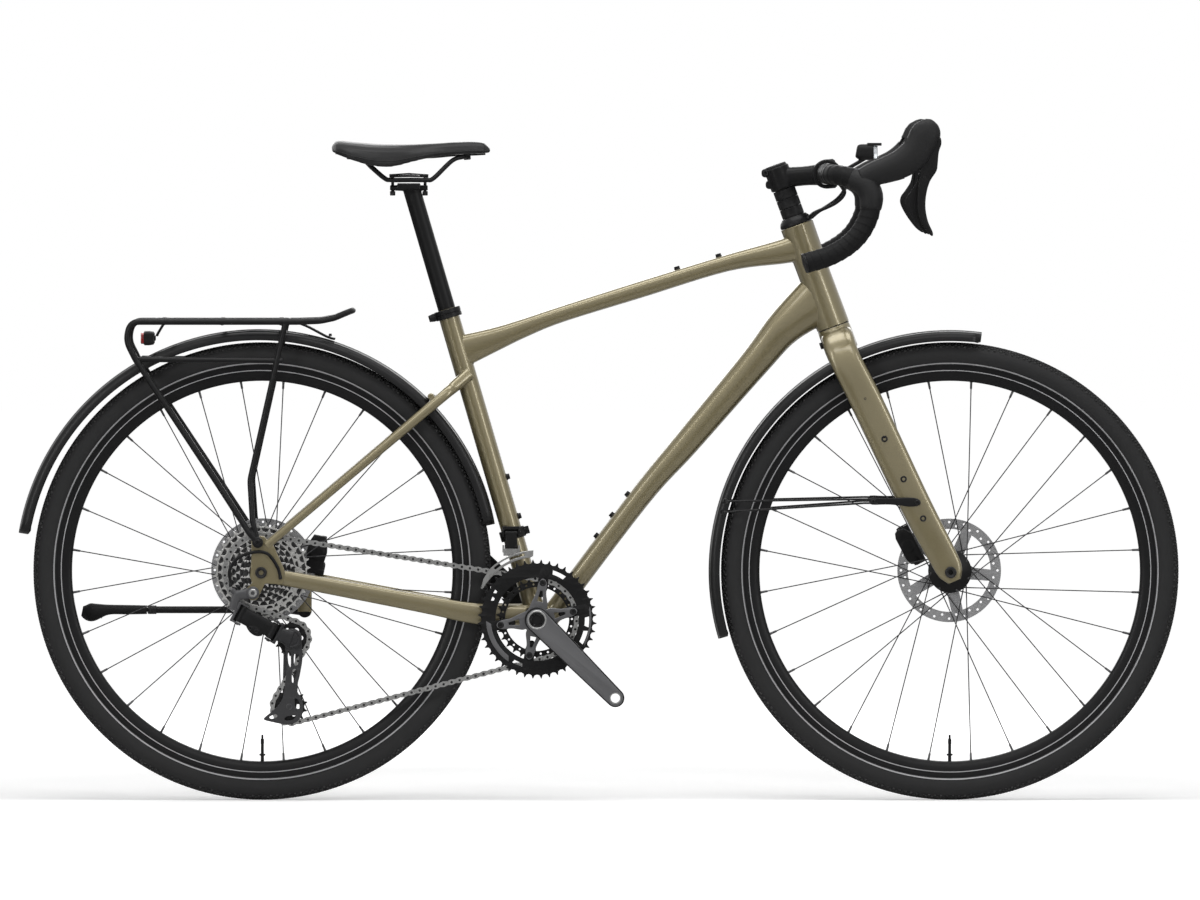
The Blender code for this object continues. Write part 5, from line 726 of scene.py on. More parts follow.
REAR_HUB = [(6.3, -33), (14, -33), (16.5, -31), (16.5, -24.5), (24.5, -23.2), (25.8, -21.6), (26, -18.4),
            (25.2, -16.5), (18, -15), (15.2, -11), (14.5, 2), (15.2, 16), (18, 20), (25.2, 21.6), (26, 23.2),
            (25.8, 26.2), (24.5, 27.2), (20, 29), (20, 44), (21.2, 45), (21.2, 53), (15, 54), (10, 56),
            (10, 70), (6.3, 70)]
FRONT_HUB = [(6.3, -49.2), (10.5, -49.2), (12, -47), (12.6, -33), (18, -30), (31.8, -27.2), (33, -26.2),
             (33, -23.8), (31.8, -22.6), (29.6, -20), (28.4, -15), (28.2, -6), (28.4, 6), (29.6, 9.2),
             (31.8, 10.6), (33, 11.8), (33, 14.2), (31.8, 15.2), (21.4, 18), (21, 30), (21.2, 38), (15, 39),
             (11, 41), (10.5, 49.2), (6.3, 49.2)]
laid_wheel("rear", REAR_AXLE, (24, -19), 26, REAR_HUB)
laid_wheel("front", FRONT_AXLE, (13, -25), 33, FRONT_HUB)


# Axles: black through axles with a socket head on the right and a flat end on the left.
for name, centre, reach, body in (("rear", REAR_AXLE, 79.1, "main_frame"),
                                  ("front", FRONT_AXLE, 64.6, "steering")):
    bm = bmesh.new()
    spun(bm, centre, SIDE, [(3.6, -reach + 2), (3.8, -reach - 3.8), (7, -reach - 4.5), (8.6, -reach - 3.8),
                            (9, -reach - 2.2), (9, -reach), (6, -reach + 0.4), (6, reach), (8.8, reach + 0.2),
                            (9, reach + 3), (7.8, reach + 4.4), (5, reach + 4.5), (4.6, reach + 3)], 48)
    fitted(f"{name}_through_axle", bm, blackened, body, "satin_black", f"{name}_axle")


# Brake discs: stainless plates stamped with five windows and a double row of cooling holes, held
# on the left of each hub.
def stamped(name, outlines, y, thickness, edge=0.3, rounds=2):
    """A flat plate stamped from its outline, with the outlines that follow as its holes."""
    curve = bpy.data.curves.new(name, "CURVE")
    curve.dimensions, curve.fill_mode = "2D", "BOTH"
    curve.extrude, curve.offset = (thickness / 2 - edge) / 1000, -edge / 1000
    curve.bevel_depth, curve.bevel_resolution = edge / 1000, rounds
    for outline in outlines:
        spline = curve.splines.new("POLY")
        spline.use_cyclic_u = True
        spline.points.add(len(outline) - 1)
        for point, here in zip(spline.points, outline):
            point.co = (here.x / 1000, here.z / 1000, 0, 1)
    obj = bpy.data.objects.new(name, curve)
    bpy.context.collection.objects.link(obj)
    bpy.context.view_layer.update()
    mesh = bpy.data.meshes.new_from_object(obj.evaluated_get(bpy.context.evaluated_depsgraph_get()))
    mesh.transform(Matrix(((1000, 0, 0, 0), (0, 0, -1000, y), (0, 1000, 0, 0), (0, 0, 0, 1))))
    bpy.data.objects.remove(obj, do_unlink=True)
    return mesh


def arc(centre, radius, start, end, steps=12):
    """Points round a centre, angles counted from forward towards up."""
    return [centre + direction(start + (end - start) * k / steps) * radius for k in range(steps + 1)]


def disc_edge(centre, radius, steps=64):
    """A full circle of points."""
    return arc(centre, radius, 0, 2 * math.pi * (steps - 1) / steps, steps - 1)


def from_meshes(name, meshes, sharp=30):
    """One object out of several meshes."""
    bm = bmesh.new()
    for mesh in meshes:
        bm.from_mesh(mesh)
    bmesh.ops.remove_doubles(bm, verts=bm.verts, dist=0.0001)
    return made_mesh(name, bm, sharp)


stainless = coated("ground_stainless", (0.34, 0.34, 0.345), 0.26, metallic=0.85, grain_size=2400.0, tone=0.12,
                   bump=0.01, specular=0.5)
REAR_DISC_Y, FRONT_DISC_Y = 50, 35
for name, axle, y in (("rear", REAR_AXLE, REAR_DISC_Y), ("front", FRONT_AXLE, FRONT_DISC_Y)):
    outlines = [disc_edge(axle, 80, 96), disc_edge(axle, 22.2, 48)]
    for k in range(5):
        start = 2 * math.pi * k / 5
        outlines.append(arc(axle, 64, start + 0.02, start + 1.0, 8)
                        + arc(axle, 31.5, start + 0.8, start + 0.16, 5))
    for k in range(40):
        turn = 2 * math.pi * k / 40
        outlines.append(disc_edge(axle + direction(turn) * (69 if k % 2 else 74.5), 1.9, 8))
    disc = from_meshes(f"{name}_disc", [stamped("disc", outlines, y, 1.8, 0.1, 0)], 25)
    finish(disc, stainless, f"{name}_wheel", "steel", f"{name}_rotor")


# Crankset: forged arms in dark grey with blacked edges, a four-armed spider, two black toothed
# rings bolted to it, and the preload cap in the arm's end.
CHAIN_PITCH, CRANK_LENGTH = 12.7, 170


def slab(bm, centre, size, axes=(FORWARD, SIDE, UP)):
    """A box of the given full sizes along three directions."""
    along, across, high = (axis * (length / 2) for axis, length in zip(axes, size))
    corners = ((1, 1), (-1, 1), (-1, -1), (1, -1))
    walls(bm, [[centre + along * a + across * b + high * c for a, b in corners] for c in (-1, 1)])


def arm_outline(first, second, first_radius, second_radius, steps=16):
    """The outline of an arm with a round end about each of two points."""
    run = second - first
    angle = math.atan2(run.z, run.x)
    lean = math.asin((first_radius - second_radius) / run.length)
    quarter = math.pi / 2
    return (arc(second, second_radius, angle - quarter + lean, angle + quarter - lean, steps)
            + arc(first, first_radius, angle + quarter - lean, angle + 3 * quarter + lean, steps))


def closed_curve(points, per_span=4):
    """A smooth closed outline through the given points."""
    around = points[-2:] + points + points[:3]
    smooth = eased(around, per_span)
    return smooth[2 * per_span: (2 + len(points)) * per_span]


def pitch_radius(teeth):
    """The radius on which the chain's rollers sit."""
    return CHAIN_PITCH / (2 * math.sin(math.pi / teeth))


def toothed(centre, teeth, lift=2.6, turn=0.0):
    """A sprocket's outline: round seats for the rollers between narrow teeth."""
    pitch = pitch_radius(teeth)
    outline = []
    for k in range(teeth):
        for share, rise in ((-0.3, -2.4), (0.0, -3.6), (0.3, -2.4), (0.4, 0.6), (0.465, lift), (0.535, lift),
                            (0.6, 0.6)):
            outline.append(centre + direction(turn + 2 * math.pi * (k + share) / teeth) * (pitch + rise))
    return outline


arm_grey = coated("anodised_grey", (0.112, 0.112, 0.116), 0.36, metallic=0.35, grain_size=1600.0,
                  patchiness=0.08, tone=0.12, bump=0.01, bare=0.3, specular=0.4)
ring_black = coated("blacked_ring", (0.008, 0.008, 0.0083), 0.38, grain=0.6, grain_size=1500.0,
                    patchiness=0.12, tone=0.25, bare=0.14, rub=0.35)
plated = coated("plated_steel", (0.32, 0.32, 0.315), 0.26, metallic=0.9, grain=0.4, grain_size=2000.0,
                patchiness=0.14, tone=0.22, bump=0.008, bare=0.6, specular=0.5)
CRANK_TURN = math.radians(-45)
SPIDER_TURNS = [CRANK_TURN + math.radians(turn) for turn in (57, 126, 234, 303)]
SPIDER_Y, BIG_Y, SMALL_Y = -52.3, -51, -43.5
BIG_TEETH, SMALL_TEETH = 44, 30
SPIDER_ARM = [(25, -12.5), (40, -8), (54, -6.8), (62, -3), (62, 3), (54, 6.8), (40, 8), (25, 12.5)]
SPIDER_WINDOW = [(27.5, -4.5), (44, -1.8), (44, 1.8), (27.5, 4.5)]
for name, side, turn in (("right", -1, CRANK_TURN), ("left", 1, CRANK_TURN + math.pi)):
    tip = BB + direction(turn) * CRANK_LENGTH
    eye = [disc_edge(tip, 7.1, 40), disc_edge(BB, 12.2, 40)]
    dark = stamped("dark", [arm_outline(BB, tip, 19, 14)] + eye, side * 78.4, 12.8, 1.2, 3)
    edge = from_meshes(f"crank_edge_{name}", [dark])
    finish(edge, ring_black, "crankset", "satin_black", f"crank_{name}")
    inset = [BB + direction(turn), tip]
    face = stamped("face", [arm_outline(*inset, 17.2, 12.2)] + eye, side * 84.3, 3, 0.9, 3)
    meshes = [face]
    if side < 0:
        star, holes = [], []
        for k, turn_here in enumerate(SPIDER_TURNS):
            after = SPIDER_TURNS[(k + 1) % 4] + (2 * math.pi if k == 3 else 0)
            out, left = direction(turn_here), direction(turn_here + math.pi / 2)
            star += [BB + out * far + left * aside for far, aside in SPIDER_ARM]
            star.append(BB + direction((turn_here + after) / 2) * (21.5 if after - turn_here < 1.5 else 20.5))
            holes.append([BB + out * far + left * aside for far, aside in SPIDER_WINDOW])
        meshes.append(stamped("spider", [closed_curve(star)] + holes, SPIDER_Y - 2.6, 4.8, 1.1, 3))
    finish(from_meshes(f"crank_face_{name}", meshes), arm_grey, "crankset", "grey_alloy")
bm = bmesh.new()
capped(bm, BB - SIDE * 73.5, BB + SIDE * 85, 11.9, 48)
capped(bm, BB - SIDE * 73.5, BB - SIDE * 45.5, 18.6, 64, 1.2)
spun(bm, BB - SIDE * 84.5, -SIDE, [(10, 0), (12, 0), (12, 1), (11.6, 1.4), (10.6, 1.4), (10, 0.8)], 64, True)
spun(bm, BB - SIDE * 78, -SIDE, [(10, 0), (10, 5), (8.6, 5.6), (8, 3)], 48)
for k in range(12):
    out = direction(2 * math.pi * k / 12)
    slab(bm, BB + out * 8.8 - SIDE * 83.6, (2.2, 1.6, 1.4), (out, SIDE, out.cross(SIDE)))
spun(bm, BB + SIDE * 84, SIDE, [(11.2, 0), (11.2, 2.2), (10, 2.8), (5, 2.8), (4.6, 1)], 48)
for turn_here in SPIDER_TURNS:
    bolt = BB + direction(turn_here) * 56.5
    screw(bm, bolt - SIDE * 56.6, -SIDE, 4.2, 2.2)
    capped(bm, BB + direction(turn_here) * 40 - SIDE * 52.5, BB + direction(turn_here) * 40 - SIDE * 44.6,
           4.6)
fitted("spindle_and_ring_bolts", bm, blackened, "crankset", "satin_black")
bm = bmesh.new()
spun(bm, BB - SIDE * 85.3, -SIDE, [(12, 0), (14.6, 0), (14.6, 0.8), (14, 1.3), (12.4, 1.2), (12, 0.8)], 64,
     True)
for side, turn in ((-1, CRANK_TURN), (1, CRANK_TURN + math.pi)):
    tip = BB + direction(turn) * CRANK_LENGTH
    spun(bm, tip + SIDE * side * 72.2, SIDE * side,
         [(7.1, 0), (7.8, 0), (7.8, 13.4), (9, 13.8), (8.8, 14.2), (7.1, 14.2)], 48, True)
fitted("crank_bright_rings", bm, plated, "crankset", "steel")

windows = [disc_edge(BB, 64, 96)]
for start, span, low, high in ((56, 16, 72.8, 79), (-9, 12, 73.5, 80), (-29, 16, 73.5, 80),
                               (240, 14, 71.5, 76.5), (144, 5, 74.5, 78.5), (153, 5, 72.5, 76.5)):
    first, last = math.radians(start), math.radians(start + span)
    windows.append(arc(BB, high, first, last, 6) + arc(BB, low, last - 0.02, first + 0.02, 6))
parts = [stamped("big", [toothed(BB, BIG_TEETH)] + windows, BIG_Y, 2, 0.3, 1)]
for turn_here in SPIDER_TURNS:
    tab = arm_outline(BB + direction(turn_here) * 55, BB + direction(turn_here) * 74, 7.8, 7.7)
    parts.append(stamped("tab", [tab, disc_edge(BB + direction(turn_here) * 55.5, 3.6, 20)], BIG_Y, 2.06, 0.2,
                         1))
finish(from_meshes("outer_ring", parts), ring_black, "crankset", "satin_black", "chainring_big")
pockets = []
for start, end, low, high in ((182, 236, 71.2, 78.5), (-30, 14, 80.8, 83.5)):
    outside = arc(BB, high, math.radians(start), math.radians(end), 14)
    pockets.append(stamped("pocket", [outside + arc(BB, low, math.radians(end - 4), math.radians(start + 4),
                                                    14)], BIG_Y - 1.2, 0.6, 0.2, 1))
finish(from_meshes("outer_ring_pockets", pockets), arm_grey, "crankset", "grey_alloy")
inner = [toothed(BB, SMALL_TEETH), disc_edge(BB, 49.2, 64)]
inner += [disc_edge(BB + direction(math.radians(12 * k)) * 53.5, 1.6, 12) for k in range(30)]
parts = [stamped("small", inner, SMALL_Y, 2, 0.3, 1)]
for turn_here in SPIDER_TURNS:
    lug = arm_outline(BB + direction(turn_here) * 40, BB + direction(turn_here) * 51.5, 6.2, 9)
    parts.append(stamped("lug", [lug, disc_edge(BB + direction(turn_here) * 40, 3, 20)], SMALL_Y, 2.1, 0.3,
                         1))
finish(from_meshes("inner_ring", parts), ring_black, "crankset", "satin_black", "chainring_small")


# Cassette: nine stamped steel sprockets from 36 to 11 teeth on a splined body, windowed to save
# weight, with a notched lockring outside the smallest; black rings between the cogs are painted shade.
COGS = (36, 32, 28, 24, 21, 18, 15, 13, 11)
FIRST_COG_Y, COG_STEP = -35, 3.95
CHAIN_COG_Y = FIRST_COG_Y - COG_STEP * 2
bright = coated("bright_cog_steel", (0.5, 0.495, 0.48), 0.22, metallic=0.92, grain_size=2200.0,
                patchiness=0.16, tone=0.3, bump=0.01, bare=0.7, rub=0.4, specular=0.5)
parts = []
for row, teeth in enumerate(COGS):
    pitch = pitch_radius(teeth)
    outlines = [toothed(REAR_AXLE, teeth, 2.4, row * 0.11), disc_edge(REAR_AXLE, 16.8, 36)]
    if teeth > 20:
        count = 9 if teeth < 30 else 12
        for k in range(count):
            start = 2 * math.pi * (k + 0.2 * row) / count
            low, high = 22.5, pitch - 7.5
            span = 2 * math.pi / count
            outlines.append(arc(REAR_AXLE, high, start, start + span * 0.66, 4)
                            + arc(REAR_AXLE, low, start + span * 0.58, start + span * 0.14, 2))
    for k in range(teeth // 2 if teeth > 20 else 0):
        turn = 2 * math.pi * (k + 0.3) / (teeth // 2)
        outlines.append(disc_edge(REAR_AXLE + direction(turn) * (pitch - 5.2), 1.1, 8))
    parts.append(stamped("cog", outlines, FIRST_COG_Y - COG_STEP * row, 1.7, 0.2, 0))
finish(from_meshes("cog_stack", parts), bright, "sprockets", "steel", "cassette")
bm = bmesh.new()
# Painted shade: a black ring behind each smaller cog reaches a little past its teeth and darkens the gaps
# between the sprockets; the chain cog's ring stays under its teeth.
for row in range(1, len(COGS)):
    shade_ring_reach = pitch_radius(COGS[row]) + (-6 if row == 2 else 2.6)
    spun(bm, REAR_AXLE + SIDE * (FIRST_COG_Y - COG_STEP * row + 3), -SIDE,
         [(16, 0), (shade_ring_reach, 0), (shade_ring_reach, 2), (16, 2)], 72, True)
spun(bm, REAR_AXLE - SIDE * 34.5, -SIDE, [(6.4, 0), (16.6, 0), (16.6, 31), (12, 31.5), (12, 33), (6.4, 33)],
     48, True)
spun(bm, REAR_AXLE - SIDE * 66.2, -SIDE, [(12.5, 0), (19, 0), (19.3, 0.5), (18.8, 1.4), (15, 2), (12.5, 2)],
     64, True)
for k in range(12):
    out = direction(2 * math.pi * k / 12)
    slab(bm, REAR_AXLE + out * 12.2 - SIDE * 67, (1.8, 2.8, 3), (out, SIDE, out.cross(SIDE)))
fitted("cog_body_lockring_and_shade_rings", bm, blackened, "sprockets", "steel")


# Chain: inner and outer link plates riveted in turn over rollers, half an inch from pin to pin,
# run over the third cog, both pulleys and the inner ring.
GUIDE = REAR_AXLE + step(47, 0, -101.5)
TENSION = GUIDE + step(-4.5, 0, -105.5)
PULLEY_TEETH = 13


def belt_run(first, second):
    """Where a chain run leaves one wheel and meets the next; each is centre, radius and turn."""
    (a, ra, sa), (b, rb, sb) = first, second
    away = b - a
    length = math.hypot(away.x, away.z)
    lift = sb * rb - sa * ra
    angle = math.atan2(away.z, away.x) + math.atan2(lift, math.sqrt(length ** 2 - lift ** 2))
    normal = step(-math.sin(angle), 0, math.cos(angle))
    return a + normal * (sa * ra), b + normal * (sb * rb)


wheels = [(BB + SIDE * SMALL_Y, pitch_radius(SMALL_TEETH), 1),
          (TENSION + SIDE * CHAIN_COG_Y, pitch_radius(PULLEY_TEETH), 1),
          (GUIDE + SIDE * CHAIN_COG_Y, pitch_radius(PULLEY_TEETH), -1),
          (REAR_AXLE + SIDE * CHAIN_COG_Y, pitch_radius(COGS[2]), 1)]
runs = [belt_run(wheels[k], wheels[(k + 1) % 4]) for k in range(4)]
loop = []
for k, (centre, radius, turn) in enumerate(wheels):
    arrive, leave = runs[k - 1][1], runs[k][0]
    first = math.atan2(arrive.z - centre.z, arrive.x - centre.x)
    last = math.atan2(leave.z - centre.z, leave.x - centre.x)
    sweep = (first - last) % (2 * math.pi) if turn > 0 else -((last - first) % (2 * math.pi))
    loop += [centre + direction(first - sweep * i / 40) * radius for i in range(41)]
lengths = [(loop[(i + 1) % len(loop)] - loop[i]).length for i in range(len(loop))]
total = sum(lengths)
LINKS = 2 * round(total / (2 * CHAIN_PITCH))
pins, walked, here = [], 0.0, 0
for k in range(LINKS):
    target = total * k / LINKS
    while walked + lengths[here] < target:
        walked += lengths[here]
        here += 1
    pins.append(loop[here].lerp(loop[(here + 1) % len(loop)], (target - walked) / lengths[here]))
chain_steel = coated("chain_steel", (0.27, 0.27, 0.265), 0.28, metallic=0.9, grain=0.4, grain_size=2000.0,
                     patchiness=0.14, tone=0.25, bump=0.008, bare=0.5, specular=0.5)
quarter = [(0, 2.9), (0.62, 4), (1, 4.3), (1.45, 3.4), (1.64, 0)]
LINK_SHAPE = (quarter + [(x, -z) for x, z in quarter[-2::-1]] + [(-x, -z) for x, z in quarter[1:]]
              + [(-x, z) for x, z in quarter[-2:0:-1]])
bm, rollers = bmesh.new(), bmesh.new()
for k, pin in enumerate(pins):
    after = pins[(k + 1) % LINKS]
    run = (after - pin).normalized()
    rise = step(-run.z, 0, run.x).normalized()
    offset = 1.7 if k % 2 else 2.6
    middle = pin.lerp(after, 0.5)
    half = (after - pin).length / 2
    for side in (-1, 1):
        plate = [middle + run * (x * half) + rise * z for x, z in LINK_SHAPE]
        walls(bm, [[p + SIDE * (side * (offset + t)) for p in plate] for t in (-0.4, 0.4)])
    spun(rollers, pin - SIDE * 1.2, SIDE, [(3.6, 0), (3.8, 0.3), (3.8, 2.1), (3.6, 2.4)], 10)
    spun(rollers, pin - SIDE * 3.4, SIDE, [(1.6, 0), (2, 0.3), (2, 6.5), (1.6, 6.8)], 10)
fitted("link_chain", bm, chain_steel, "main_frame", "steel", "chain")
fitted("chain_rollers", rollers, blackened, "main_frame", "steel")


# Front derailleur: a black clamp and link on the seat tube, and a plated cage of two shaped
# plates that straddle the chain.
FD_CLAMP = BB + SEAT_AXIS * 135
FD_PIN = FD_CLAMP + step(-2, -27, 2)
FD_LOWER = FD_PIN - UP * 22
cast_black = coated("cast_black", (0.008, 0.008, 0.0083), 0.42, grain=0.8, patchiness=0.12, tone=0.25,
                    bump=0.03, bare=0.12, rub=0.4)
bm = bmesh.new()
spun(bm, FD_CLAMP - SEAT_AXIS * 8, SEAT_AXIS,
     [(16.3, 0), (19.2, 0), (19.8, 1), (19.8, 15), (19.2, 16), (16.3, 16)], 64, True)
ear_x = 12.1
for end in (-1, 1):
    ear_out = step(FD_PIN.x + end * ear_x, -32, FD_PIN.z)
    bar(bm, [step(ear_out.x, -10.5, ear_out.z + 3), step(ear_out.x, -20, ear_out.z + 3),
             step(ear_out.x, -26.5, ear_out.z + 1), step(ear_out.x, -31.8, ear_out.z)],
        [(1.5, 8), (1.5, 8), (1.5, 7), (1.5, 5)], 24, FORWARD, 0.5)
    screw(bm, step(ear_out.x + end * 0.8, FD_PIN.y, FD_PIN.z), FORWARD * end, 2.6, 2.2)
slab(bm, step(FD_PIN.x, -20, FD_PIN.z + 8), (26, 22, 4.6))
spun(bm, FD_CLAMP + SEAT_FORE * 18.5 - SIDE * 6, SIDE, [(3, 0), (3.8, 0.6), (3.8, 11.4), (3, 12)], 18)
slab(bm, FD_CLAMP + SEAT_FORE * 21.5, (10, 9, 12), (SEAT_FORE, SIDE, SEAT_AXIS))
body = melted(made_mesh("front_shifter_clamp", bm), 0.6, 4)
bore = bmesh.new()
spun(bore, FD_CLAMP - SEAT_AXIS * 30, SEAT_AXIS, [(16.3, 0), (16.3, 60)], 64)
finish(carved(body, bore), cast_black, "main_frame", "satin_black", "fd_clamp")
bm = bmesh.new()
bar(bm, [FD_PIN, FD_PIN.lerp(FD_LOWER, 0.5) - SIDE * 0.8, FD_LOWER], [(9.8, 4.4), (9.2, 3.6), (9.8, 4.4)], 32,
    FORWARD, 0.55)
for pin in (FD_PIN, FD_LOWER):
    capped(bm, pin - FORWARD * 10, pin + FORWARD * 10, 4.5, 28)
finish(melted(made_mesh("front_shifter_link", bm), 0.6, 4), cast_black, "front_link", "satin_black",
       "fd_link")
parts = []
low, high = math.radians(93), math.radians(150)
for y, drop in ((SMALL_Y - 6.4, 0.0), (SMALL_Y + 6.4, 3)):
    tail = BB + direction(high + 0.02) * 98.5
    outline = (arc(BB, 106, low, high - 0.3, 10) + [BB + direction(high - 0.12) * 103, tail]
               + arc(BB, 95.5 - drop * 0.2, high, low + 0.05, 14) + [BB + direction(low + 0.01) * 97])
    slot = arc(BB, 103.2, low + 0.14, high - 0.34, 8) + arc(BB, 99, high - 0.34, low + 0.14, 8)
    parts.append(stamped("cage", [outline, slot], y, 1.2, 0.3, 2))
cage = bmesh.new()
for mesh in parts:
    cage.from_mesh(mesh)
for turn, radius in ((106, 105), (148, 97.5)):
    out = direction(math.radians(turn))
    spot = BB + out * radius + SIDE * SMALL_Y
    beside = spot + direction(math.radians(turn + 90)) * 4
    bar(cage, [spot - SIDE * 6.8, spot, spot + SIDE * 6.8], 1.6, 12, out)
    bar(cage, [beside - SIDE * 6.8, beside + SIDE * 6.8], 1.6, 12, out)
for end in (-1, 1):
    foot = step(FD_LOWER.x + end * ear_x, -31, FD_LOWER.z - 2)
    slab(cage, foot, (2.8, 13, 11))
slab(cage, step(FD_LOWER.x, SMALL_Y + 6.4, FD_LOWER.z - 7), (24, 1.2, 11))
fitted("front_shifter_cage", cage, chain_steel, "front_cage", "steel", "fd_cage")


# Rear derailleur: a cast bracket on the hanger, a deep link and knuckle, and a long pressed cage
# with two moulded pulleys; the housing loops from the dropout to the stop on the bracket.
HANGER = REAR_AXLE + step(-12.5, 0, -31)
CABLE_STOP = REAR_AXLE + step(-45, 0, -26)
LINK_FIRST = REAR_AXLE + step(-30, -80, -64)
LINK_SECOND = GUIDE + step(-29, -80, 12)
ALONG = (LINK_SECOND - LINK_FIRST).normalized()
PIN = ALONG.cross(SIDE)
PIN = PIN if PIN.z > 0 else -PIN
PLATE_OUT = -79.1
cast_grey = coated("cast_dark_grey", (0.03, 0.03, 0.0315), 0.42, metallic=0.2, grain=0.9, grain_size=1100.0,
                   bump=0.03, bare=0.2, rub=0.4, specular=0.14)


def hinge_ears(bm, centre, towards):
    """Two rounded ears over and under a link's end, with the web that joins them."""
    for end in (-1, 1):
        middle = centre + PIN * (end * 15.1)
        run = ALONG * towards
        bar(bm, [middle - run * 6, middle - run * 4, middle + run * 10], [(4, 1.5), (5.8, 1.5), (6, 1.5)], 24,
            SIDE, 0.5)
        screw(bm, middle + PIN * (end * 0.6), PIN * end, 2.8, 2)
    web = centre + ALONG * (towards * 9.7)
    slab(bm, web + SIDE * 6.2, (4, 6, 30), (ALONG, SIDE, PIN))
    slab(bm, centre + ALONG * (towards * 7.6) + SIDE * 8.4, (8, 1.6, 30), (ALONG, SIDE, PIN))
    bar(bm, [web - PIN * 16.6, web, web + PIN * 16.6], [(5.8, 2.4)] * 3, 24, SIDE, 0.5)


bm = bmesh.new()
capped(bm, HANGER + SIDE * PLATE_OUT, HANGER + SIDE * (PLATE_OUT - 10), 9.8, 40, 1.2)
elbow = HANGER + step(-23, 0, -3.5)
arm_end = LINK_FIRST - ALONG * 15
middle = SIDE * (PLATE_OUT - 4.4)
arm_end.y = 0
bar(bm, [HANGER + middle, HANGER.lerp(elbow, 0.5) + middle, elbow + middle],
    [(4.4, 8.5), (4, 7.8), (4.4, 7.4)], 32, SIDE, 0.7)
bar(bm, eased([elbow + middle + UP * 3, elbow.lerp(arm_end, 0.5) + middle - FORWARD * 1.5, arm_end + middle],
              4), [(4.4, 7.6), (4.4, 7.2), (4.4, 6.8), (4.4, 6.6), (4.4, 6.4), (4.2, 6.2), (4.2, 6), (4.2, 6),
                   (4.2, 6)], 32, SIDE, 0.7)
bar(bm, [elbow + middle, elbow.lerp(CABLE_STOP, 0.5) + middle, CABLE_STOP + middle],
    [(4, 5.2), (4, 4.4), (4, 4.2)], 28, SIDE, 0.8)
hinge_ears(bm, LINK_FIRST, -1)
bracket = melted(made_mesh("rear_shifter_bracket", bm), 0.8, 4)
bracket_grey = coated("forged_bracket_grey", (0.07, 0.07, 0.073), 0.38, metallic=0.3, grain=0.6,
                      grain_size=1300.0, tone=0.15, bump=0.015, bare=0.3, rub=0.4, specular=0.3)
finish(bracket, bracket_grey, "main_frame", "grey_alloy", "rd_bracket")
bm = bmesh.new()
spun(bm, HANGER + SIDE * (PLATE_OUT - 9.8), -SIDE, [(6.2, 0), (6.4, 1.4), (5.6, 2.2), (3, 2.2), (2.8, -1)],
     32)
fitted("hanger_bolt_head", bm, plated, "main_frame", "steel")
bm = bmesh.new()
for end in (LINK_FIRST, LINK_SECOND):
    capped(bm, end - PIN * 13, end + PIN * 13, 5.9, 32, 0.8)
mid = LINK_FIRST.lerp(LINK_SECOND, 0.5)
bar(bm, eased([LINK_FIRST, LINK_FIRST.lerp(mid, 0.6) - SIDE * 0.8,
               LINK_SECOND.lerp(mid, 0.6) - SIDE * 0.8, LINK_SECOND], 4),
    [(4.6, 12), (4.9, 12.4), (5.2, 12.6), (5.4, 12.7), (5.6, 12.7), (5.6, 12.7), (5.6, 12.6), (5.6, 12.4),
     (5.6, 12.2), (5.2, 12), (5, 11.8), (4.8, 11.6), (4.6, 11.4)], 40, SIDE, 0.6)
bar(bm, [LINK_FIRST + ALONG * 12 - SIDE * 5.2 + PIN * 6, LINK_SECOND - ALONG * 10 - SIDE * 5.2 + PIN * 4],
    [(1, 2.2)] * 2, 20, SIDE, 0.8)
lobe = [LINK_FIRST.lerp(LINK_SECOND, t) - PIN * p - SIDE * 0.6
        for t, p in ((0.27, 6), (0.45, 9.5), (0.62, 10.5), (0.76, 8.5))]
bar(bm, eased(lobe, 4), eased([(4, 5.5), (6, 8.5), (6.2, 8.8), (4.4, 6)], 4), 32, SIDE, 0.9)
for t in (0.4, 0.6):
    spot = LINK_FIRST.lerp(LINK_SECOND, t) - PIN * 12.5 - SIDE * 6
    spun(bm, spot, -SIDE, [(3.4, -3), (3.4, 1), (2.2, 1.6), (1, 0.4)], 20)
finish(melted(made_mesh("rear_shifter_link", bm), 0.7, 2), cast_black, "rear_link", "satin_black", "rd_link")
CAGE_OUT = CHAIN_COG_Y - 5.8
bm = bmesh.new()
spun(bm, GUIDE + SIDE * (CAGE_OUT - 0.6), -SIDE, [(14, 0), (15, 1), (15, 33), (13.8, 34.2), (11.8, 34.2),
                                                  (11.4, 33.4), (9.4, 33.4), (9, 34.1), (6, 34.1)], 64)
reach = GUIDE + SIDE * -80
arm_start = LINK_SECOND + ALONG * 10
bar(bm, [arm_start, arm_start.lerp(reach, 0.5), reach], [(5.8, 10.5), (5.8, 11.2), (5.8, 13)], 32, SIDE, 0.6)
hinge_ears(bm, LINK_SECOND, 1)
finish(melted(made_mesh("rear_shifter_knuckle", bm), 0.8, 3), cast_grey, "rear_knuckle", "satin_black",
       "rd_knuckle")
down = (TENSION - GUIDE).normalized()
right = step(-down.z, 0, down.x)


def cage_points(pairs):
    """Points given along and across the derailleur's cage."""
    return [GUIDE + down * a + right * b for a, b in pairs]


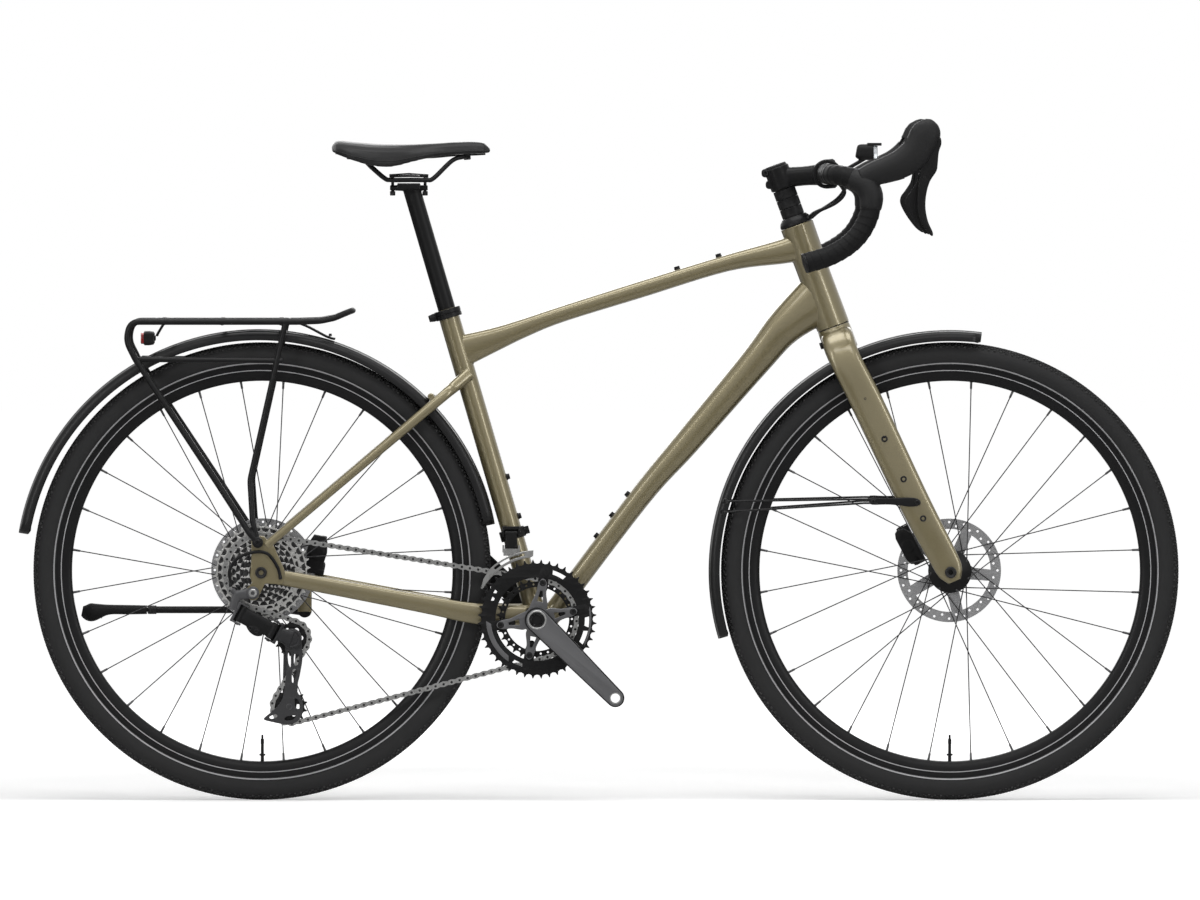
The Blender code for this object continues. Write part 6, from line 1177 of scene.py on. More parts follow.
outer_shape = closed_curve(cage_points([(-12.5, 0.0), (-9, 9.5), (7.5, 15), (31, 17.2), (57, 14.2),
                                        (78.5, 10.6), (92, 18), (106, 21.5), (122, 18), (131, 8), (133, -6.7),
                                        (130.5, -25), (126.5, -38.5), (116.5, -29), (106, -18.5), (93.5, -11),
                                        (78.5, -8.8), (56, -7), (33, -7), (15, -10.5), (-6, -10.5)]), 5)
cut_outs = [closed_curve(cage_points(shape), 4)
            for shape in ([(25, 4.5), (27, 11.5), (40, 10.8), (41, 5)],
                          [(22.5, -6), (24, -1.5), (43, -0.5), (43, -3.2)],
                          [(49, 3), (50, 9.8), (66, 6.2), (67, 2.5)],
                          [(93, 8), (96, 14), (109, 15.5), (106, 9.5)],
                          [(119, 10), (125.5, 6), (127, -6), (121.5, -4)],
                          [(118, -20), (122.5, -29.5), (125.5, -26.5), (122.5, -18)])]
hub_hole = [disc_edge(TENSION, 3.6, 20)]
parts = [stamped("outer", [outer_shape] + cut_outs + hub_hole, CAGE_OUT + 0.8, 1.6, 0.4, 2)]
inner_shape = arm_outline(GUIDE, TENSION, 13, 11)
slots = [closed_curve(cage_points([(20, -5), (20, 5), (48, 4), (48, -4)]), 4),
         closed_curve(cage_points([(56, -4), (56, 4), (82, 3.6), (82, -3.6)]), 4)]
parts.append(stamped("inner", [inner_shape] + slots, CHAIN_COG_Y + 5, 1.6, 0.4, 2))
cage = bmesh.new()
for mesh in parts:
    cage.from_mesh(mesh)
for centre in (GUIDE, TENSION):
    spun(cage, centre + SIDE * (CHAIN_COG_Y - 6.2), SIDE,
         [(3, 0), (4.8, 0.2), (4.8, 0.6), (3.5, 0.8), (3.5, 11.6), (2, 12)], 32)
cage_grey = coated("pressed_cage_grey", (0.048, 0.048, 0.05), 0.36, metallic=0.3, grain_size=1400.0,
                   bare=0.24, rub=0.4, specular=0.2)
fitted("rear_shifter_cage", cage, cage_grey, "rear_cage", "satin_black", "rd_cage")
moulded = coated("moulded_black", (0.01, 0.01, 0.0103), 0.48, grain=1.0, grain_size=650.0, bump=0.05,
                 bare=0.07)
for name, node, centre in (("guide_wheel", "guide_pulley", GUIDE),
                           ("tension_wheel", "tension_pulley", TENSION)):
    outlines = [toothed(centre, PULLEY_TEETH, 2), disc_edge(centre, 3.9, 24)]
    for k in range(6):
        outlines.append(disc_edge(centre + direction(math.pi * k / 3) * 13.5, 3.6, 18))
    finish(from_meshes(f"{name}_moulding", [stamped("pulley", outlines, CHAIN_COG_Y, 2, 0.3, 1)]), moulded,
           name, "black_plastic", node)


def housing(name, points, body, node):
    """A cable's housing along its route, with a ferrule at each end."""
    bm = bmesh.new()
    route = eased(points, 8)
    bar(bm, route, 2.5, 20, (route[1] - route[0]).orthogonal())
    for tip, inner in ((route[0], route[4]), (route[-1], route[-5])):
        run = (inner - tip).normalized()
        spun(bm, tip, run, [(2.4, 0), (2.9, 0.4), (2.9, 5), (2.5, 5.6)], 20)
    finish(made_mesh(name, bm, 40), housing_skin, body, "cable_plastic", node)


housing_skin = coated("cable_sheath", (0.009, 0.009, 0.0093), 0.38, grain_size=1500.0, patchiness=0.08)
y = -(SIDE_FACE + 2.8)
housing("rear_shift_housing",
        [REAR_AXLE + step(30, y, -10), REAR_AXLE + step(25.5, y, 8), REAR_AXLE + step(10, y - 2, 29),
         REAR_AXLE + step(-12, y - 3.5, 31.5), REAR_AXLE + step(-36, y - 2.5, 22),
         REAR_AXLE + step(-48, y, 4), CABLE_STOP + step(-2, y, 13), CABLE_STOP + step(-1.2, y, 4.4)],
        "main_frame", "rear_shift_cable")


# Calipers: cast two-piston bodies, one standing on the left chain stay and one behind the left
# fork blade, split round the disc, each with its hose fitting and two mounting screws.
def caliper(name, node, seat, axes, size, rotor_centre, body):
    """A caliper standing on its seat along the first axis."""
    out, _, line = axes
    bm = bmesh.new()
    for side in (-1, 1):
        y = SIDE * (side * (size[1] / 2 - 6.2))
        foot, top = seat + y, seat + out * size[0] + y
        steps = [foot + out * 3, foot.lerp(top, 0.3), foot.lerp(top, 0.55), foot.lerp(top, 0.8),
                 top - out * 3]
        wide = size[2] / 2
        bar(bm, steps, [(5.2, wide * 0.97), (5.2, wide * 0.8), (5.4, wide * 0.92), (5.2, wide * 0.8),
                        (4.6, wide * 0.55)], 28, SIDE, 0.6)
        piston = seat + out * (size[0] * 0.52)
        spun(bm, piston + SIDE * side * 4, SIDE * side,
             [(10, 0), (min(wide, size[0] / 2) * 0.74, 1), (min(wide, size[0] / 2) * 0.74, size[1] / 2 - 5.2),
              (9, size[1] / 2 - 4.1)], 36)
    slab(bm, seat + out * 4, (8, size[1] * 0.94, size[2] * 0.94), axes)
    for end in (-1, 1):
        foot = seat + line * (end * (size[2] / 2 - 5.5)) + out * 0.5
        capped(bm, foot, foot + out * min(16, size[0] * 0.6), 5.2, 24, 1)
    banjo = seat + out * (size[0] * 0.8) + SIDE * (size[1] / 2 - 7) + line * (size[2] * 0.2)
    capped(bm, banjo, banjo + out * (size[0] * 0.16), 4.2, 24, 0.8)
    shell = melted(made_mesh(name, bm), 0.9, 3)
    slot = bmesh.new()
    spun(slot, rotor_centre - SIDE * 2, SIDE, [(82, 0), (82, 4)], 96)
    finish(carved(shell, slot), cast_black, body, "satin_black", node)
    bm = bmesh.new()
    for end in (-1, 1):
        foot = seat + line * (end * (size[2] / 2 - 5.5)) + out * min(16.2, size[0] * 0.6)
        screw(bm, foot, out, 4.2, 3.4)
    for side in (-1, 1):
        face = seat + out * (size[0] * 0.52) + SIDE * (side * (size[1] / 2 - 4.2))
        spun(bm, face, SIDE * side, [(7.2, 0), (7.6, 0.8), (7, 1.4), (4, 1.4), (3.6, 0.6)], 28)
    fitted(f"{name}_screws", bm, blackened, body, "satin_black")


foot = REAR_AXLE + step(65, 0, -14)
line = (BB + step(-179, 0, 24) - foot).normalized()
normal = SIDE.cross(line)
normal = normal if normal.z > 0 else -normal
seat = foot + line * 10 + normal * (11.7 * 0.93 + 0.3)
seat.y = 56
caliper("rear_caliper_casting", "rear_caliper", seat, (normal, SIDE, line), (62, 34, 34),
        REAR_AXLE + SIDE * REAR_DISC_Y, "main_frame")
upper, lower = leg_point(LEGS[4], 1), leg_point(LEGS[5], 1)
line = step(lower.x - upper.x, 0, lower.z - upper.z).normalized()
back = SIDE.cross(line)
back = back if back.x < 0 else -back
seat = upper.lerp(lower, 0.62) + back * (25.2 + (23.5 - 25.2) * 0.62 + 0.3)
seat.y = 44
caliper("front_caliper_casting", "front_caliper", seat, (back, SIDE, line), (30, 36, 66),
        FRONT_AXLE + SIDE * FRONT_DISC_Y, "steering")


# Headset and stem: a low black cover and three spacers under a forged stem, which grips the
# steerer with two screws behind and the bar with a faceplate on four screws.
STEM_CENTRE = HEAD_TOP + STEER_AXIS * 77
BAR_CENTRE = STEM_CENTRE + step(72.4, 0, 6.1)
STEM_RUN = (BAR_CENTRE - STEM_CENTRE).normalized()
STEM_UP = -STEM_RUN.cross(SIDE) if STEM_RUN.cross(SIDE).z < 0 else STEM_RUN.cross(SIDE)
bm = bmesh.new()
spun(bm, HEAD_TOP, STEER_AXIS, [(14.6, 0.3), (24, 0.3), (25.4, 1.2), (25.4, 4), (23.8, 8.5), (20.5, 12.4),
                                (19, 14), (17.8, 14.2), (14.6, 14.2)], 72, True)
for k in range(3):
    low = 14.3 + k * 14.8
    spun(bm, HEAD_TOP, STEER_AXIS, [(14.6, low + 0.1), (16.9, low + 0.1), (17.5, low + 0.7), (17.5, low + 14),
                                    (16.9, low + 14.6), (14.6, low + 14.6)], 56, True)
fitted("headset_cover_and_spacers", bm, satin, "steering", "satin_black", "headset_stack")
bm = bmesh.new()
low, high = STEM_CENTRE - STEER_AXIS * 17.8, STEM_CENTRE + STEER_AXIS * 17.8
capped(bm, low, high, 19.3, 64, 1.6)
bar(bm, eased([STEM_CENTRE, STEM_CENTRE.lerp(BAR_CENTRE, 0.5), BAR_CENTRE - STEM_RUN * 5], 4),
    [(16.5, 16), (16, 15.8), 15.5, 15, 14.8, (15.2, 15), 15.8, (16.4, 16.8), (17.2, 17.6)], 48, SIDE, 0.66)
capped(bm, BAR_CENTRE - SIDE * 22.8, BAR_CENTRE + SIDE * 22.8, 22.6, 64, 1.4)
for rise in (-9.5, 9.5):
    lug = STEM_CENTRE - STEM_RUN * 19 + STEER_AXIS * rise
    bar(bm, [lug - SIDE * 10.5, lug, lug + SIDE * 10.5], [(6.2, 6.6)] * 3, 28, STEM_RUN, 0.8)
stem = melted(made_mesh("forged_stem", bm), 1.1, 5)
bar_bore, front, steerer_bore, split = (bmesh.new() for _ in range(4))
spun(bar_bore, BAR_CENTRE - SIDE * 50, SIDE, [(16.4, 0), (16.4, 100)], 64)
slab(front, BAR_CENTRE + STEM_RUN * 50.5, (100, 200, 100), (STEM_RUN, SIDE, STEM_UP))
spun(steerer_bore, low - STEER_AXIS * 20, STEER_AXIS, [(14.6, 0), (14.6, 90)], 64)
slab(split, STEM_CENTRE - STEM_RUN * 23, (30, 2, 60), (STEM_RUN, SIDE, STEM_UP))
finish(carved(stem, bar_bore, front, steerer_bore, split), satin, "steering", "satin_black", "stem")
bm = bmesh.new()
capped(bm, BAR_CENTRE - SIDE * 22.8, BAR_CENTRE + SIDE * 22.8, 22.6, 64, 1.4)
for side in (-1, 1):
    for rise in (-1, 1):
        lug = BAR_CENTRE + SIDE * side * 16 + STEM_UP * (rise * 17)
        capped(bm, lug - STEM_RUN * 10, lug + STEM_RUN * 12, 5.6, 24, 1)
plate = melted(made_mesh("stem_clamp_plate", bm), 0.9, 4)
bar_bore, rear = bmesh.new(), bmesh.new()
spun(bar_bore, BAR_CENTRE - SIDE * 50, SIDE, [(16.4, 0), (16.4, 100)], 64)
slab(rear, BAR_CENTRE - STEM_RUN * 49.7, (100, 200, 100), (STEM_RUN, SIDE, STEM_UP))
finish(carved(plate, bar_bore, rear), satin, "steering", "satin_black", "stem_faceplate")
bm = bmesh.new()
for side in (-1, 1):
    for rise in (-1, 1):
        screw(bm, BAR_CENTRE + SIDE * side * 16 + STEM_UP * (rise * 17) + STEM_RUN * 12, STEM_RUN, 3.4, 2)
for side, rise in ((-1, 9.5), (1, -9.5)):
    lug = STEM_CENTRE - STEM_RUN * 19 + STEER_AXIS * rise + SIDE * side * 10
    screw(bm, lug, SIDE * side, 4, 4.4)
spun(bm, high, STEER_AXIS,
     [(16.8, 0), (17, 1.4), (16, 3.6), (12, 4.2), (5.2, 4.2), (4.8, 2.2), (2.6, 2.2), (2.4, 0.6)], 56)
fitted("stem_cap_and_screws", bm, blackened, "steering", "satin_black")


# Handlebar: a drop bar in black alloy, padded tape wound from the ends up to the clamp with each
# turn lapping the last, finishing strips, and a plug in each end.
BAR_ROUTE = [(0, 70, 0), (2, 150, 0), (12, 186, -1), (35, 206, -5.5), (54, 212, -15),
             (64, 215, -32), (63, 217, -53), (56, 218, -74), (43, 220, -94), (24, 222, -111), (-2, 226, -125),
             (-34.4, 230, -134.5)]
tape_skin = coated("bar_tape", (0.014, 0.014, 0.0143), 0.46, grain=1.0, grain_size=420.0, patchiness=0.22,
                   tone=0.3, bump=0.06, specular=0.05)


def bar_point(x, z, y=0.0):
    """A point given from the middle of the bar's clamp."""
    return BAR_CENTRE + step(x, y, z)


bm = bmesh.new()
grip = [bar_point(0, 0, y) for y in (-72, -58, -46, -36, 0, 36, 46, 58, 72)]
bar(bm, grip, (11.9, 12.2, 14, 15.8, 15.9, 15.8, 14, 12.2, 11.9), 56, UP)
for side in (-1, 1):
    tip = bar_point(-34.4, -134.5, side * 230)
    run = (tip - bar_point(-2, -125, side * 226)).normalized()
    spun(bm, tip - run * 4, run, [(11, 0), (11, 4.2), (15.2, 4.4), (15.7, 6), (14.8, 8.4), (11, 9), (4, 9.2)],
         40)
fitted("drop_bar", bm, satin, "steering", "satin_black", "handlebar")
TAPE_PITCH = 12.5
for name, side in (("left", 1), ("right", -1)):
    route = eased([bar_point(x, z, side * y) for x, y, z in BAR_ROUTE], 40)
    steps = [route[0]]
    for here in route[1:]:
        if (here - steps[-1]).length > 0.85:
            steps.append(here)
    frames, rings, walked = carried(steps, UP), [], 0.0
    for i, (centre, across, other) in enumerate(frames):
        walked += (steps[i] - steps[i - 1]).length if i else 0.0
        ring = []
        for k in range(40):
            turn = 2 * math.pi * k / 40
            lap = (walked / TAPE_PITCH + side * k / 40) % 1.0
            swell = 0.85 * (lap ** 1.6) if lap < 0.93 else 0.85 * (1 - lap) / 0.07
            crease = 0.12 * math.sin(7 * turn + walked * 0.09)
            radius = 15 + swell + crease
            ring.append(centre + (across * math.cos(turn) + other * math.sin(turn)) * radius)
        rings.append(ring)
    start = frames[0]
    bm = bmesh.new()
    lead = [[start[0] + (p - start[0]) * share for p in rings[0]] for share in (0.81, 0.97)]
    walls(bm, lead + rings[1:])
    finish(made_mesh(f"wound_tape_{name}", bm, 60), tape_skin, "steering", "tape", f"bar_tape_{name}")
    bm = bmesh.new()
    band = [bar_point(0, 0, side * (69 + 1.2 * k)) for k in range(9)]
    bar(bm, band, [12.8] + [(15.9 + 0.1 * math.sin(k), 15.9) for k in range(7)] + [15], 48, UP)
    finish(made_mesh(f"finishing_strip_{name}", bm, 40), tape_skin, "steering", "tape")


# Control levers: ribbed rubber hoods stretched over moulded bodies, pressed brake levers hinged
# high up inside them, and the shift paddle behind each.
hood_rubber = coated("hood_rubber", (0.016, 0.016, 0.0164), 0.48, grain=1.0, grain_size=520.0,
                     patchiness=0.14, bump=0.05)
BLADE_THICK, PADDLE_THICK = 11, 3.5
HOOD = [(50, -6, 15, 15), (68, 1, 18.2, 15.5), (90, 8, 20.5, 15.8), (112, 17, 22.8, 15.6),
        (130, 31, 23.8, 15), (140, 47, 23.2, 14.2), (147, 62, 23.2, 13.2), (150, 73.5, 19, 11.2),
        (151.2, 81, 11, 7.4), (151.6, 84.6, 3.6, 2.8)]
LEVER = [(140, 36), (150, 45), (160, 56), (169, 57), (171.2, 47), (167.2, 34), (165.5, 16), (163.5, 5),
         (153.5, -11), (148, -31), (147, -52), (151, -72), (158, -88), (157, -94), (150, -88), (140, -74),
         (134.5, -53), (134.5, -29), (137.5, -8), (138.5, 10), (137, 24)]
GROOVE = [(142, -6), (150, -10), (142.5, -50), (146, -74), (139, -56)]
PADDLE = [(136, 0), (133, -13), (125, -26), (118, -36), (117.5, -47), (126, -64), (141, -84), (153, -91),
          (142, -70), (137, -48), (137, -20), (139, 0)]
for name, side in (("left", 1), ("right", -1)):
    y = side * 213
    bm = bmesh.new()
    path = eased([bar_point(x, z, y) for x, z, _, _ in HOOD], 6)
    bar(bm, path, eased([(w, d) for _, _, d, w in HOOD], 6), 48, SIDE, 0.86)
    collar = [bar_point(x, z, side * w) for x, w, z in BAR_ROUTE[3:7]]
    bar(bm, eased(collar, 4), [15.8, 17.2, 18, 18.4, 18.6, 18.6, 18.6, 18.6, 18.4, 18.2, 17.6, 17, 16], 40,
        UP)
    hood = melted(made_mesh(f"rubber_hood_{name}", bm), 1.1, 6)
    slot = bmesh.new()
    outer, inner = 6.1, 10.2
    slab(slot, bar_point(160, 22, y + side * (outer - inner) / 2), (90, outer + inner, 68))
    finish(carved(hood, slot), hood_rubber, "steering", "hood_rubber", f"lever_hood_{name}")
    bm = bmesh.new()
    for k in range(7):
        rib = bar_point(64 + 5 * k, 12.5 + 1.6 * k, y)
        bar(bm, [rib - SIDE * 8.5, rib + UP * 0.6, rib + SIDE * 8.5], [0.6] * 3, 10, UP)
    pin = bar_point(143, 34.5, y)
    for end in (-1, 1):
        spun(bm, pin + SIDE * end * 12.8, SIDE * end,
             [(2.6, -4), (3, 0.6), (2.4, 1.2), (1.2, 1.2), (1.1, 0.0)], 20)
    fitted(f"hood_ribs_{name}", bm, hood_rubber, "steering", "hood_rubber")
    blade = stamped("blade", [closed_curve([bar_point(x, z) for x, z in LEVER], 4)], y, BLADE_THICK, 2.6, 4)
    groove = closed_curve([bar_point(x, z) for x, z in GROOVE], 4)
    groove = stamped("groove", [groove], y + side * 5.2, 1.2, 0.4, 2)
    finish(from_meshes(f"brake_blade_{name}", [blade, groove]), cast_black, f"lever_{name}", "satin_black",
           f"brake_lever_{name}")
    inner = y - side * (BLADE_THICK / 2 + 0.6 + PADDLE_THICK / 2)
    pad = stamped("pad", [closed_curve([bar_point(x, z) for x, z in PADDLE], 4)], inner, PADDLE_THICK, 1, 3)
    finish(from_meshes(f"shift_blade_{name}", [pad]), cast_black, f"paddle_{name}", "satin_black",
           f"shift_paddle_{name}")


# Hoses and shift housings: four black lines that leave the tape beside the clamp, swing round in
# front of the bar and drop into the headset cover.
def cable_entry(turn, out):
    """A point in front of the headset cover's side, turned sideways from its front."""
    outward = STEER_FORE * math.cos(turn) + SIDE * math.sin(turn)
    return HEAD_TOP + STEER_AXIS * 4.4 + outward * (23.5 * math.cos(math.pi / 14) + out)


line_seat = 12 * math.cos(math.pi / 8) + 3.1
low = line_seat * math.sqrt(0.5)
for name, side in (("left", 1), ("right", -1)):
    hose = [bar_point(low, -low, side * 69.4), bar_point(low + 0.7, -low - 0.5, side * 60),
            bar_point(21.5, -17.5, side * 49), bar_point(26.5, -30, side * 38),
            bar_point(12.5, -45, side * 31)]
    shifter = [bar_point(line_seat, 0.0, side * 69.4), bar_point(line_seat + 0.9, -0.4, side * 60),
               bar_point(24, -7, side * 45), bar_point(28, -21, side * 30), bar_point(16, -38.5, side * 15)]
    for kind, route, turn in (("brake_hose", hose, 3 * math.pi / 14), ("shift_cable", shifter, math.pi / 14)):
        route += [cable_entry(side * turn, 18) + STEER_AXIS * 4, cable_entry(side * turn, 6),
                  cable_entry(side * turn, 0.6)]
        housing(f"{kind}_line_{name}", route, "steering", f"{kind}_{name}")


# Headlight: a small moulded lamp on an arm from the faceplate, with a visor and a clear lens over
# a bright bowl.
LIGHT = BAR_CENTRE + step(62, 0, 33.7)
bm = bmesh.new()
shell_points = [LIGHT + step(x, 0, z)
                for x, z in ((-17, 0.8), (-15.5, 0.6), (-11, 0.3), (-2, 0.0), (6, 0.0), (9.5, 0.0))]
bar(bm, eased(shell_points, 4),
    eased([(9, 7), (12.5, 9.8), (15, 11.8), (15.5, 12.4), (15.5, 12.4), (15.2, 12.1)], 4), 48, SIDE, 0.55)
foot = BAR_CENTRE + STEM_RUN * 23.3
bar(bm, eased([foot + UP * 2, foot + step(8, 0, 6), LIGHT - UP * 8], 6), [(8, 3)] * 13, 28, SIDE, 0.6)
slab(bm, LIGHT + step(11, 0, 12), (22, 28, 4.4))
shell = melted(made_mesh("headlight_shell", bm), 0.8, 4)
bowl = bmesh.new()
spun(bowl, LIGHT + FORWARD * 0.5, FORWARD, [(4, 0), (9.6, 9), (10, 20)], 48)
finish(carved(shell, bowl), moulded, "steering", "black_plastic", "headlight")
silvered = coated("silvered_bowl", (0.8, 0.8, 0.8), 0.1, metallic=1.0, grain=0.3, patchiness=0.03, tone=0.04,
                  bump=0.004, specular=0.5)
bm = bmesh.new()
spun(bm, LIGHT + FORWARD * 0.6, FORWARD, [(1, 0.2), (3.8, 0.4), (9.4, 9), (9.8, 9.6), (9.8, 8.8), (4.2, 0)],
     48)
finish(made_mesh("headlight_bowl", bm, 40), silvered, "steering", "steel")
lens_clear, tree, shader = new_material("clear_lens")
skin = place(tree, handled, Color=(0.7, 0.73, 0.75, 1), Roughness=0.05, Patchiness=0.03, Tone=0.02,
             Grain_Size=300.0, Grain=0.5)
ribs = add(tree, "TexWave", Vector=add(tree, "TexCoord").outputs["Object"], Scale=260.0,
           how={"bands_direction": "Y"})
dressed(tree, shader, skin, ribs.outputs["Fac"], 0.35, 0.0003, Transmission_Weight=0.55, IOR=1.46)
bm = bmesh.new()
bar(bm, [LIGHT + FORWARD * x for x in (9.7, 10.2, 14.8, 16)],
    [(13.8, 10.4), (14.2, 10.8), (13.8, 10.4), (12, 9)], 48, SIDE, 0.55)
finish(made_mesh("headlight_lens", bm, 40), lens_clear, "steering", "black_plastic")


# Mudguards: long satin black blades rolled over the tyres, ridged along their middle and turned
# in at the edges; the front one is tied back to the fork by two pairs of wires.
guard_skin = coated("guard_laminate", (0.012, 0.012, 0.0123), 0.3, tone=0.15, bare=0.06, specular=0.17)
GUARD_SHAPE = [(-16, 1), (-15, 1.004), (-10, 0.995), (-5, 0.955), (-2.2, 0.86), (-1, 0.64), (-0.2, 0.47),
               (0.6, 0.43), (0.6, 0.3), (-0.1, 0.25), (0.2, 0.1), (0.8, 0.045), (1, 0.0)]


def guard_blade(name, centre, radius_at, start, end, steps, body, node):
    """One blade: a rolled section carried round the wheel, rounded off towards both ends."""
    half = 28
    bm = bmesh.new()
    rings = []
    for k in range(steps + 1):
        angle = start + (end - start) * k / steps
        away = min(k, steps - k) / steps * (end - start) * 370
        trim = math.sqrt(max(0.0, 1 - (1 - min(1.0, away / 18)) ** 2)) * 0.42 + 0.58
        outer = [(r * (0.55 + 0.45 * trim), y * trim) for r, y in GUARD_SHAPE]
        outer = outer + [(r, -y) for r, y in outer[-2::-1]]
        inner = [(r - (1.4 if abs(y) < 0.9 else 0.0), y * (0.955 if abs(y) > 0.5 else 1.0))
                 for r, y in outer[::-1]]
        rings.append([centre + direction(angle) * (radius_at(angle) + r) + SIDE * (y * half)
                      for r, y in outer + inner])
    walls(bm, rings)
    finish(made_mesh(name, bm, 50), guard_skin, body, "guard_plastic", node)


def rear_reach(angle):
    """The rear blade's radius, which opens towards its tail."""
    return 371.8 + 16 * (angle - math.pi / 2) / math.pi


guard_blade("rear_guard_blade", REAR_AXLE, rear_reach, math.radians(11.5), math.radians(171), 190,
            "main_frame", "rear_mudguard")
guard_blade("front_guard_blade", FRONT_AXLE, lambda angle: 370.5, math.radians(82.4), math.radians(196.3),
            140, "steering", "front_mudguard")
bm = bmesh.new()
for side in (-1, 1):
    outer = leg_face(300, side)
    y = outer.y + side * 2
    start, end = step(outer.x + 6, y, outer.z + 4), step(outer.x - 72, y, outer.z + 6)
    bar(bm, eased([start, start.lerp(end, 0.5) + UP * 0.6, end], 6),
        [(1.4, s) for s in (3, 5.8, 6.8, 7, 6.6, 6, 5.4, 5, 5, 5.2, 5.6, 5.4, 3.6)], 24, SIDE, 0.5)
    screw(bm, start + SIDE * side - FORWARD * 4, SIDE * side, 4, 2.6)
    screw(bm, end + SIDE * side + FORWARD * 6, SIDE * side, 3.2, 2.4)
    for rise, turn in ((3, math.radians(164) - 0.024), (-3, math.radians(164) + 0.024)):
        foot = FRONT_AXLE + direction(turn) * 362.5
        foot.y = side * 27.8
        wire = end + step(12, 0, rise)
        near = foot.lerp(wire, 0.04)
        bar(bm, [wire, wire - FORWARD * 20, near, foot], 1.6, 14, UP)
        spun(bm, foot + SIDE * side * 0.2, SIDE * side,
             [(4.4, 0), (4.6, 0.8), (4, 1.4), (2, 1.4), (1.8, 0.6)], 20)
finish(made_mesh("front_guard_wires", bm, 40), blackened, "steering", "satin_black")


# Rack and tail light: one tube bent round the deck and down both sides, braced by inner legs and
# cross bars, powder coated black, with a deck plate, a bracket behind and the red lamp.
powder = coated("powder_black", (0.009, 0.009, 0.0093), 0.32, grain=0.9, grain_size=1000.0, patchiness=0.08,
                bump=0.025, bare=0.1, rub=0.25, specular=0.15)
RACK_TOP = 384.8


def rack_point(x, z, y):
    """A point given from the rear axle."""
    return REAR_AXLE + step(x, y, z)


def both_halves(points):
    """A route that ends on the middle plane, joined to its mirror image."""
    return points + [step(p.x, -p.y, p.z) for p in points[-2::-1]]


def bent(points, radius):
    """Straight runs with each corner turned round a bending die of the given radius."""
    route = [points[0]]
    for before, corner, after in zip(points, points[1:], points[2:]):
        into, out = corner - before, after - corner
        cut = min(radius * math.tan(into.angle(out) / 2), into.length * 0.49, out.length * 0.49)
        first, last = corner - into.normalized() * cut, corner + out.normalized() * cut
        route += [first.lerp(corner, k / 8).lerp(corner.lerp(last, k / 8), k / 8) for k in range(9)]
    return route + [points[-1]]


foot_y = 84.6
rail = [(-6, 46.5, foot_y), (-17, 60, foot_y), (-65, 134, 74.5), (-193, 327, 62), (-207.5, 356, 60),
        (-201, RACK_TOP, 60), (54, RACK_TOP, 60), (90, RACK_TOP + 1.2, 53), (112, 390.5, 40),
        (127, 396.8, 25), (137, 400.8, 11), (140, 401.8, 0.0)]
bm = bmesh.new()
half_rail = [rack_point(*p) for p in rail]
bar(bm, bent(both_halves(half_rail), 36), 4.9, 24, FORWARD)
for side in (-1, 1):
    leg = [(-5, 46.5, foot_y), (-13, 80, foot_y - 1), (-17, 142, 73.5), (37, 383, 60)]
    bar(bm, bent([rack_point(x, z, side * y) for x, z, y in leg], 45), 4.4, 24, FORWARD)
    bar(bm, [rack_point(-187, 327, side * 62), rack_point(33, 325, side * 62.2)], 4.2, 20, UP)
    capped(bm, rack_point(-5, 46.5, side * 79.3), rack_point(-5, 46.5, side * 89.4), 8.4, 32, 1.2)
for x in (-150, -60, 30):
    bar(bm, [rack_point(x, RACK_TOP - 1.5, -60), rack_point(x, RACK_TOP - 1.5, 60)], 4.2, 20, UP)
hanger_points = [rack_point(28, RACK_TOP - 1.5, 0), rack_point(60, RACK_TOP - 4, 0)]
for x in (98, 112):
    turn = math.acos(x / 372.8)
    hanger_points.append(REAR_AXLE + direction(turn) * (rear_reach(turn) + 4.5))
bar(bm, eased(hanger_points, 6), [(9, 2)] * 19, 24, SIDE, 0.4)
bar(bm, eased([rack_point(-150, RACK_TOP - 1.5, 0), rack_point(-160, RACK_TOP - 18, 0),
               rack_point(-162, RACK_TOP - 23, 0)], 5), [(11, 2)] * 11, 24, SIDE, 0.4)
finish(melted(made_mesh("rack_tubes", bm), 1.2, 3), powder, "main_frame", "satin_black", "rack")
bm = bmesh.new()
deck = rack_point(-60, RACK_TOP + 3.7, 0)
for y in (-16.5, -5.5, 5.5, 16.5):
    bar(bm, [deck + step(-104, y, 0), deck + step(-100, y, 0.6), deck + step(100, y, 0.6),
             deck + step(104, y, 0)], [(4, 1), (4.8, 1.5), (4.8, 1.5), (4, 1)], 20, SIDE, 0.4)
slab(bm, deck - UP * 0.6, (206, 38, 1))
for x in (-90, 0.0, 90):
    screw(bm, deck + step(x, 0, 0.2), UP, 3.4, 2.4)
for side in (-1, 1):
    screw(bm, rack_point(-5, 46.5, side * 89.3), SIDE * side, 4.6, 3.4)
    screw(bm, rack_point(105, 0.0, 0) + step(0, side * 4.5, 0) + UP * 364, UP, 2, 1.8)
fitted("rack_deck_plate", bm, powder, "main_frame", "satin_black")
lamp = rack_point(-173.5, RACK_TOP - 26, 0)
bm = bmesh.new()
bar(bm, [lamp + FORWARD * x for x in (-8, -7, 0.0, 6, 7.8)],
    [(23.8, 10), (25, 11), (25, 11), (23.5, 10), (19, 7.5)], 48, SIDE, 0.35)
for side in (-1, 1):
    capped(bm, lamp + step(7, side * 12, 0.0), lamp + step(9.5, side * 12, 0.0), 4, 20)
fitted("tail_lamp_body", bm, moulded, "main_frame", "black_plastic", "tail_light")
red_lens, tree, shader = new_material("red_lens")
cells = add(tree, "TexVoronoi", Vector=add(tree, "TexCoord").outputs["Object"], Scale=420.0)
skin = place(tree, handled, Color=(0.42, 0.01, 0.008, 1), Roughness=0.12, Patchiness=0.05, Tone=0.15,
             Grain_Size=500.0, Grain=0.4)
dressed(tree, shader, skin, cells.outputs["Distance"], 0.5, 0.0006, Coat_Weight=0.6)
bm = bmesh.new()
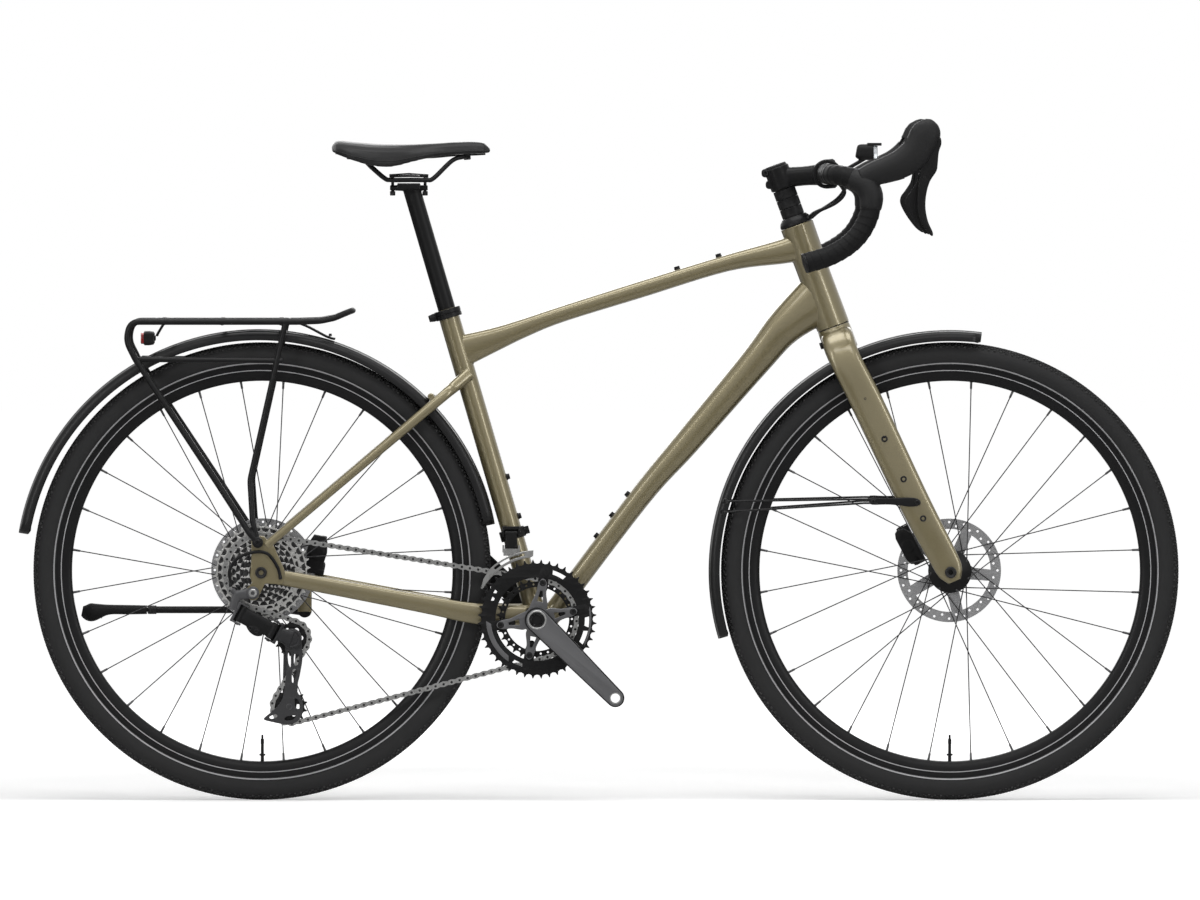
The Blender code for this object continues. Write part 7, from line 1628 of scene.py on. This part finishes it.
bar(bm, [lamp + FORWARD * x for x in (-12.9, -12.2, -7.6)], [(20.5, 7.4), (22.4, 8.8), (22.8, 9)], 48, SIDE,
    0.35)
fitted("tail_lamp_lens", bm, red_lens, "main_frame", "black_plastic")


# Kickstand: a pivot head on the left chain stay's boss, a leg tube folded back along the wheel,
# and a sliding foot with a moulded toe, held by a collar at the tube's end.
STAND = REAR_AXLE + step(64, 72, -62)
STAND_AXIS = step(0, -0.968, -0.252).normalized()
bm = bmesh.new()
capped(bm, STAND - STAND_AXIS * 9.2, STAND + STAND_AXIS * 8.3, 10.8, 40, 1.2)
leg_end = STAND - FORWARD * 243
bar(bm, [STAND, STAND - FORWARD * 12, STAND - FORWARD * 30, leg_end], [(8.5, 10), (7.8, 8), 5.5, 5.5], 32,
    SIDE)
stand_bore = bmesh.new()
spun(stand_bore, leg_end + FORWARD * 84, -FORWARD, [(3.7, 0), (3.7, 100)], 24)
finish(carved(melted(made_mesh("stand_leg", bm), 0.9, 3), stand_bore), powder, "stand", "satin_black",
       "kickstand_leg")
bm = bmesh.new()
screw(bm, STAND - STAND_AXIS * 9, -STAND_AXIS, 5.2, 3)
spun(bm, leg_end + FORWARD * 14, -FORWARD, [(5.8, 0), (6.8, 0.6), (6.8, 12.8), (5.8, 13.6)], 32)
fitted("stand_collar_and_screw", bm, blackened, "stand", "satin_black")
bm = bmesh.new()
capped(bm, leg_end + FORWARD * 80, leg_end - FORWARD * 12, 3.4, 24, 0.4)
toe = leg_end - FORWARD
bar(bm, eased([toe, toe - FORWARD * 28, toe - FORWARD * 60, toe + step(-86, 0, -4), toe + step(-100, 0, -2)],
              6), eased([(6.8, 6.8), (7.4, 7.4), (8, 8), (10.4, 14.2), (6, 7.8)], 6), 36, SIDE, 0.8)
finish(made_mesh("stand_foot", bm, 40), moulded, "stand_foot", "black_plastic", "kickstand_foot")
bm = bmesh.new()
for k in range(9):
    notch = toe - FORWARD * (70 + 3 * k)
    bar(bm, [notch + step(0, -8.5, -11), notch + step(0, 0, -14.8 + 0.4 * abs(k - 5)),
             notch + step(0, 8.5, -11)], 0.8, 10, UP)
finish(made_mesh("stand_foot_grips", bm, 40), moulded, "stand_foot", "black_plastic")


# Seatpost: a black alloy tube with a two-screw head, whose two jaws grip the saddle's rails.
SADDLE_REAR = SEAT_TOP + SEAT_AXIS * 197 + step(-123, 0, 62)
POST_HEAD = SEAT_TOP + SEAT_AXIS * 197
middle = step(POST_HEAD.x - 3, 0, SADDLE_REAR.z - 52.5)
bm = bmesh.new()
bar(bm, [SEAT_TOP - SEAT_AXIS * 116, SEAT_TOP + SEAT_AXIS * 150, POST_HEAD - SEAT_AXIS * 12,
         POST_HEAD - SEAT_AXIS * 2], [13.5] * 3 + [(14.5, 13.5)], 56, SIDE)
bar(bm, [middle + step(-29, 0, -12), middle + step(0, 0, -12.5), middle + step(29, 0, -12)],
    [(8.5, 4), (9, 5), (8.5, 4)], 28, SIDE, 0.6)
slab(bm, middle - UP * 9.5, (35, 52, 9))
head = melted(made_mesh("post_and_head", bm), 1.2, 4)
grooves = bmesh.new()
for side in (-1, 1):
    spun(grooves, middle + step(-60, side * 22, 0), FORWARD, [(4, 0), (4, 120)], 28)
finish(carved(head, grooves), satin, "seat", "satin_black", "seatpost")
bm = bmesh.new()
bar(bm, [middle + step(-17, 0, 5.8), middle + step(0, 0, 6.6), middle + step(17, 0, 5.8)],
    [(26.2, 1.8), (26.8, 2.2), (26.2, 1.8)], 28, SIDE, 0.4)
bar(bm, [middle + step(-30, 0, 6.2), middle + step(0, 0, 8), middle + step(30, 0, 6.2)],
    [(7.5, 2.8), (8, 3), (7.5, 2.8)], 28, SIDE, 0.5)
for x in (-25, 25):
    bolt = middle + FORWARD * x
    capped(bm, bolt + UP * 8, bolt - UP * 20, 2.4, 20, 0.3)
    capped(bm, bolt - UP * 17, bolt - UP * 24, 4.2, 20, 0.8)
fitted("post_jaw_and_screws", bm, blackened, "seat", "satin_black")


# Saddle: a slim padded shell covered in smooth black synthetic leather with a shallow relief
# channel, on a nylon base that carries two steel rails.
SADDLE_LENGTH, SADDLE_HALF, SWELL_ROOM = 246.5, 72.5, 1
STATIONS = [(0, 0.5, 0.5, -8, -9), (0.035, 0.8, 8, -15, -10), (0.12, 0.98, 6.5, -23, -12),
            (0.25, 1.0, 3.5, -32, -14), (0.38, 0.84, 2.2, -34, -15.5), (0.5, 0.6, 2.2, -27, -16.5),
            (0.64, 0.4, 3.6, -19, -16), (0.78, 0.31, 5.6, -15, -13), (0.9, 0.275, 7, -14, -12),
            (0.97, 0.22, 4.5, -13, -11), (1, 0.1, -4, -11, -10)]
leather = coated("saddle_cover", (0.02, 0.02, 0.0204), 0.36, grain=1.0, grain_size=620.0, patchiness=0.14,
                 bump=0.05)


def eased_station(share):
    """A saddle section between the given ones, by share of the length."""
    for i, (first, second) in enumerate(zip(STATIONS, STATIONS[1:])):
        if first[0] <= share <= second[0]:
            t = (share - first[0]) / (second[0] - first[0])
            before, after = STATIONS[max(i - 1, 0)], STATIONS[min(i + 2, len(STATIONS) - 1)]
            result = []
            for a, b, c, d in zip(before, first, second, after):
                value = 2 * b + (c - a) * t + (2 * a - 5 * b + 4 * c - d) * t ** 2
                result.append((value + (3 * b - a - 3 * c + d) * t ** 3) / 2)
            return result
    return STATIONS[-1]


def saddle_section(share):
    """One closed section of the padding, shrunk by SWELL_ROOM so that it can swell."""
    _, wide, crown, edge, under = eased_station(share)
    half = SADDLE_HALF * wide - SWELL_ROOM
    channel = 3 * max(0.0, 1 - ((share - 0.45) / 0.34) ** 2)
    crown, edge = crown - SWELL_ROOM, edge + SWELL_ROOM
    right = [(0, crown - channel), (0.1, crown - channel * 0.75),
             (0.22, crown), (0.45, crown), (0.65, crown - 1.8),
             (0.82, crown - 5.6), (0.93, crown - 10.5 if crown - 10.5 > edge else (crown + edge) / 2),
             (0.99, crown * 0.4 + edge * 0.6), (1.0, edge * 0.86), (0.97, edge), (0.88, edge + 1),
             (0.72, edge * 0.5 + under * 0.5), (0.5, under), (0.25, under), (0.0, under)]
    loop = [(-half * y, z) for y, z in right] + [(half * y, z) for y, z in right[-2:0:-1]]
    return [SADDLE_REAR + step(share * SADDLE_LENGTH, y, z) for y, z in loop]


bm = bmesh.new()
shares = [0.004, 0.012, 0.022] + [0.035 + 0.0185 * k for k in range(51)] + [0.99, 0.997]
walls(bm, [saddle_section(share) for share in shares])
padding = melted(made_mesh("padded_saddle", bm), 3, 3)
cloth = padding.modifiers.new("swell", "CLOTH")
settings = cloth.settings
settings.quality = 6
settings.mass = 0.3
settings.tension_stiffness = settings.compression_stiffness = 40
settings.bending_stiffness = 10
settings.use_pressure = True
settings.uniform_pressure_force = 4.0
settings.effector_weights.gravity = 0
start = [v.co.copy() for v in padding.data.vertices]
scene = bpy.context.scene
for number in range(1, 15):
    scene.frame_set(number)
swollen = padding.evaluated_get(bpy.context.evaluated_depsgraph_get()).data
ends = [v.co.copy() for v in swollen.vertices]
padding.modifiers.clear()
scene.frame_set(1)
low_z = SADDLE_REAR.z / 1000 - 0.0105
for vertex, before, after in zip(padding.data.vertices, start, ends):
    move = after - before
    limit = 0.0011
    if move.length > limit:
        move = move * (limit / move.length)
    if before.z < low_z and abs(before.y) < 0.02:
        move = Vector()
    vertex.co = before + move
smoother = padding.modifiers.new("cover", "SUBSURF")
smoother.levels = smoother.render_levels = 1
applied(padding, 60)
finish(padding, leather, "seat", "saddle_cover", "saddle_cushion")
bm = bmesh.new()
for side in (-1, 1):
    seam = []
    for k in range(40):
        share = 0.03 + 0.94 * k / 39
        _, wide, crown, edge, under = eased_station(share)
        seam.append(SADDLE_REAR + step(share * SADDLE_LENGTH, side * (SADDLE_HALF * wide * 0.992 + 0.1),
                                       crown * 0.3 + edge * 0.7))
    bar(bm, seam, 0.7, 8, UP)
finish(made_mesh("saddle_piping", bm, 60), leather, "seat", "saddle_cover")
bm = bmesh.new()
base_rings = []
BASE_EDGE = [(-1.0, -0.5), (-0.5, -0.4), (0.5, -0.4),
             (1.0, -0.5), (0.97, -2.2), (0.8, -3), (0.3, -2.6), (-0.3, -2.6), (-0.8, -3), (-0.97, -2.2)]
for k in range(46):
    share = 0.03 + 0.935 * k / 45
    _, wide, _, _, under = eased_station(share)
    half = 36.2 * wide
    base_rings.append([SADDLE_REAR + step(share * SADDLE_LENGTH, y * half, under + z) for y, z in BASE_EDGE])
walls(bm, base_rings)
for y in (26, -26):
    capped(bm, SADDLE_REAR + step(25, y, -15.5), SADDLE_REAR + step(49, y * 0.97, -16), 5.2, 24, 1)
capped(bm, SADDLE_REAR + step(204, 0, -16), SADDLE_REAR + step(215, 0, -15), 6, 24, 1)
finish(made_mesh("saddle_shell", bm, 40), moulded, "seat", "black_plastic", "saddle_base")
grip = POST_HEAD - SADDLE_REAR
rail = [(30, 26, -16), (48, 25.2, -19), (64, 23.6, -34), (grip.x - 40, 22.2, -50), (grip.x - 30, 22, -52.5),
        (grip.x, 22, -52.5), (grip.x + 24, 22, -52.5), (grip.x + 35, 21.2, -49.8), (186, 14, -23.2),
        (202, 8, -17.2), (209, 0.0, -16.6)]
half_rail = [SADDLE_REAR + Vector(p) for p in rail]
bm = bmesh.new()
bar(bm, eased(both_halves(half_rail), 6), 3.5, 24, UP)
finish(made_mesh("saddle_rails", bm, 40), blackened, "seat", "satin_black")
